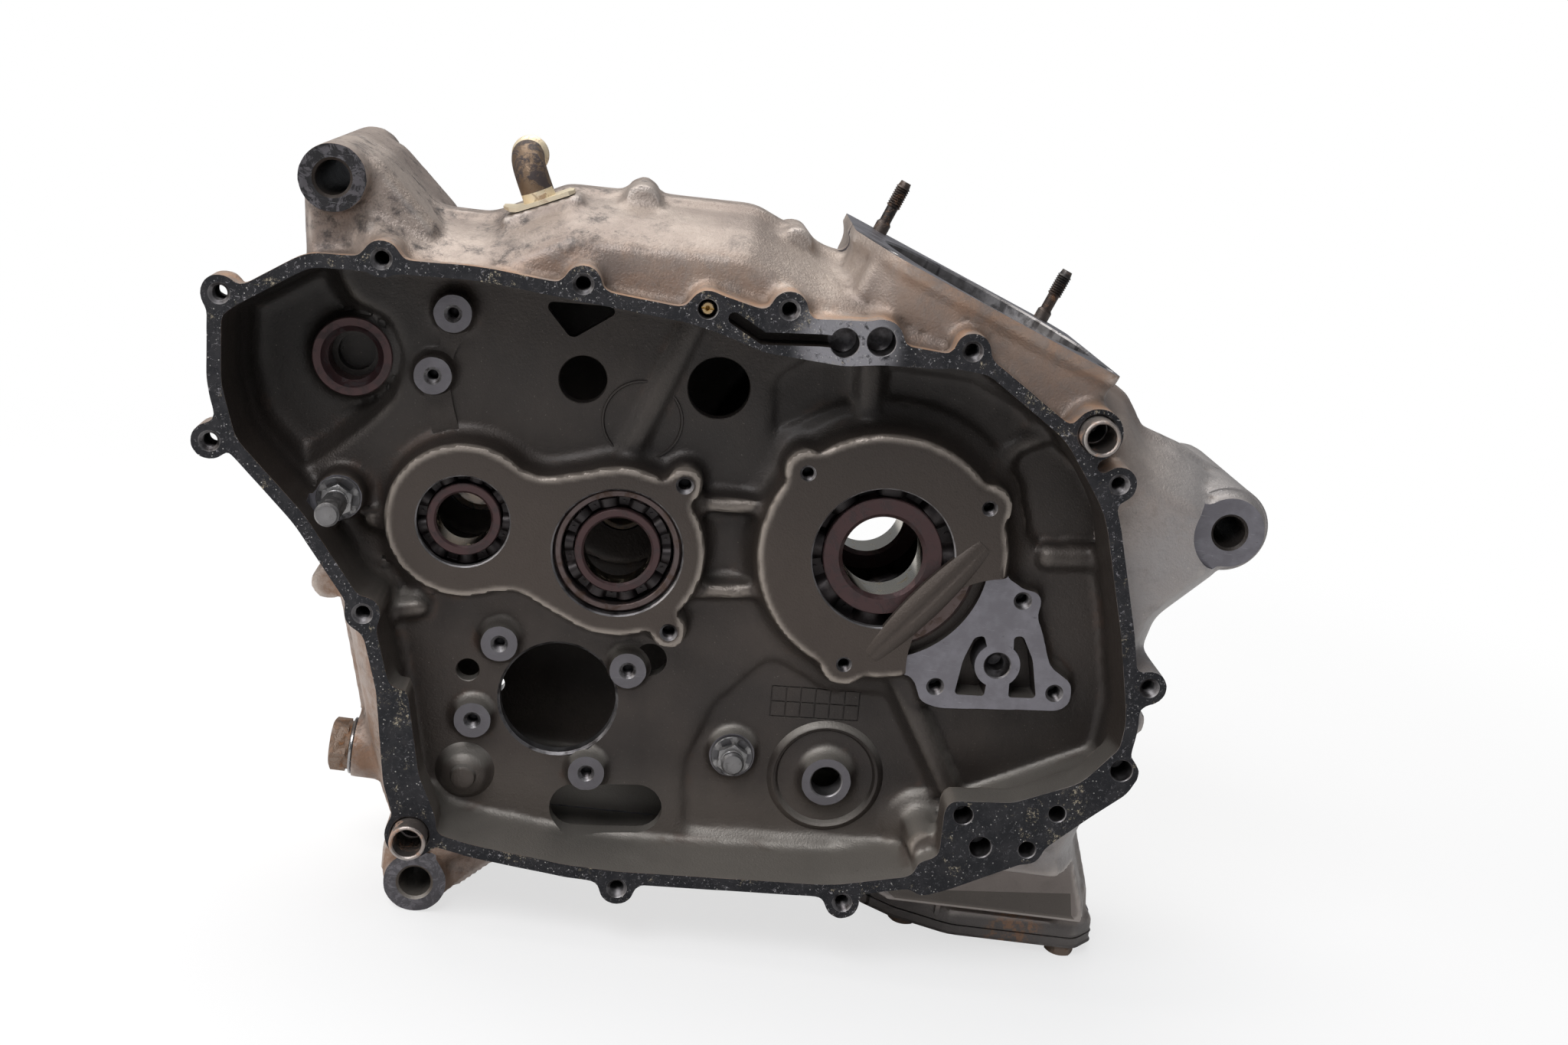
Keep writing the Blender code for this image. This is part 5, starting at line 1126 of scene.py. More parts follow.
    def sump_cuts(self, shop: Workshop) -> Solids:
        """Face, opening and bolt holes of the sump."""
        face = self.sump_face
        cuts = [shop.prism(box(0, 140, -60, 80), face - 20, face, Zone.MACHINED, upright=True),
                shop.prism(self.sump_opening, face - 1, -136.0, Zone.CAVITY, upright=True)]
        return cuts + [shop.rod((x, y, 0), (0, 0, 1), 3.2, face - 1, face + 16.3, 32, Zone.BORE)
                       for x, y in self.sump_bolts]

    def zone_faces(self, obj: Solid, rules: Sequence[tuple[Outline, float, float]]) -> None:
        """Give the cavity's finish to faces inside outlines, between two levels of Y.

        Args:
            obj: Softened casting.
            rules: Outlines with their lowest and highest level.
        """
        mesh = obj.data
        centres = np.empty(len(mesh.polygons) * 3)
        mesh.polygons.foreach_get("center", centres)
        centres = centres.reshape(-1, 3) / MM - np.array(DATUM)
        flat = centres[:, [0, 2]]
        hollow = np.zeros(len(flat), dtype=bool)
        for outline, low, high in rules:
            hollow |= inside(flat, outline) & (centres[:, 1] > low) & (centres[:, 1] < high)
        zones = np.where(hollow, Zone.CAVITY.value, Zone.OUTSIDE.value).astype(np.int32)
        mesh.polygons.foreach_set("material_index", zones)


@dataclass
class ClutchHalf:
    """Case half with the open clutch cavity, its rim, the shaft housings and the oil pump's seat."""

    shop: Workshop
    shape: CaseShape = field(default_factory=CaseShape)
    cover_face: float = -60.0
    housing_face: float = -45.0
    floor: float = -30.0
    pot_floor: float = -20.0
    pan_back: float = -6.0
    stock: float = 3.2
    rim_width: float = 5.0
    rim: PathShape = PathShape((
        (-246, 60, 6), (-216, 81.5, 16), (-158, 85.2, 60), (-88, 81.5, 60), (24, 78.5, 10), (57, 58.5, 30),
        (77, 33, 40), (92, -12, 80), (101, -46, 30), (99, -70, 10), (48, -97, 14), (37, -118, 8),
        (0, -127.5, 40), (-91, -133, 120), (-135, -129, 60), (-161, -124, 6), (-174.5, -71, 6),
        (-183, -45, 20), (-210.5, -10.5, 30), (-237, 14, 14), (-244, 34, 20),
    ))
    cover_screws: tuple = (
        (-191.5, 85.3), (-122.2, 86.9), (-50.0, 88.5), (16.3, 83.4), (77.6, 43.3), (104.1, -31.3),
        (4.7, -131.5), (-80.5, -136.7), (-185.0, -42.3),
    )
    lug_screws: tuple = ((-244.8, 65.5), (-243.8, 13.3))
    screw_boss: float = 6.6
    screw_hole: float = 3.2
    boss_depth: float = 30.0
    lug_depth: float = 14.0
    hole_depth: float = 24.0
    pad_holes: tuple = (
        (44.2, -90.4, 3.6), (79.4, -85.2, 3.2), (52.9, -102.3, 4.1), (70.7, -101.1, 3.2), (100.2, -64.9, 4.1),
    )
    oil_hole: Centre = (-16.2, 82.1)
    oil_groove: tuple = ((-68.6, 82.7), (-57.5, 77.2), (-37.3, 79.5), (-29.0, 79.8))
    top_pad: PathShape = PathShape((
        (-86, 84.5, 4), (-76, 90.5, 5), (-58, 87, 8), (-42, 86.5, 6), (-18, 89, 6), (-6, 81, 4), (8, 79, 2),
        (8, 75.5, 2), (-14, 74, 6), (-28, 71.5, 6), (-56, 72.3, 10), (-74, 77, 4), (-86, 79, 2),
    ))
    left_pad: PathShape = PathShape((
        (-177.5, -69, 2), (-166, -69, 2), (-158.5, -101, 10), (-150, -118, 6), (-150, -127, 2), (-163, -127, 4),
        (-171, -106, 10),
    ))
    right_pad: PathShape = PathShape((
        (98, -56, 4), (108.5, -64, 6), (104, -74, 6), (92, -85, 15), (77, -100, 5), (68, -108, 6), (44, -121, 15),
        (30, -127, 4), (30, -112, 3), (38, -108, 2), (36.5, -85.5, 5), (62, -83, 12), (86, -72, 15),
    ))
    crank_boss: float = 46.4
    crank_screws: tuple = ((35.7, 24.5), (-32.8, 28.2), (-8.0, -42.5))
    main_boss: float = 32.0
    counter_boss: float = 28.5
    waist: PathShape = PathShape((
        (-145, 17, 4), (-128, 12.5, 14), (-108, 18.5, 4), (-108, -42, 4), (-132, -31, 14), (-148, -34, 4),
    ))
    ears: tuple = ((-76.6, 17.3), (-74.7, -39.1))
    spots: tuple = (
        (-167.2, 66.4, 8.0), (-171.9, 43.0, 8.0), (-136.4, -55.1, 6.0), (-142.9, -86.6, 6.0), (-87.4, -59.1, 6.0),
        (-97.6, -102.2, 6.0),
    )
    windows: tuple = ((-118.5, 47.9, 8.8), (-68.8, 51.9, 11.5), (-112.1, -75.9, 22.0), (-147.2, -68.9, 4.3))
    chain_window: PathShape = PathShape(((-137, 74.5, 2), (-106, 76.5, 2), (-124.5, 62, 3)))
    ring_boss: Centre = (-5.5, -94.3)
    tub: PathShape = PathShape((
        (-58, -124, 5), (-62, -96, 12), (-54, -70, 12), (-36, -48, 8), (10, -54, 12), (36, -84, 12),
        (38, -118, 5),
    ))
    pot: PathShape = PathShape((
        (-247, 90, 4), (-216, 89, 6), (-211, 77, 6), (-203, 65.5, 10), (-189.5, 61, 10), (-182, 47, 12),
        (-184, 31, 16), (-193.7, 18.5, 20), (-204.7, 7.5, 14), (-222, -8, 6), (-262, 10, 6),
    ))
    path: PathShape = PathShape((
        (-170.0, 74, 4), (-161.5, 72, 4), (-160.4, 63, 3), (-165.5, 51.4, 8), (-166.5, 41, 10), (-164, 32, 8),
        (-160, 21, 2), (-170.6, 20, 2), (-171, 26, 3), (-175.5, 36, 8), (-177, 44, 6), (-174.5, 51, 2),
        (-170.9, 53, 1.5),
        (-171.5, 58, 3), (-175, 64, 3),
    ))
    panels: tuple = (
        (PathShape(((-50, 56, 4), (-48, 61, 5), (-38, 69, 6), (-18, 72, 3), (-17, 50, 5), (-24, 43, 10),
                    (-34, 35, 10), (-41, 28, 4), (-46.5, 33, 5))), -27.6),
        (PathShape(((-9, 70, 3), (24, 69, 4), (44, 61, 4), (52.5, 54, 4), (43.5, 46.5, 4), (35.5, 41, 4),
                    (27, 46, 10), (13.7, 50, 20), (1.2, 53, 10), (-7.5, 54, 4))), -27.6),
        (PathShape(((45.5, 43, 5), (57.5, 50, 3), (71, 41, 8), (81, 27.5, 10), (85, 13.5, 4), (83, 10.5, 2),
                    (61, 8.5, 5), (53.5, 13.5, 8), (48.5, 23, 10), (44, 36, 6))), -26.4),
    )
    shallow_pocket: PathShape = PathShape((
        (-176, -22, 5), (-190, -20, 6), (-178, -46, 4), (-172, -46, 4), (-170, -30, 4),
    ))
    ribs: tuple = (
        ((-80.5, 77.0), (-99.5, 20.0), 5.0, 3.6), ((-15.5, 75.0), (-12.0, 44.0), 5.0, 3.6),
        ((-72.0, 9.5), (-34.0, 12.0), 5.0, 9.0), ((-66.0, -24.0), (-33.0, -19.5), 5.0, 9.0),
        ((64.0, 5.5), (86.0, 8.5), 5.0, 3.6), ((13.0, -46.0), (42.0, -90.5), 6.0, 5.0),
        ((-188.0, -14.0), (-178.0, -16.0), 5.0, 6.0), ((-188.0, -52.0), (-168.0, -46.0), 5.0, 5.0),
    )
    pump_face: float = -40.0
    pump_seat: PathShape = PathShape((
        (43.5, -5, 4), (50.2, -2.5, 4), (54, -5.4, 3), (61.5, -6.3, 4), (63, -11, 3), (61.5, -14.5, 4),
        (65.5, -22, 8), (70.5, -34.5, 6), (80, -39.6, 5), (81.2, -47, 4), (78, -51.2, 4), (31, -56.4, 5),
        (23.5, -54.5, 4), (21, -47.6, 4), (15.5, -43, 6), (24, -26, 20), (39.5, -16, 4),
    ))
    pump_shaft: Centre = (50.6, -36.6)
    pump_cut: float = 35.5
    pump_recess: float = 40.5
    pump_holes: tuple = ((55.5, -10.1), (28.6, -48.1), (74.3, -44.6))
    pump_ports: tuple = (
        PathShape(((40.0, -26.8, 2.5), (43.5, -25.5, 1.5), (45.5, -30, 2), (47.9, -36, 2), (47.6, -49.3, 1.2),
                   (36.2, -50.2, 1.5), (37.2, -36, 12))),
        PathShape(((54.8, -24.6, 1.5), (58.2, -23.6, 2), (63.6, -32.5, 10), (67.6, -47.5, 1.5), (57.0, -48.6, 1.2),
                   (55.6, -36, 2), (55.5, -29, 2))),
    )
    port_ring: float = 8.7
    drain_face: float = -187.5
    drain_boss: float = 12.0

    def blank(self) -> Solid:
        """Rough outside: body, deck, rim wall, mounts and sump, with the cavities cut out of it."""
        shop, shape, half, floor, web = self.shop, self.shape, self.rim_width / 2, self.floor, self.shape.web_back
        case = shape.body(shop, -1)
        shop.join(case, shape.deck(shop))
        high, sill, low = -118, -143.5, -175
        for top, bottom, depth in ((high, sill, web - 2.5), (sill, low, -14)):
            shop.cut(case, [shop.prism(box(12, 130, bottom, top), -70, depth)])
        face, rim = self.cover_face, self.rim
        pan = shop.draft(rim, [(-half, face - self.stock), (-half, face + 5), (-half + 1.5, -50), (2, -22),
                               (6, self.pan_back)])
        seat = shop.tilt(shop.prism(box(-15, 15, -9, 9), -8, 0, upright=True), BREATHER_FOOT)
        shop.join(case, [pan, seat] + shape.mount_blanks(shop, -1) + shape.sump_blank(shop, -1))
        pocket = ((0, face - 4), (0, face + 2), (0.8, floor - 3), (1.2, floor - 1), (2.2, floor))
        shop.cut(case, [shop.draft(rim, [(half + inset, level) for inset, level in pocket])])
        bowl = ((0.0, floor - 1), (1.0, floor + 1), (3.5, floor + 5), (8.0, self.pot_floor))
        skirt = ((half + 1.8, floor - 3), (half + 3.5, self.pot_floor - 3), (half + 8, self.pot_floor + 1))
        pot = shop.combine(shop.draft(self.pot, bowl), "INTERSECT", [shop.draft(rim, skirt)])
        chamber = shop.prism(shape.chamber, web, 3)
        last, level = self.panels[-1]
        kept = [shop.prism(band(66, 4, 118, 400), web - 1, 4), shop.prism(last.at(-4), web - 1, level + 4)]
        shop.cut(chamber, kept)
        cuts = [pot, chamber, shop.prism(self.tub, floor - 1, floor + 2.5),
                shop.prism(self.shallow_pocket, floor - 3, -27)]
        for number, (panel, level) in enumerate(self.panels):
            cuts.append(shop.prism(panel, floor - 3 - 0.1 * number, level))
        return shop.cut(case, cuts)

    def rim_bosses(self) -> Solids:
        """Bosses and pads along the cover face, with stock on them."""
        shop, face, cover = self.shop, self.cover_face - self.stock, self.cover_face
        plan = [(centre, self.screw_boss, self.boss_depth) for centre in self.cover_screws]
        plan += [(centre, self.screw_boss, self.lug_depth) for centre in self.lug_screws]
        plan += [(centre, 9.4, self.boss_depth) for centre in COVER_DOWELS]
        plan += [(OIL_JET, 6.6, self.boss_depth), (self.oil_hole, 8.1, self.boss_depth)]
        plan.append((self.pad_holes[3][:2], 6.0, 16))
        bosses = [shop.disc(centre, radius, face, cover + depth) for centre, radius, depth in plan]
        pads = (self.top_pad, self.left_pad, self.right_pad)
        return bosses + [shop.prism(pad, face, cover + 16) for pad in pads]

    def housings(self) -> Solids:
        """Housings of the shaft bearings, joined by their waist, and the ears."""
        shop, face, floor = self.shop, self.housing_face, self.floor
        crank = shop.boss((0, 0), self.crank_boss, face, floor, 9.0, 1.5)
        shop.join(crank, [shop.boss(centre, 8.6, face, floor, 6.0) for centre in self.crank_screws])
        parts = [crank, shop.disc((0, 0), self.crank_boss, floor, -22.0), shop.block(self.waist, face, floor, 5.0)]
        for centre, radius in ((MAIN_SHAFT, self.main_boss), (COUNTERSHAFT, self.counter_boss)):
            parts.append(shop.boss(centre, radius, face, floor, 5.0, 1.0))
            parts.append(shop.disc(centre, radius, floor, self.shape.web_back))
        return parts + [shop.boss(ear, 6.6, face, floor, 3.0) for ear in self.ears]

    def gallery(self) -> Solid:
        """Oil gallery that crosses the housing's cut-away side: a broad ridge with a shallow groove."""
        face, foot, stations, across = self.housing_face, -42.4, 33, 41
        start, end = Vector((1.5, 0, -38.0)), Vector((36.5, 0, 10.0))
        along = (end - start).normalized()
        side = Vector((along.z, 0, -along.x))
        rings = []
        for i in range(stations):
            swell = math.sin(math.pi * (0.04 + 0.92 * i / (stations - 1)))
            half, crest = 2.0 + 4.0 * swell ** 0.7, 0.2 + 2.4 * swell
            middle = start + (end - start) * i / (stations - 1)
            ring = [middle + side * -half + Vector((0, foot, 0)), middle + side * half + Vector((0, foot, 0))]
            for k in range(across):
                u = 1 - 2 * k / (across - 1)
                height = crest * (math.cos(math.pi * u / 2) ** 0.8 - 0.5 * math.cos(math.pi * u / 2) ** 10)
                ring.append(middle + side * (half * u) + Vector((0, face - height, 0)))
            rings.append(ring)
        return self.shop.solid(rings, False, Zone.CAVITY)

    def fine_forms(self) -> Solids:
        """Low crisp forms on the cavity's floor, added once the casting is rounded."""
        shop, floor = self.shop, self.floor
        ring = [(13.6, floor + 0.6), (14.3, floor - 0.8), (14.9, floor - 0.8), (15.3, floor + 0.6)]
        parts = [shop.turned(ring, (-95.0, 36.0), sides=96, zone=Zone.CAVITY),
                 shop.prism(self.path, floor - 1.3, floor + 0.5, Zone.CAVITY)]
        dome = [(0, floor - 8.6), (3.2, floor - 8.6), (4.3, floor - 8.1), (5.0, floor - 6.4), (7.4, floor - 5.4),
                (8.8, floor - 4.0), (9.8, floor - 1.4), (11.6, floor + 0.2), (11.6, floor + 1), (0, floor + 1)]
        parts.append(shop.turned(dome, (-143.7, -109.3), sides=64, zone=Zone.CAVITY))
        tub_floor = floor + 2.5
        rise = [(18.2, tub_floor + 0.5), (19.4, tub_floor - 1.5), (20.4, tub_floor - 2.0), (21.3, tub_floor - 1.6),
                (23.2, tub_floor + 0.5)]
        parts.append(shop.turned(rise, self.ring_boss, sides=96, zone=Zone.CAVITY))
        shape = self.shape
        wide, slim, face = shape.collar_radius, shape.front_radius, shape.front_near_face
        collar = [(0, face + 12), (wide, face + 12), (wide, face + 6.5), (wide - 0.5, face + 6), (slim, face + 6),
                  (slim, face - 1), (0, face - 1)]
        parts.append(shop.turned(collar, shape.mounts[2], sides=72))
        return parts + [shop.prism(box(49.4, 51.2, -17.5, -8), shape.sump_face + 3, -140.5, upright=True)]

    def scored_grid(self) -> Solids:
        """Grid of two rows of cells scored in the tub's floor."""
        shop, level = self.shop, self.floor + 2.5
        origin, right, down = Vector((-31.5, -60.4)), Vector((0.998, 0.070)), Vector((0.07, -0.998))
        width, height, columns, half = 34.0, 12.2, 6, 0.3
        lines = [(right * 0 + down * height * k / 2, right * width + down * height * k / 2) for k in range(3)]
        lines += [(right * width * k / columns, right * width * k / columns + down * height)
                  for k in range(columns + 1)]
        cuts = []
        for low, high in lines:
            outline = long_hole(tuple(origin + low), tuple(origin + high), half)
            cuts.append(shop.prism(outline, level - 1, level + 0.7, Zone.CAVITY))
        joined = cuts.pop(0)
        return [shop.join(joined, cuts)]

    def floor_bosses(self) -> Solids:
        """Ribs, spot bosses and the small forms that stand on the cavity's floor."""
        shop, floor, pot, tub_floor = self.shop, self.floor, self.pot_floor, self.floor + 2.5
        parts = [shop.block(self.pump_seat, self.pump_face - 2.4, floor, 2.5)]
        for start, end, width, height in self.ribs:
            levels = ((0.0, floor - height), (1.0, floor - 2.2), (3.0, floor), (3.0, floor + 1))
            parts.append(shop.loft([(long_hole(start, end, width / 2 + out), level) for out, level in levels]))
        plan = [((x, z), 6.9, floor - height - 2.4, floor, 2.5) for x, z, height in self.spots]
        plan += [((34.0, -109.0), 6.5, -52.0, floor, 6.0), (STOPPER, 8.6, floor - 4.4, tub_floor, 2.0),
                 (SPRING_POST, 8.6, -44.4, pot, 4.0), (IDLE_GEAR, 14.6, pot - 8, pot, 3.0)]
        parts += [shop.boss(*boss) for boss in plan]
        ring = [(0, floor - 6.4), (9.5, floor - 6.4), (10.0, floor), (13, tub_floor), (13, tub_floor + 1),
                (0, tub_floor + 1)]
        parts.append(shop.turned(ring, self.ring_boss))
        parts.append(shop.rod((0, *DRAIN), (-1, 0, 0), self.drain_boss, 168.0, -self.drain_face + 2.4))
        return parts

    def machining(self) -> Solids:
        """Faces milled flat: cover, housings' seats, pump seat and spot faces."""
        shop, face, floor, pump, west = self.shop, self.cover_face, self.floor, self.pump_face, (-1, 0, 0)
        recess = shop.disc(self.pump_shaft, self.pump_cut - 0.4, pump - 1, pump + 4, Zone.CAVITY)
        ring = shop.disc((0, 0), self.pump_recess, pump - 2, pump + 5, Zone.CAVITY)
        cuts = [shop.prism(box(-300, 200, -200, 200), face - 30, face, Zone.GASKET),
                shop.prism(self.pump_seat.at(-1.2), pump - 4.5, pump, Zone.MACHINED),
                shop.combine(recess, "INTERSECT", [ring])]
        plan = [((x, z), 9.0, floor - height - 4, floor - height) for x, z, height in self.spots]
        plan += [(self.pump_shaft, self.pump_cut, self.housing_face - 4, pump),
                 (self.ring_boss, 12.0, floor - 8, floor - 4), (STOPPER, 10.5, floor - 7, floor - 2),
                 (SPRING_POST, 10.5, -48, -42)]
        cuts += [shop.disc(*spot, Zone.MACHINED) for spot in plan]
        seat = -self.drain_face
        cuts.append(shop.rod((0, *DRAIN), west, self.drain_boss + 3, seat, seat + 5, zone=Zone.MACHINED))
        return cuts + [shop.rod((0, *DRAIN), west, 6.3, 160.0, seat + 1, zone=Zone.BORE)]

    def drilling(self) -> Solids:
        """Screw holes, oil ways, windows and tapped holes."""
        shop, face, floor, web, pump = self.shop, self.cover_face, self.floor, self.shape.web_back, self.pump_face
        housing, idle, cavity = self.housing_face, self.pot_floor - 8, Zone.CAVITY
        plan = [(centre, self.screw_hole, face, self.hole_depth, 0.7, 1.0) for centre in self.cover_screws]
        plan += [(centre, self.screw_hole, face, self.lug_depth + 2, 0.7, 1.0) for centre in self.lug_screws]
        plan += [((x, z), radius, face, 14, 0.4) for x, z, radius in self.pad_holes]
        for centre in COVER_DOWELS:
            plan += [(centre, 7.0, face, 10.3, 0.6), (centre, 5.3, face, self.hole_depth, 0.3)]
        plan += [(centre, 5.1, face, 12, 0.3) for centre in (self.oil_hole, self.oil_groove[-1])]
        plan += [(OIL_JET, 3.4, face, 12, 0.4), (self.ring_boss, 5.9, floor - 4, web - floor + 5, 0.5)]
        plan += [(centre, 2.6, housing, 12, 0.4, 0.8) for centre in self.crank_screws]
        plan += [(ear, 2.9, housing, 12, 0.5, 0.8) for ear in self.ears]
        plan += [((x, z), 2.6, floor - height, height + 3, 0.7, 0.9) for x, z, height in self.spots]
        plan += [(centre, 3.0, pump, 12, 0.5, 0.9) for centre in self.pump_holes]
        for x, z, radius in self.windows:
            chamfer, zone = (1.0, Zone.BORE) if radius > 15 else (0.3, cavity)
            plan.append(((x, z), radius, floor, web - floor + 1, chamfer, 0.0, zone))
        cuts = [shop.hole(*hole) for hole in plan]
        for start, end in zip(self.oil_groove, self.oil_groove[1:]):
            cuts.append(shop.prism(long_hole(start, end, 2.2), face - 1, face + 12, cavity))
        cuts.append(shop.prism(self.chain_window, floor - 1, web + 1, cavity))
        cuts.append(shop.prism(long_hole((-100.0, -119.2), (-76.4, -116.5), 9.9), floor - 12, web + 1, cavity))
        cone = [(0, pump - 1.5), (5.3, pump - 1.5), (5.3, pump), (4.8, pump + 0.5), (4.6, pump + 1.5),
                (3.1, pump + 3.5), (3.1, pump + 11), (0, pump + 12.5)]
        cuts.append(shop.turned(cone, self.pump_shaft, sides=64, zone=Zone.BORE))
        for port in self.pump_ports:
            ring = shop.disc(self.pump_shaft, self.port_ring, pump - 2, pump + 13, Zone.MACHINED)
            cuts.append(shop.cut(shop.prism(port, pump - 1, pump + 12, cavity), [ring]))
        discs = (((-79.5, -55.5), 6.4, floor - 1, floor + 7, cavity),
                 (IDLE_GEAR, 11.6, idle - 1, idle + 11, cavity),
                 (IDLE_GEAR, 6.9, idle - 1, idle + 16, cavity), (SPRING_POST, 3.2, -44, -32.7, Zone.BORE),
                 (STOPPER, 3.2, -34, -22.7, Zone.BORE))
        return cuts + [shop.disc(*disc) for disc in discs]

    def bearing_seats(self) -> Solids:
        """Seats of the three bearings on this side, with the lips that hold them."""
        shop, face, seats = self.shop, self.housing_face, []
        for centre, lip, seat in (((0, 0), 26.5, 36.3), (COUNTERSHAFT, 16.9, 21.3)):
            seats.append(shop.hole(centre, lip, face, -42.3 - face + 0.5, 0.5))
            seats.append(shop.disc(centre, seat, -42.3, 1.0, Zone.BORE))
        seats.append(shop.hole(MAIN_SHAFT, 23.8, face, 15.3, 0.6))
        return seats + [shop.disc(MAIN_SHAFT, 19.0, -30.5, -23, Zone.BORE)]

    def build(self, voxel: float) -> Solid:
        """Cast, round and machine the half.

        Args:
            voxel: Grid of the rounding, in millimetres.

        Returns:
            The finished half.
        """
        shop, shape = self.shop, self.shape
        case = self.blank()
        bosses = self.rim_bosses() + self.housings() + self.floor_bosses() + shape.joint_bosses(shop, -1)
        shop.join(case, bosses)
        shop.soften(case, voxel)
        half = self.rim_width / 2
        shape.zone_faces(case, [
            (self.rim.at(half - 0.8), -59.5, -17.0), (shape.chamber.at(-1.0), -26.5, 5.0),
        ])
        shop.join(case, self.fine_forms())
        shop.cut(case, self.machining() + shape.joint_cuts(shop, -1))
        cuts = self.drilling() + self.bearing_seats() + shape.mouth_cuts(shop)
        cuts += shape.mount_cuts(shop, -1) + shape.sump_cuts(shop)
        shop.cut(case, cuts)
        shop.cut(case, self.scored_grid())
        shop.join(case, [self.gallery()])
        return shop.dress(case, "clutch_half", None, "cast_aluminium", "right_case")


@dataclass
class MagnetoHalf:
    """Far case half: gearbox wall with shaft bosses, the crankshaft's wall and the round magneto housing."""

    shop: Workshop
    shape: CaseShape = field(default_factory=CaseShape)
    wall: float = 42.0
    face: float = 50.0
    magneto_face: float = 55.0
    magneto_radius: float = 62.0
    magneto_wall: float = 5.0
    crank_wall: float = 18.0
    bearing_far: float = 38.0
    shift_hole: Centre = (-139.5, -99.0)
    chamber_draft: tuple = ((-3.0, 0.0), (7.0, 0.8), (20.0, 4.0), (42.0, 9.0))
    shift_radius: float = 4.0

    def build(self, voxel: float) -> Solid:
        """Cast, round and machine the half, on a grid given in millimetres."""
        shop, shape = self.shop, self.shape
        case = shape.body(shop, 1)
        rim = self.magneto_radius + self.magneto_wall
        magneto = shop.turned([(0, 20), (rim + 3, 20), (rim + 1, 48), (rim, 51), (rim, self.magneto_face + 1),
                               (0, self.magneto_face + 1)], (0, 0, 0), sides=96)
        blanks = shape.deck(shop) + shape.mount_blanks(shop, 1) + shape.sump_blank(shop, 1)
        shop.join(case, blanks + [magneto])
        chamber = shop.draft(shape.chamber, [(inset, depth) for depth, inset in self.chamber_draft])
        kept = [shop.prism(band(66, 4, 118, 400), -4, self.wall + 1),
                shop.disc((0, 0), 68, self.crank_wall, self.wall + 1)]
        shop.cut(chamber, kept)
        bowl = shop.disc((0, 0), self.magneto_radius, self.wall, self.magneto_face + 3)
        shop.cut(case, [chamber, bowl])
        bosses = shape.joint_bosses(shop, 1)
        bosses.append(shop.disc(MAIN_SHAFT, 26, 30, self.wall + 1))
        bosses.append(shop.disc(COUNTERSHAFT, 26, 30, self.face + 2))
        shop.join(case, bosses)
        shop.soften(case, voxel)
        shape.zone_faces(case, [
            (shape.chamber.at(-1.0), -3.0, 20.0), (shape.chamber.at(3.0), 20.0, 42.8),
            (long_hole((-0.1, 0), (0.1, 0), self.magneto_radius + 0.8), 17.0, 54.5),
        ])
        cuts = [shop.prism(box(-90, 90, -90, 90), self.magneto_face, self.magneto_face + 20, Zone.MACHINED)]
        shop.cut(case, cuts + shape.joint_cuts(shop, 1))
        cuts = [shop.disc((0, 0), 36.3, self.crank_wall - 1, self.bearing_far + 0.3, Zone.BORE),
                shop.disc((0, 0), 28.5, self.bearing_far, self.bearing_far + 6, Zone.BORE),
                shop.disc(MAIN_SHAFT, 11.3, 29, 44.3, Zone.BORE), shop.disc(COUNTERSHAFT, 15.3, 29, 54, Zone.BORE),
                shop.disc(self.shift_hole, self.shift_radius, self.wall - 1, self.face + 1, Zone.BORE)]
        cuts += [shop.disc(centre, 6.8, shape.boss_depth, shape.boss_depth + 45, Zone.CAVITY)
                 for centre in shape.screws]
        cuts += shape.mouth_cuts(shop) + shape.mount_cuts(shop, 1) + shape.sump_cuts(shop)
        shop.cut(case, cuts)
        return shop.dress(case, "magneto_half", None, "cast_aluminium_far", "left_case")


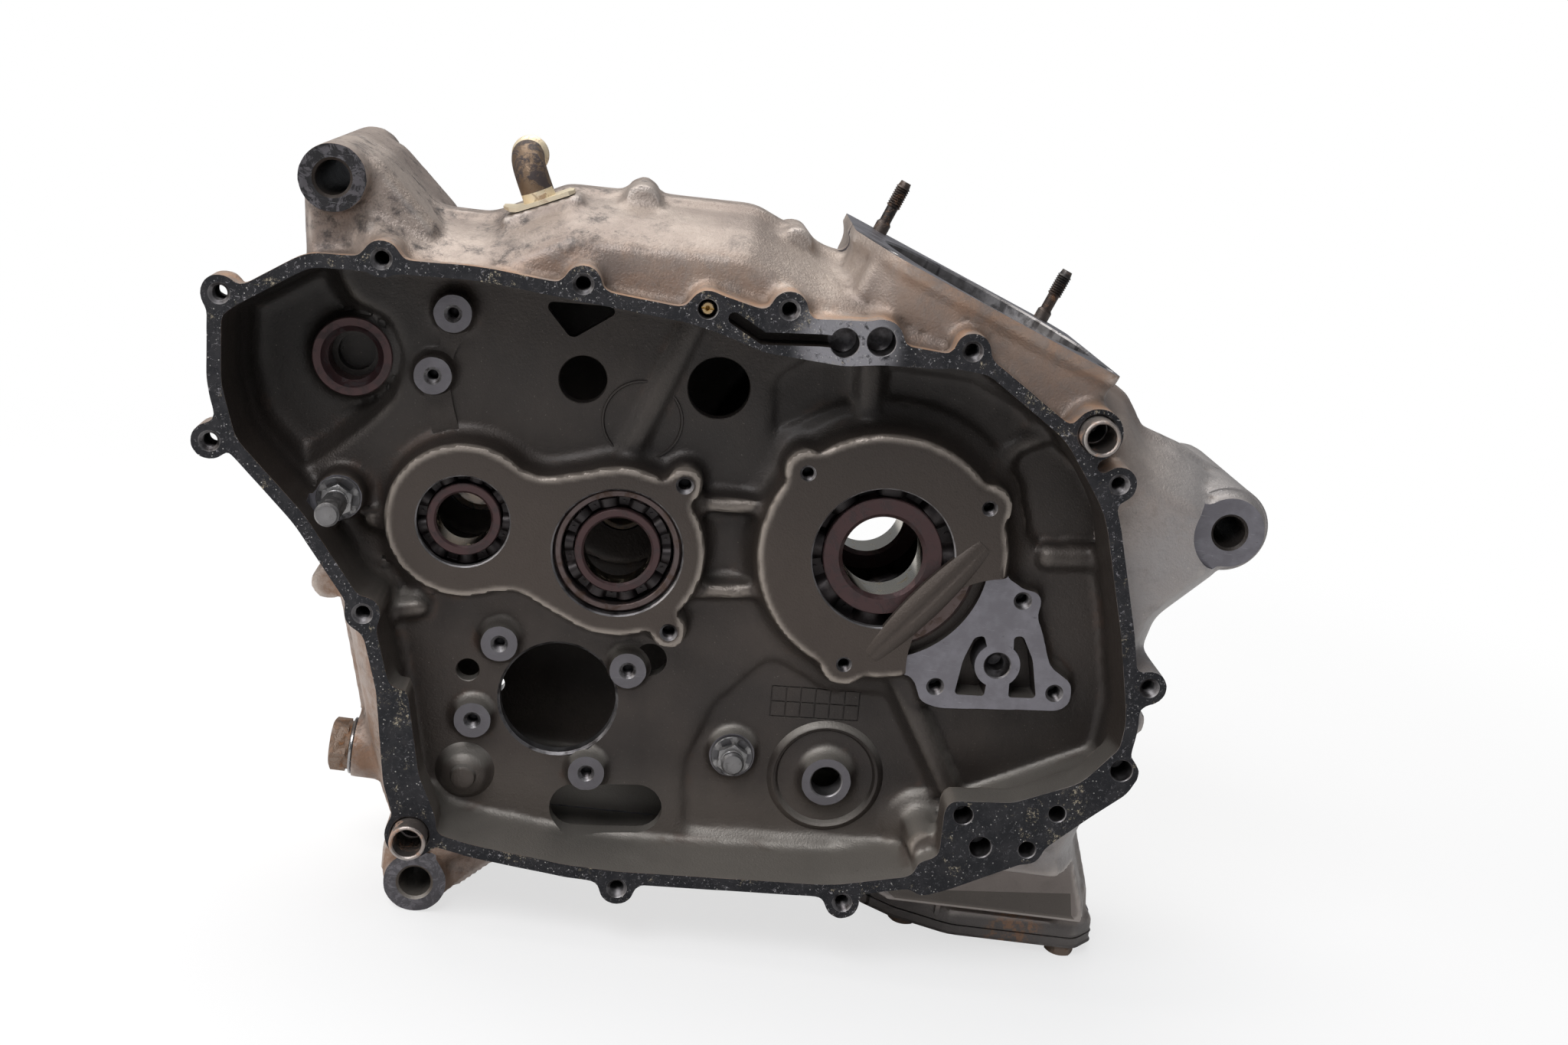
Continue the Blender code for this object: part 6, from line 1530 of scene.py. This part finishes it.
@dataclass
class BallBearing:
    """Single-row ball bearing: grooved rings, balls and a riveted pressed cage."""

    shop: Workshop
    name: str
    centre: Centre
    near: float
    bore: float
    outside: float
    width: float
    inner_shoulder: float
    outer_shoulder: float
    ball: float
    balls: int
    sides: int = 96
    chamfer: float = 0.8

    @property
    def pitch(self) -> float:
        """Radius of the circle through the balls' centres."""
        return (self.bore + self.outside) / 4

    def groove(self, shoulder: float, sign: int) -> Profile:
        """Ball groove of a ring, from near to far; sign is -1 for the inner ring."""
        reach = self.ball / 2 + 0.15
        half = math.acos(max(-1.0, min(1.0, sign * (shoulder - self.pitch) / reach)))
        angles = [half * (k / 6 - 1) for k in range(13)]
        return [(self.pitch + sign * reach * math.cos(a), self.width / 2 + reach * math.sin(a)) for a in angles]

    def ring(self, edge: float, shoulder: float, sign: int) -> Solid:
        """One ring between its plain side and its shoulder, both as radii."""
        width, bevel, small = self.width, self.chamfer, 0.35
        plain = [(edge - sign * bevel, width), (edge, width - bevel), (edge, bevel), (edge - sign * bevel, 0)]
        grooved = [(shoulder + sign * small, 0), (shoulder, small)] + self.groove(shoulder, sign)
        grooved += [(shoulder, width - small), (shoulder + sign * small, width)]
        centre = (self.centre[0], self.near, self.centre[1])
        return self.shop.turned(plain + grooved, centre, sides=self.sides)

    def spot(self, number: float) -> Matrix:
        """Place of a ball on the pitch circle, counted in balls from the first."""
        angle = 2 * math.pi * number / self.balls
        place = Vector((self.pitch * math.cos(angle), self.width / 2, self.pitch * math.sin(angle)))
        origin = Vector((self.centre[0], self.near, self.centre[1])) + Vector(DATUM)
        return Matrix.Translation((origin + place) * MM)

    def cage(self) -> Solid:
        """Balls, the two halves of the cage, and its rivets, as one piece."""
        bm = bmesh.new()
        radius, gap = self.ball / 2, math.pi / self.balls
        spread, sheet, clear = self.ball * 0.24, 0.035 * self.ball + 0.25, 0.35
        for number in range(self.balls):
            spot = self.spot(number)
            bmesh.ops.create_uvsphere(bm, u_segments=28, v_segments=14, radius=radius * MM, matrix=spot)
        ball_faces = set(bm.faces)
        middle = Vector((self.centre[0], self.near + self.width / 2, self.centre[1])) + Vector(DATUM)
        steps = self.balls * 24
        for side in (-1, 1):
            rows = []
            for k in range(steps):
                angle = 2 * math.pi * k / steps
                away = abs((angle + gap) % (2 * gap) - gap) * self.pitch
                lift = max(math.sqrt(max((radius + clear) ** 2 - away ** 2, 0.0)) * 0.93, 0.12)
                corners = ((-spread, 0), (spread, 0), (spread, sheet), (-spread, sheet))
                row = [((self.pitch + reach) * math.cos(angle), side * (lift + level),
                        (self.pitch + reach) * math.sin(angle)) for reach, level in corners]
                rows.append([bm.verts.new((middle + Vector(place)) * MM) for place in row])
            for low, high in zip(rows, rows[1:] + rows[:1]):
                for i in range(4):
                    j = (i + 1) % 4
                    bm.faces.new((low[i], low[j], high[j], high[i]))
        for number in range(self.balls):
            spot = self.spot(number + 0.5) @ Matrix.Rotation(math.pi / 2, 4, "X")
            thick = radius * 0.16 * MM
            bmesh.ops.create_cone(bm, cap_ends=True, segments=12, radius1=thick, radius2=thick,
                                  depth=(2 * sheet + 1.4) * MM, matrix=spot)
        for face in bm.faces:
            face.material_index = int(face not in ball_faces)
        bmesh.ops.recalc_face_normals(bm, faces=bm.faces)
        zones, self.shop.zones = self.shop.zones, []
        piece = self.shop.keep(bm, "tool")
        self.shop.zones = zones
        return piece

    def build(self, metals: dict[str, Material]) -> None:
        """Make the three pieces of the bearing, from materials by name."""
        shop = self.shop
        outer = self.ring(self.outside / 2, self.outer_shoulder / 2, 1)
        shop.dress(outer, f"{self.name}_outer_ring", metals["outer_ring_steel"], "bearing_steel",
                   f"{self.name}_outer")
        inner = self.ring(self.bore / 2, self.inner_shoulder / 2, -1)
        shop.clad(inner, metals["stained_bearing_steel"], metals["ground_bore_steel"])
        middle = (Vector((self.centre[0], 0, self.centre[1])) + Vector(DATUM)) * MM
        for face in inner.data.polygons:
            reach = math.hypot(face.center.x - middle.x, face.center.z - middle.z) / MM
            face.material_index = int(reach < self.bore / 2 + 0.2 * self.chamfer)
        shop.dress(inner, f"{self.name}_inner_ring", None, "stained_bearing_steel", f"{self.name}_inner",
                  f"{self.name}_race")
        cage = self.cage()
        cage.data.materials.append(metals["ball_steel"])
        cage.data.materials.append(metals["cage_steel_painted_shade"])
        shop.dress(cage, f"{self.name}_ball_set", None, "bearing_steel", f"{self.name}_cage",
                  f"{self.name}_balls")


@dataclass
class Fittings:
    """Small pieces that are pressed, screwed or brazed into the two halves."""

    shop: Workshop
    shape: CaseShape = field(default_factory=CaseShape)
    gap: float = 0.3
    dowel_radius: float = 6.7
    dowel_bore: float = 5.3
    dowel_near: float = -68.0
    dowel_far: float = -50.0
    post_flange: float = 8.0
    post_hex: float = 6.2
    post_radius: float = 4.4
    post_shank: float = 2.9
    stud_radius: float = 3.0
    stud_depth: float = 12.0
    stud_proud: float = 22.2
    drain_face: float = 187.5
    washer: float = 11.0
    cover_thickness: float = 4.0
    floor: float = -163.2

    def ring(self, name: str, centre: Centre, outside: float, bore: float, near: float, far: float,
             metal: Material, slot: str, node: str) -> None:
        """Plain chamfered ring along Y; near and far are its ends."""
        bevel = min(0.5, (outside - bore) / 3)
        profile = [(bore, near + bevel), (bore + bevel, near), (outside - bevel, near), (outside, near + bevel),
                   (outside, far - bevel), (outside - bevel, far), (bore + bevel, far), (bore, far - bevel)]
        piece = self.shop.turned(profile, centre, sides=72)
        self.shop.dress(piece, name, metal, slot, node)

    def post(self, name: str, centre: Centre, seat_y: float, length: float, metal: Material) -> None:
        """Screwed post: shank, round flange, hexagon and a plain pin with a turned neck."""
        shop, place = self.shop, centre
        seat = seat_y - self.gap
        tip, collar, radius, wide = seat - length, seat - 1.5, self.post_radius, self.post_flange
        profile = [(0, seat + 9.0), (self.post_shank, seat + 9.0), (self.post_shank, seat),
                   (wide - 0.3, seat), (wide, seat - 0.3), (wide, collar + 0.3),
                   (wide - 0.3, collar), (radius, collar), (radius, seat - 6.4),
                   (radius - 0.7, seat - 6.8), (radius - 0.7, seat - 7.8), (radius, seat - 8.2),
                   (radius, tip + 1.0),
                   (radius - 0.8, tip), (0, tip)]
        pin = shop.turned(profile, place, sides=48)
        hexagon = shop.nut(place, (0, -1, 0), self.post_hex, -(seat - 1.0), -(seat - 5.5))
        shop.dress(shop.join(pin, [hexagon]), name, metal, "bearing_steel")

    def studs(self, metal: Material) -> None:
        """Two studs left in the far edge of the deck."""
        radius, top = self.stud_radius, self.stud_proud
        for number, (along, y, _) in enumerate(self.shape.studs, 1):
            profile = [(0, -self.stud_depth), (radius, -self.stud_depth), (radius, 3.6), (radius - 0.7, 4.6),
                       (radius - 0.7, 10.8)]
            profile += self.shop.thread(radius - 0.05, 11.6, top - 1.2)
            profile += [(radius - 0.9, top), (0, top)]
            raised = [(reach, self.shape.deck_height + height) for reach, height in profile]
            stud = self.shop.turned(raised, (along, y, 0), (0, 0, 1), 40)
            self.shop.lean(stud, self.shape.lean_deg)
            name = f"cylinder_stud_{number}"
            self.shop.dress(stud, name, metal, "dark_steel")

    def drain_parts(self, rusty: Material, steel: Material) -> None:
        """Drain plug and its washer on the lower left wall."""
        shop = self.shop
        place, axis = (0, *DRAIN), (-1, 0, 0)
        start = self.drain_face + self.gap
        bore, outside, thickness = 6.3, self.washer, 1.2
        ring = [(bore, start), (outside - 0.3, start), (outside, start + 0.3), (outside, start + thickness - 0.3),
                (outside - 0.3, start + thickness), (bore, start + thickness)]
        washer = shop.turned(ring, place, axis, 64)
        shop.dress(washer, "drain_washer", steel, "bearing_steel")
        seat = start + thickness + self.gap
        foot = self.drain_face - 14.0
        profile = [(0, foot), (5.0, foot), (6.0, foot + 1), (6.0, seat), (9.4, seat), (9.4, seat + 1.6),
                   (8.6, seat + 2.0), (0, seat + 2.0)]
        plug = shop.turned(profile, place, axis, 64)
        shop.join(plug, [shop.nut(place, axis, 10.4, seat + 1.0, seat + 7.5)])
        shop.dress(plug, "drain_plug", rusty, "rusted_steel")

    def strainer(self, cast: Material, rusty: Material) -> None:
        """Plate under the sump with its bolts."""
        shop, shape = self.shop, self.shape
        top = shape.sump_face - self.gap
        bottom, edge = top - self.cover_thickness, 0.7
        levels = ((edge, bottom), (0, bottom + edge), (0, top - 0.3), (0.3, top))
        cover = shop.draft(shape.sump, levels, upright=True)
        bores = [shop.rod((x, y, 0), (0, 0, 1), 3.2, bottom - 1, top + 1, 32) for x, y in shape.sump_bolts]
        shop.cut(cover, bores)
        shop.dress(cover, "strainer_cover", cast, "cast_aluminium_far")
        seat = bottom - self.gap
        for number, (x, y) in enumerate(shape.sump_bolts, 1):
            shank = shop.rod((x, y, 0), (0, 0, 1), 2.9, seat - 0.5, shape.sump_face + 16.0, 32)
            head = shop.nut((x, y, 0), (0, 0, -1), 6.0, -seat, -self.floor)
            name = f"strainer_bolt_{number}"
            shop.dress(shop.join(shank, [head]), name, rusty, "rusted_steel")

    def joint_parts(self, rusty: Material) -> None:
        """Screws that join the halves from the far side, and the dowels in the joint."""
        shop, shape = self.shop, self.shape
        seat = shape.boss_depth + self.gap
        for number, (x, z) in enumerate(shape.screws, 1):
            profile = [(0, -14.0), (2.4, -14.0), (2.9, -13.4), (2.9, seat), (5.6, seat), (5.6, seat + 0.9),
                       (4.8, seat + 1.4), (0, seat + 1.4)]
            screw = shop.turned(profile, (x, z), sides=40)
            shop.join(screw, [shop.nut((x, z), (0, 1, 0), 5.2, seat + 1.0, seat + 5.0)])
            shop.dress(screw, f"joint_screw_{number}", rusty, "rusted_steel", f"case_screw_{number}")
        for number, centre in enumerate(shape.dowels, 1):
            self.ring(f"joint_dowel_{number}", centre, 5.0, 3.6, -6.0, 6.0, rusty, "rusted_steel",
                      f"case_dowel_{number}")

    def jet(self, brass: Material) -> None:
        """Brass jet sunk in the rim, with its drilling and a screwdriver slot."""
        shop, (x, z), near, far = self.shop, OIL_JET, -58.5, -48.3
        profile = [(0, near + 4), (0.7, near + 4), (0.7, near + 0.3), (1.0, near), (1.9, near), (2.2, near + 0.3),
                   (2.2, far), (0, far)]
        jet = shop.turned(profile, OIL_JET, sides=40)
        shop.cut(jet, [shop.prism(box(x - 3, x + 3, z - 0.35, z + 0.35), near - 1, near + 0.9)])
        shop.dress(jet, "brass_jet", brass, "brass", "oil_jet")

    def build(self, metals: dict[str, Material]) -> None:
        """Make every fitting, from materials by name."""
        steel, rusty = metals["bearing_steel"], metals["rusted_steel"]
        bronze, stained = metals["bronze"], metals["stained_bearing_steel"]
        self.ring("main_shaft_sleeve", MAIN_SHAFT, 11.0, 8.5, 30.0, 44.0, bronze, "bronze", "main_shaft_bush")
        self.ring("countershaft_sleeve", COUNTERSHAFT, 15.0, 12.5, 30.0, 44.0, bronze, "bronze",
                  "countershaft_bush")
        near = -28.0
        flanged = [(9.0, near + 2.2), (11.0, near + 0.2), (11.4, near - 0.5), (14.2, near - 0.5),
                   (14.6, near - 0.1),
                   (14.6, near - 0.05), (11.3, near - 0.05), (11.3, -17.3), (9.0, -17.3)]
        sleeve = self.shop.turned(flanged, IDLE_GEAR, sides=96)
        self.shop.dress(sleeve, "idle_gear_sleeve", stained, "stained_bearing_steel", "idle_gear_bush")
        for number, centre in enumerate(COVER_DOWELS, 1):
            self.ring(f"hollow_dowel_{number}", centre, self.dowel_radius, self.dowel_bore, self.dowel_near,
                      self.dowel_far, metals["dowel_steel"], "bearing_steel", f"cover_dowel_{number}")
        self.jet(metals["brass"])
        self.post("spring_post", SPRING_POST, -42.0, 26.0, metals["post_steel"])
        self.post("stopper_post", STOPPER, -32.0, 10.0, metals["post_steel"])
        self.studs(metals["dark_steel"])
        self.drain_parts(rusty, steel)
        self.strainer(metals["cast_outside"], rusty)
        self.joint_parts(rusty)


@dataclass
class Breather:
    """Bent tube with a bead at its open mouth, brazed to a small plate with a curled edge."""

    shop: Workshop
    route: tuple = (
        (0.0, 0.0, -0.6), (-0.5, 0.0, 1.0), (-4.2, 0.0, 8.6), (-6.4, 2.0, 13.2), (-7.2, 6.5, 15.6),
        (-6.6, 13.0, 16.2),
    )
    radius: float = 6.0
    wall: float = 1.1
    bead: float = 1.0
    plate: Place = (26.0, 15.0, 1.6)
    curl: float = 2.2
    gap: float = 0.3

    def curve(self, steps: int = 8) -> list[Vector]:
        """Smooth line through the route's points."""
        knots = [Vector(BREATHER_FOOT) + Vector(step) for step in self.route]
        padded = [2 * knots[0] - knots[1]] + knots + [2 * knots[-1] - knots[-2]]
        line = []
        for a, b, c, d in zip(padded, padded[1:], padded[2:], padded[3:]):
            for k in range(steps):
                t = k / steps
                line.append(0.5 * (2 * b + (c - a) * t + (2 * a - 5 * b + 4 * c - d) * t ** 2
                                   + (3 * b - a - 3 * c + d) * t ** 3))
        return line + [knots[-1]]

    def build(self, sooty: Material, pale: Material) -> None:
        """Make the pipe: a sooty tube with a pale plate and bead."""
        shop = self.shop
        line = self.curve()
        left = [0.0]
        for before, after in zip(reversed(line), list(reversed(line))[1:]):
            left.append(left[-1] + (before - after).length)
        left.reverse()
        radii = []
        for reach in left:
            swell = max(0.0, 1 - ((reach - 1.7) / 1.5) ** 2)
            radii.append(self.radius + self.bead * math.sqrt(swell))
        tube = shop.tube(line, radii, 48)
        hollow = line[len(line) // 3:] + [line[-1] + (line[-1] - line[-2])]
        bore = shop.tube(hollow, [self.radius - self.wall] * len(hollow), 40)
        half_x, half_y = self.plate[0] / 2, self.plate[1] / 2
        rings = []
        for k in range(15):
            x = half_x * (k / 7 - 1)
            end = max(0.0, abs(x) - half_x + 3.0)
            depth = half_y - (3.0 - math.sqrt(max(9.0 - end ** 2, 0.0)))
            lift = self.curl * max(0.0, (-x - half_x + 5.0) / 5.0) ** 2
            low, high = self.gap + lift, self.gap + self.plate[2] * (0.75 if k in (0, 14) else 1.0) + lift
            rings.append([Vector((x, -depth, low)), Vector((x, -depth, high)), Vector((x, depth, high)),
                          Vector((x, depth, low))])
        shop.join(tube, [shop.tilt(shop.solid(rings, False, Zone.OUTSIDE), BREATHER_FOOT)])
        shop.cut(tube, [bore])
        shop.clad(tube, sooty, pale)
        tilt = math.radians(BREATHER_TILT_DEG)
        up = Vector((math.sin(tilt), 0, math.cos(tilt)))
        foot, mouth = ((place + Vector(DATUM)) * MM for place in (Vector(BREATHER_FOOT), line[-1]))
        for face in tube.data.polygons:
            raised = (face.center - foot).dot(up) / MM
            near_mouth = (face.center - mouth).length / MM < self.radius + self.bead + 1.8
            face.material_index = int(raised < self.plate[2] + self.curl + 0.7 or near_mouth)
        shop.dress(tube, "breather_tube", None, "yellow_zinc_plate", "breather_pipe")


@dataclass(frozen=True)
class Lamp:
    """Soft area lamp that looks at the middle of the case."""

    name: str
    place: Place
    size: tuple[float, float]
    power: float
    colour: Colour = (1.0, 1.0, 1.0)
    target: Place = (0.0, 0.0, 0.15)

    def build(self) -> None:
        """Add the lamp."""
        data = bpy.data.lights.new(self.name, "AREA")
        data.shape = "RECTANGLE"
        data.size, data.size_y = self.size
        data.energy = self.power
        data.color = self.colour
        lamp = bpy.data.objects.new(self.name, data)
        lamp.location = self.place
        away = Vector(self.place) - Vector(self.target)
        lamp.rotation_euler = away.to_track_quat("Z", "Y").to_euler()
        bpy.context.scene.collection.objects.link(lamp)


@dataclass
class Studio:
    """Camera, lamps, pale floor and white surroundings."""

    place: Place = (-0.05079, -0.73247, 0.34644)
    right: Place = (0.98650, -0.05432, 0.15448)
    up: Place = (-0.13600, 0.25370, 0.95767)
    back: Place = (-0.09122, -0.96576, 0.24288)
    lens: float = 45.0
    sensor: float = 36.0
    floor_half: float = 4.0
    ambient: Colour = (0.80, 0.84, 0.90)
    ambient_strength: float = 0.27
    lamps: tuple = (
        Lamp("sky", (-0.25, 0.45, 1.5), (1.6, 1.2), 21.0, (1.0, 0.98, 0.95)),
        Lamp("front_high", (-0.55, -1.0, 1.25), (0.9, 0.6), 15.0, (0.96, 0.97, 1.0)),
        Lamp("left_wall", (-1.3, -0.4, 0.7), (0.8, 1.0), 7.0, (1.0, 0.97, 0.93)),
    )

    def camera(self) -> None:
        """Set the camera where the photograph was taken from."""
        data = bpy.data.cameras.new("camera")
        data.lens = self.lens
        data.sensor_width = self.sensor
        data.clip_start = 0.01
        camera = bpy.data.objects.new("camera", data)
        turn = Matrix((self.right, self.up, self.back)).transposed().to_4x4()
        camera.matrix_world = Matrix.Translation(self.place) @ turn
        bpy.context.scene.collection.objects.link(camera)
        bpy.context.scene.camera = camera

    def surroundings(self) -> None:
        """White surroundings for camera and transmission rays, and plain light for the rest."""
        s = Shader("surroundings", world=True)
        rays = [s.node("ShaderNodeLightPath", {}, {}, f"Is {kind} Ray") for kind in ("Camera", "Transmission")]
        seen = s.node("ShaderNodeMath", {"operation": "MAXIMUM"}, dict(enumerate(rays)))
        plain = s.node("ShaderNodeBackground", {}, {"Color": self.ambient, "Strength": self.ambient_strength})
        white = s.node("ShaderNodeBackground", {}, {"Color": (1.0, 1.0, 1.0), "Strength": 1.0})
        bpy.context.scene.world = s.close(s.node("ShaderNodeMixShader", {}, {0: seen, 1: plain, 2: white}))

    def floor(self) -> None:
        """Pale floor that keeps the soft shadow under the case."""
        s = Shader("pale_floor")
        base = {"Base Color": (0.84, 0.84, 0.84), "Roughness": 0.9, "Specular IOR Level": 0.1}
        paper = s.node("ShaderNodeBsdfPrincipled", {}, base, "BSDF")
        glow = s.node("ShaderNodeEmission", {}, {"Color": (1.0, 1.0, 1.0), "Strength": 1.0}, "Emission")
        seen = s.node("ShaderNodeLightPath", {}, {}, "Is Camera Ray")
        far = s.ramp(s.distance((-53.5, -6.65, -163.2)), 350, 900)
        share = seen * (0.68 + 0.32 * far)
        shop, half = Workshop(), self.floor_half
        shop.zones = [s.close(s.node("ShaderNodeMixShader", {}, {0: share, 1: paper, 2: glow}))]
        bm = bmesh.new()
        bm.faces.new([bm.verts.new((x, y, 0)) for x, y in reversed(box(-half, half, -half, half))])
        shop.keep(bm, "floor")

    def build(self) -> None:
        """Set the stage."""
        bpy.context.scene.view_settings.view_transform = "Standard"
        self.camera()
        self.surroundings()
        self.floor()
        for lamp in self.lamps:
            lamp.build()


def bearings(shop: Workshop) -> list[BallBearing]:
    """The four ball bearings of the case."""
    crank = {"bore": 30.0, "outside": 72.0, "width": 19.0, "inner_shoulder": 44.6, "outer_shoulder": 59.6,
             "ball": 12.3, "balls": 8, "sides": 128, "chamfer": 1.5}
    return [
        BallBearing(shop, "crank_bearing_right", (0.0, 0.0), -42.0, **crank),
        BallBearing(shop, "crank_bearing_left", (0.0, 0.0), 19.0, **crank),
        BallBearing(shop, "main_shaft_bearing", MAIN_SHAFT, -42.0, 25.0, 47.0, 12.0, 31.6, 41.4, 6.4, 10),
        BallBearing(shop, "countershaft_bearing", COUNTERSHAFT, -42.0, 20.0, 42.0, 12.0, 27.0, 36.0, 6.4, 9),
    ]


def main() -> None:
    """Dress the frame and set the stage."""
    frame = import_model()
    LOG.info("frame with %d nodes", len(frame["nodes"]))
    shop = Workshop()
    outside, cavity = OutsideCast().material(), CavityCast().material()
    metals = {metal.name: metal.material() for metal in METALS}
    metals["cast_outside"] = outside
    shop.zones = [outside, cavity, GasketFace().material(), MachinedFace().material(), BoredFace().material()]
    voxel = 1.8
    clutch_half = ClutchHalf(shop).build(voxel)
    magneto_half = MagnetoHalf(shop).build(voxel * FAR_GRID)
    LOG.info("halves: %s, %s", clutch_half.name, magneto_half.name)
    for bearing in bearings(shop):
        bearing.build(metals)
    Fittings(shop).build(metals)
    Breather(shop).build(metals["sooty_bronze_pipe"], metals["pale_gold_plate"])
    Studio().build()


if __name__ == "__main__":
    logging.basicConfig(level=logging.INFO, format="%(message)s")
    main()
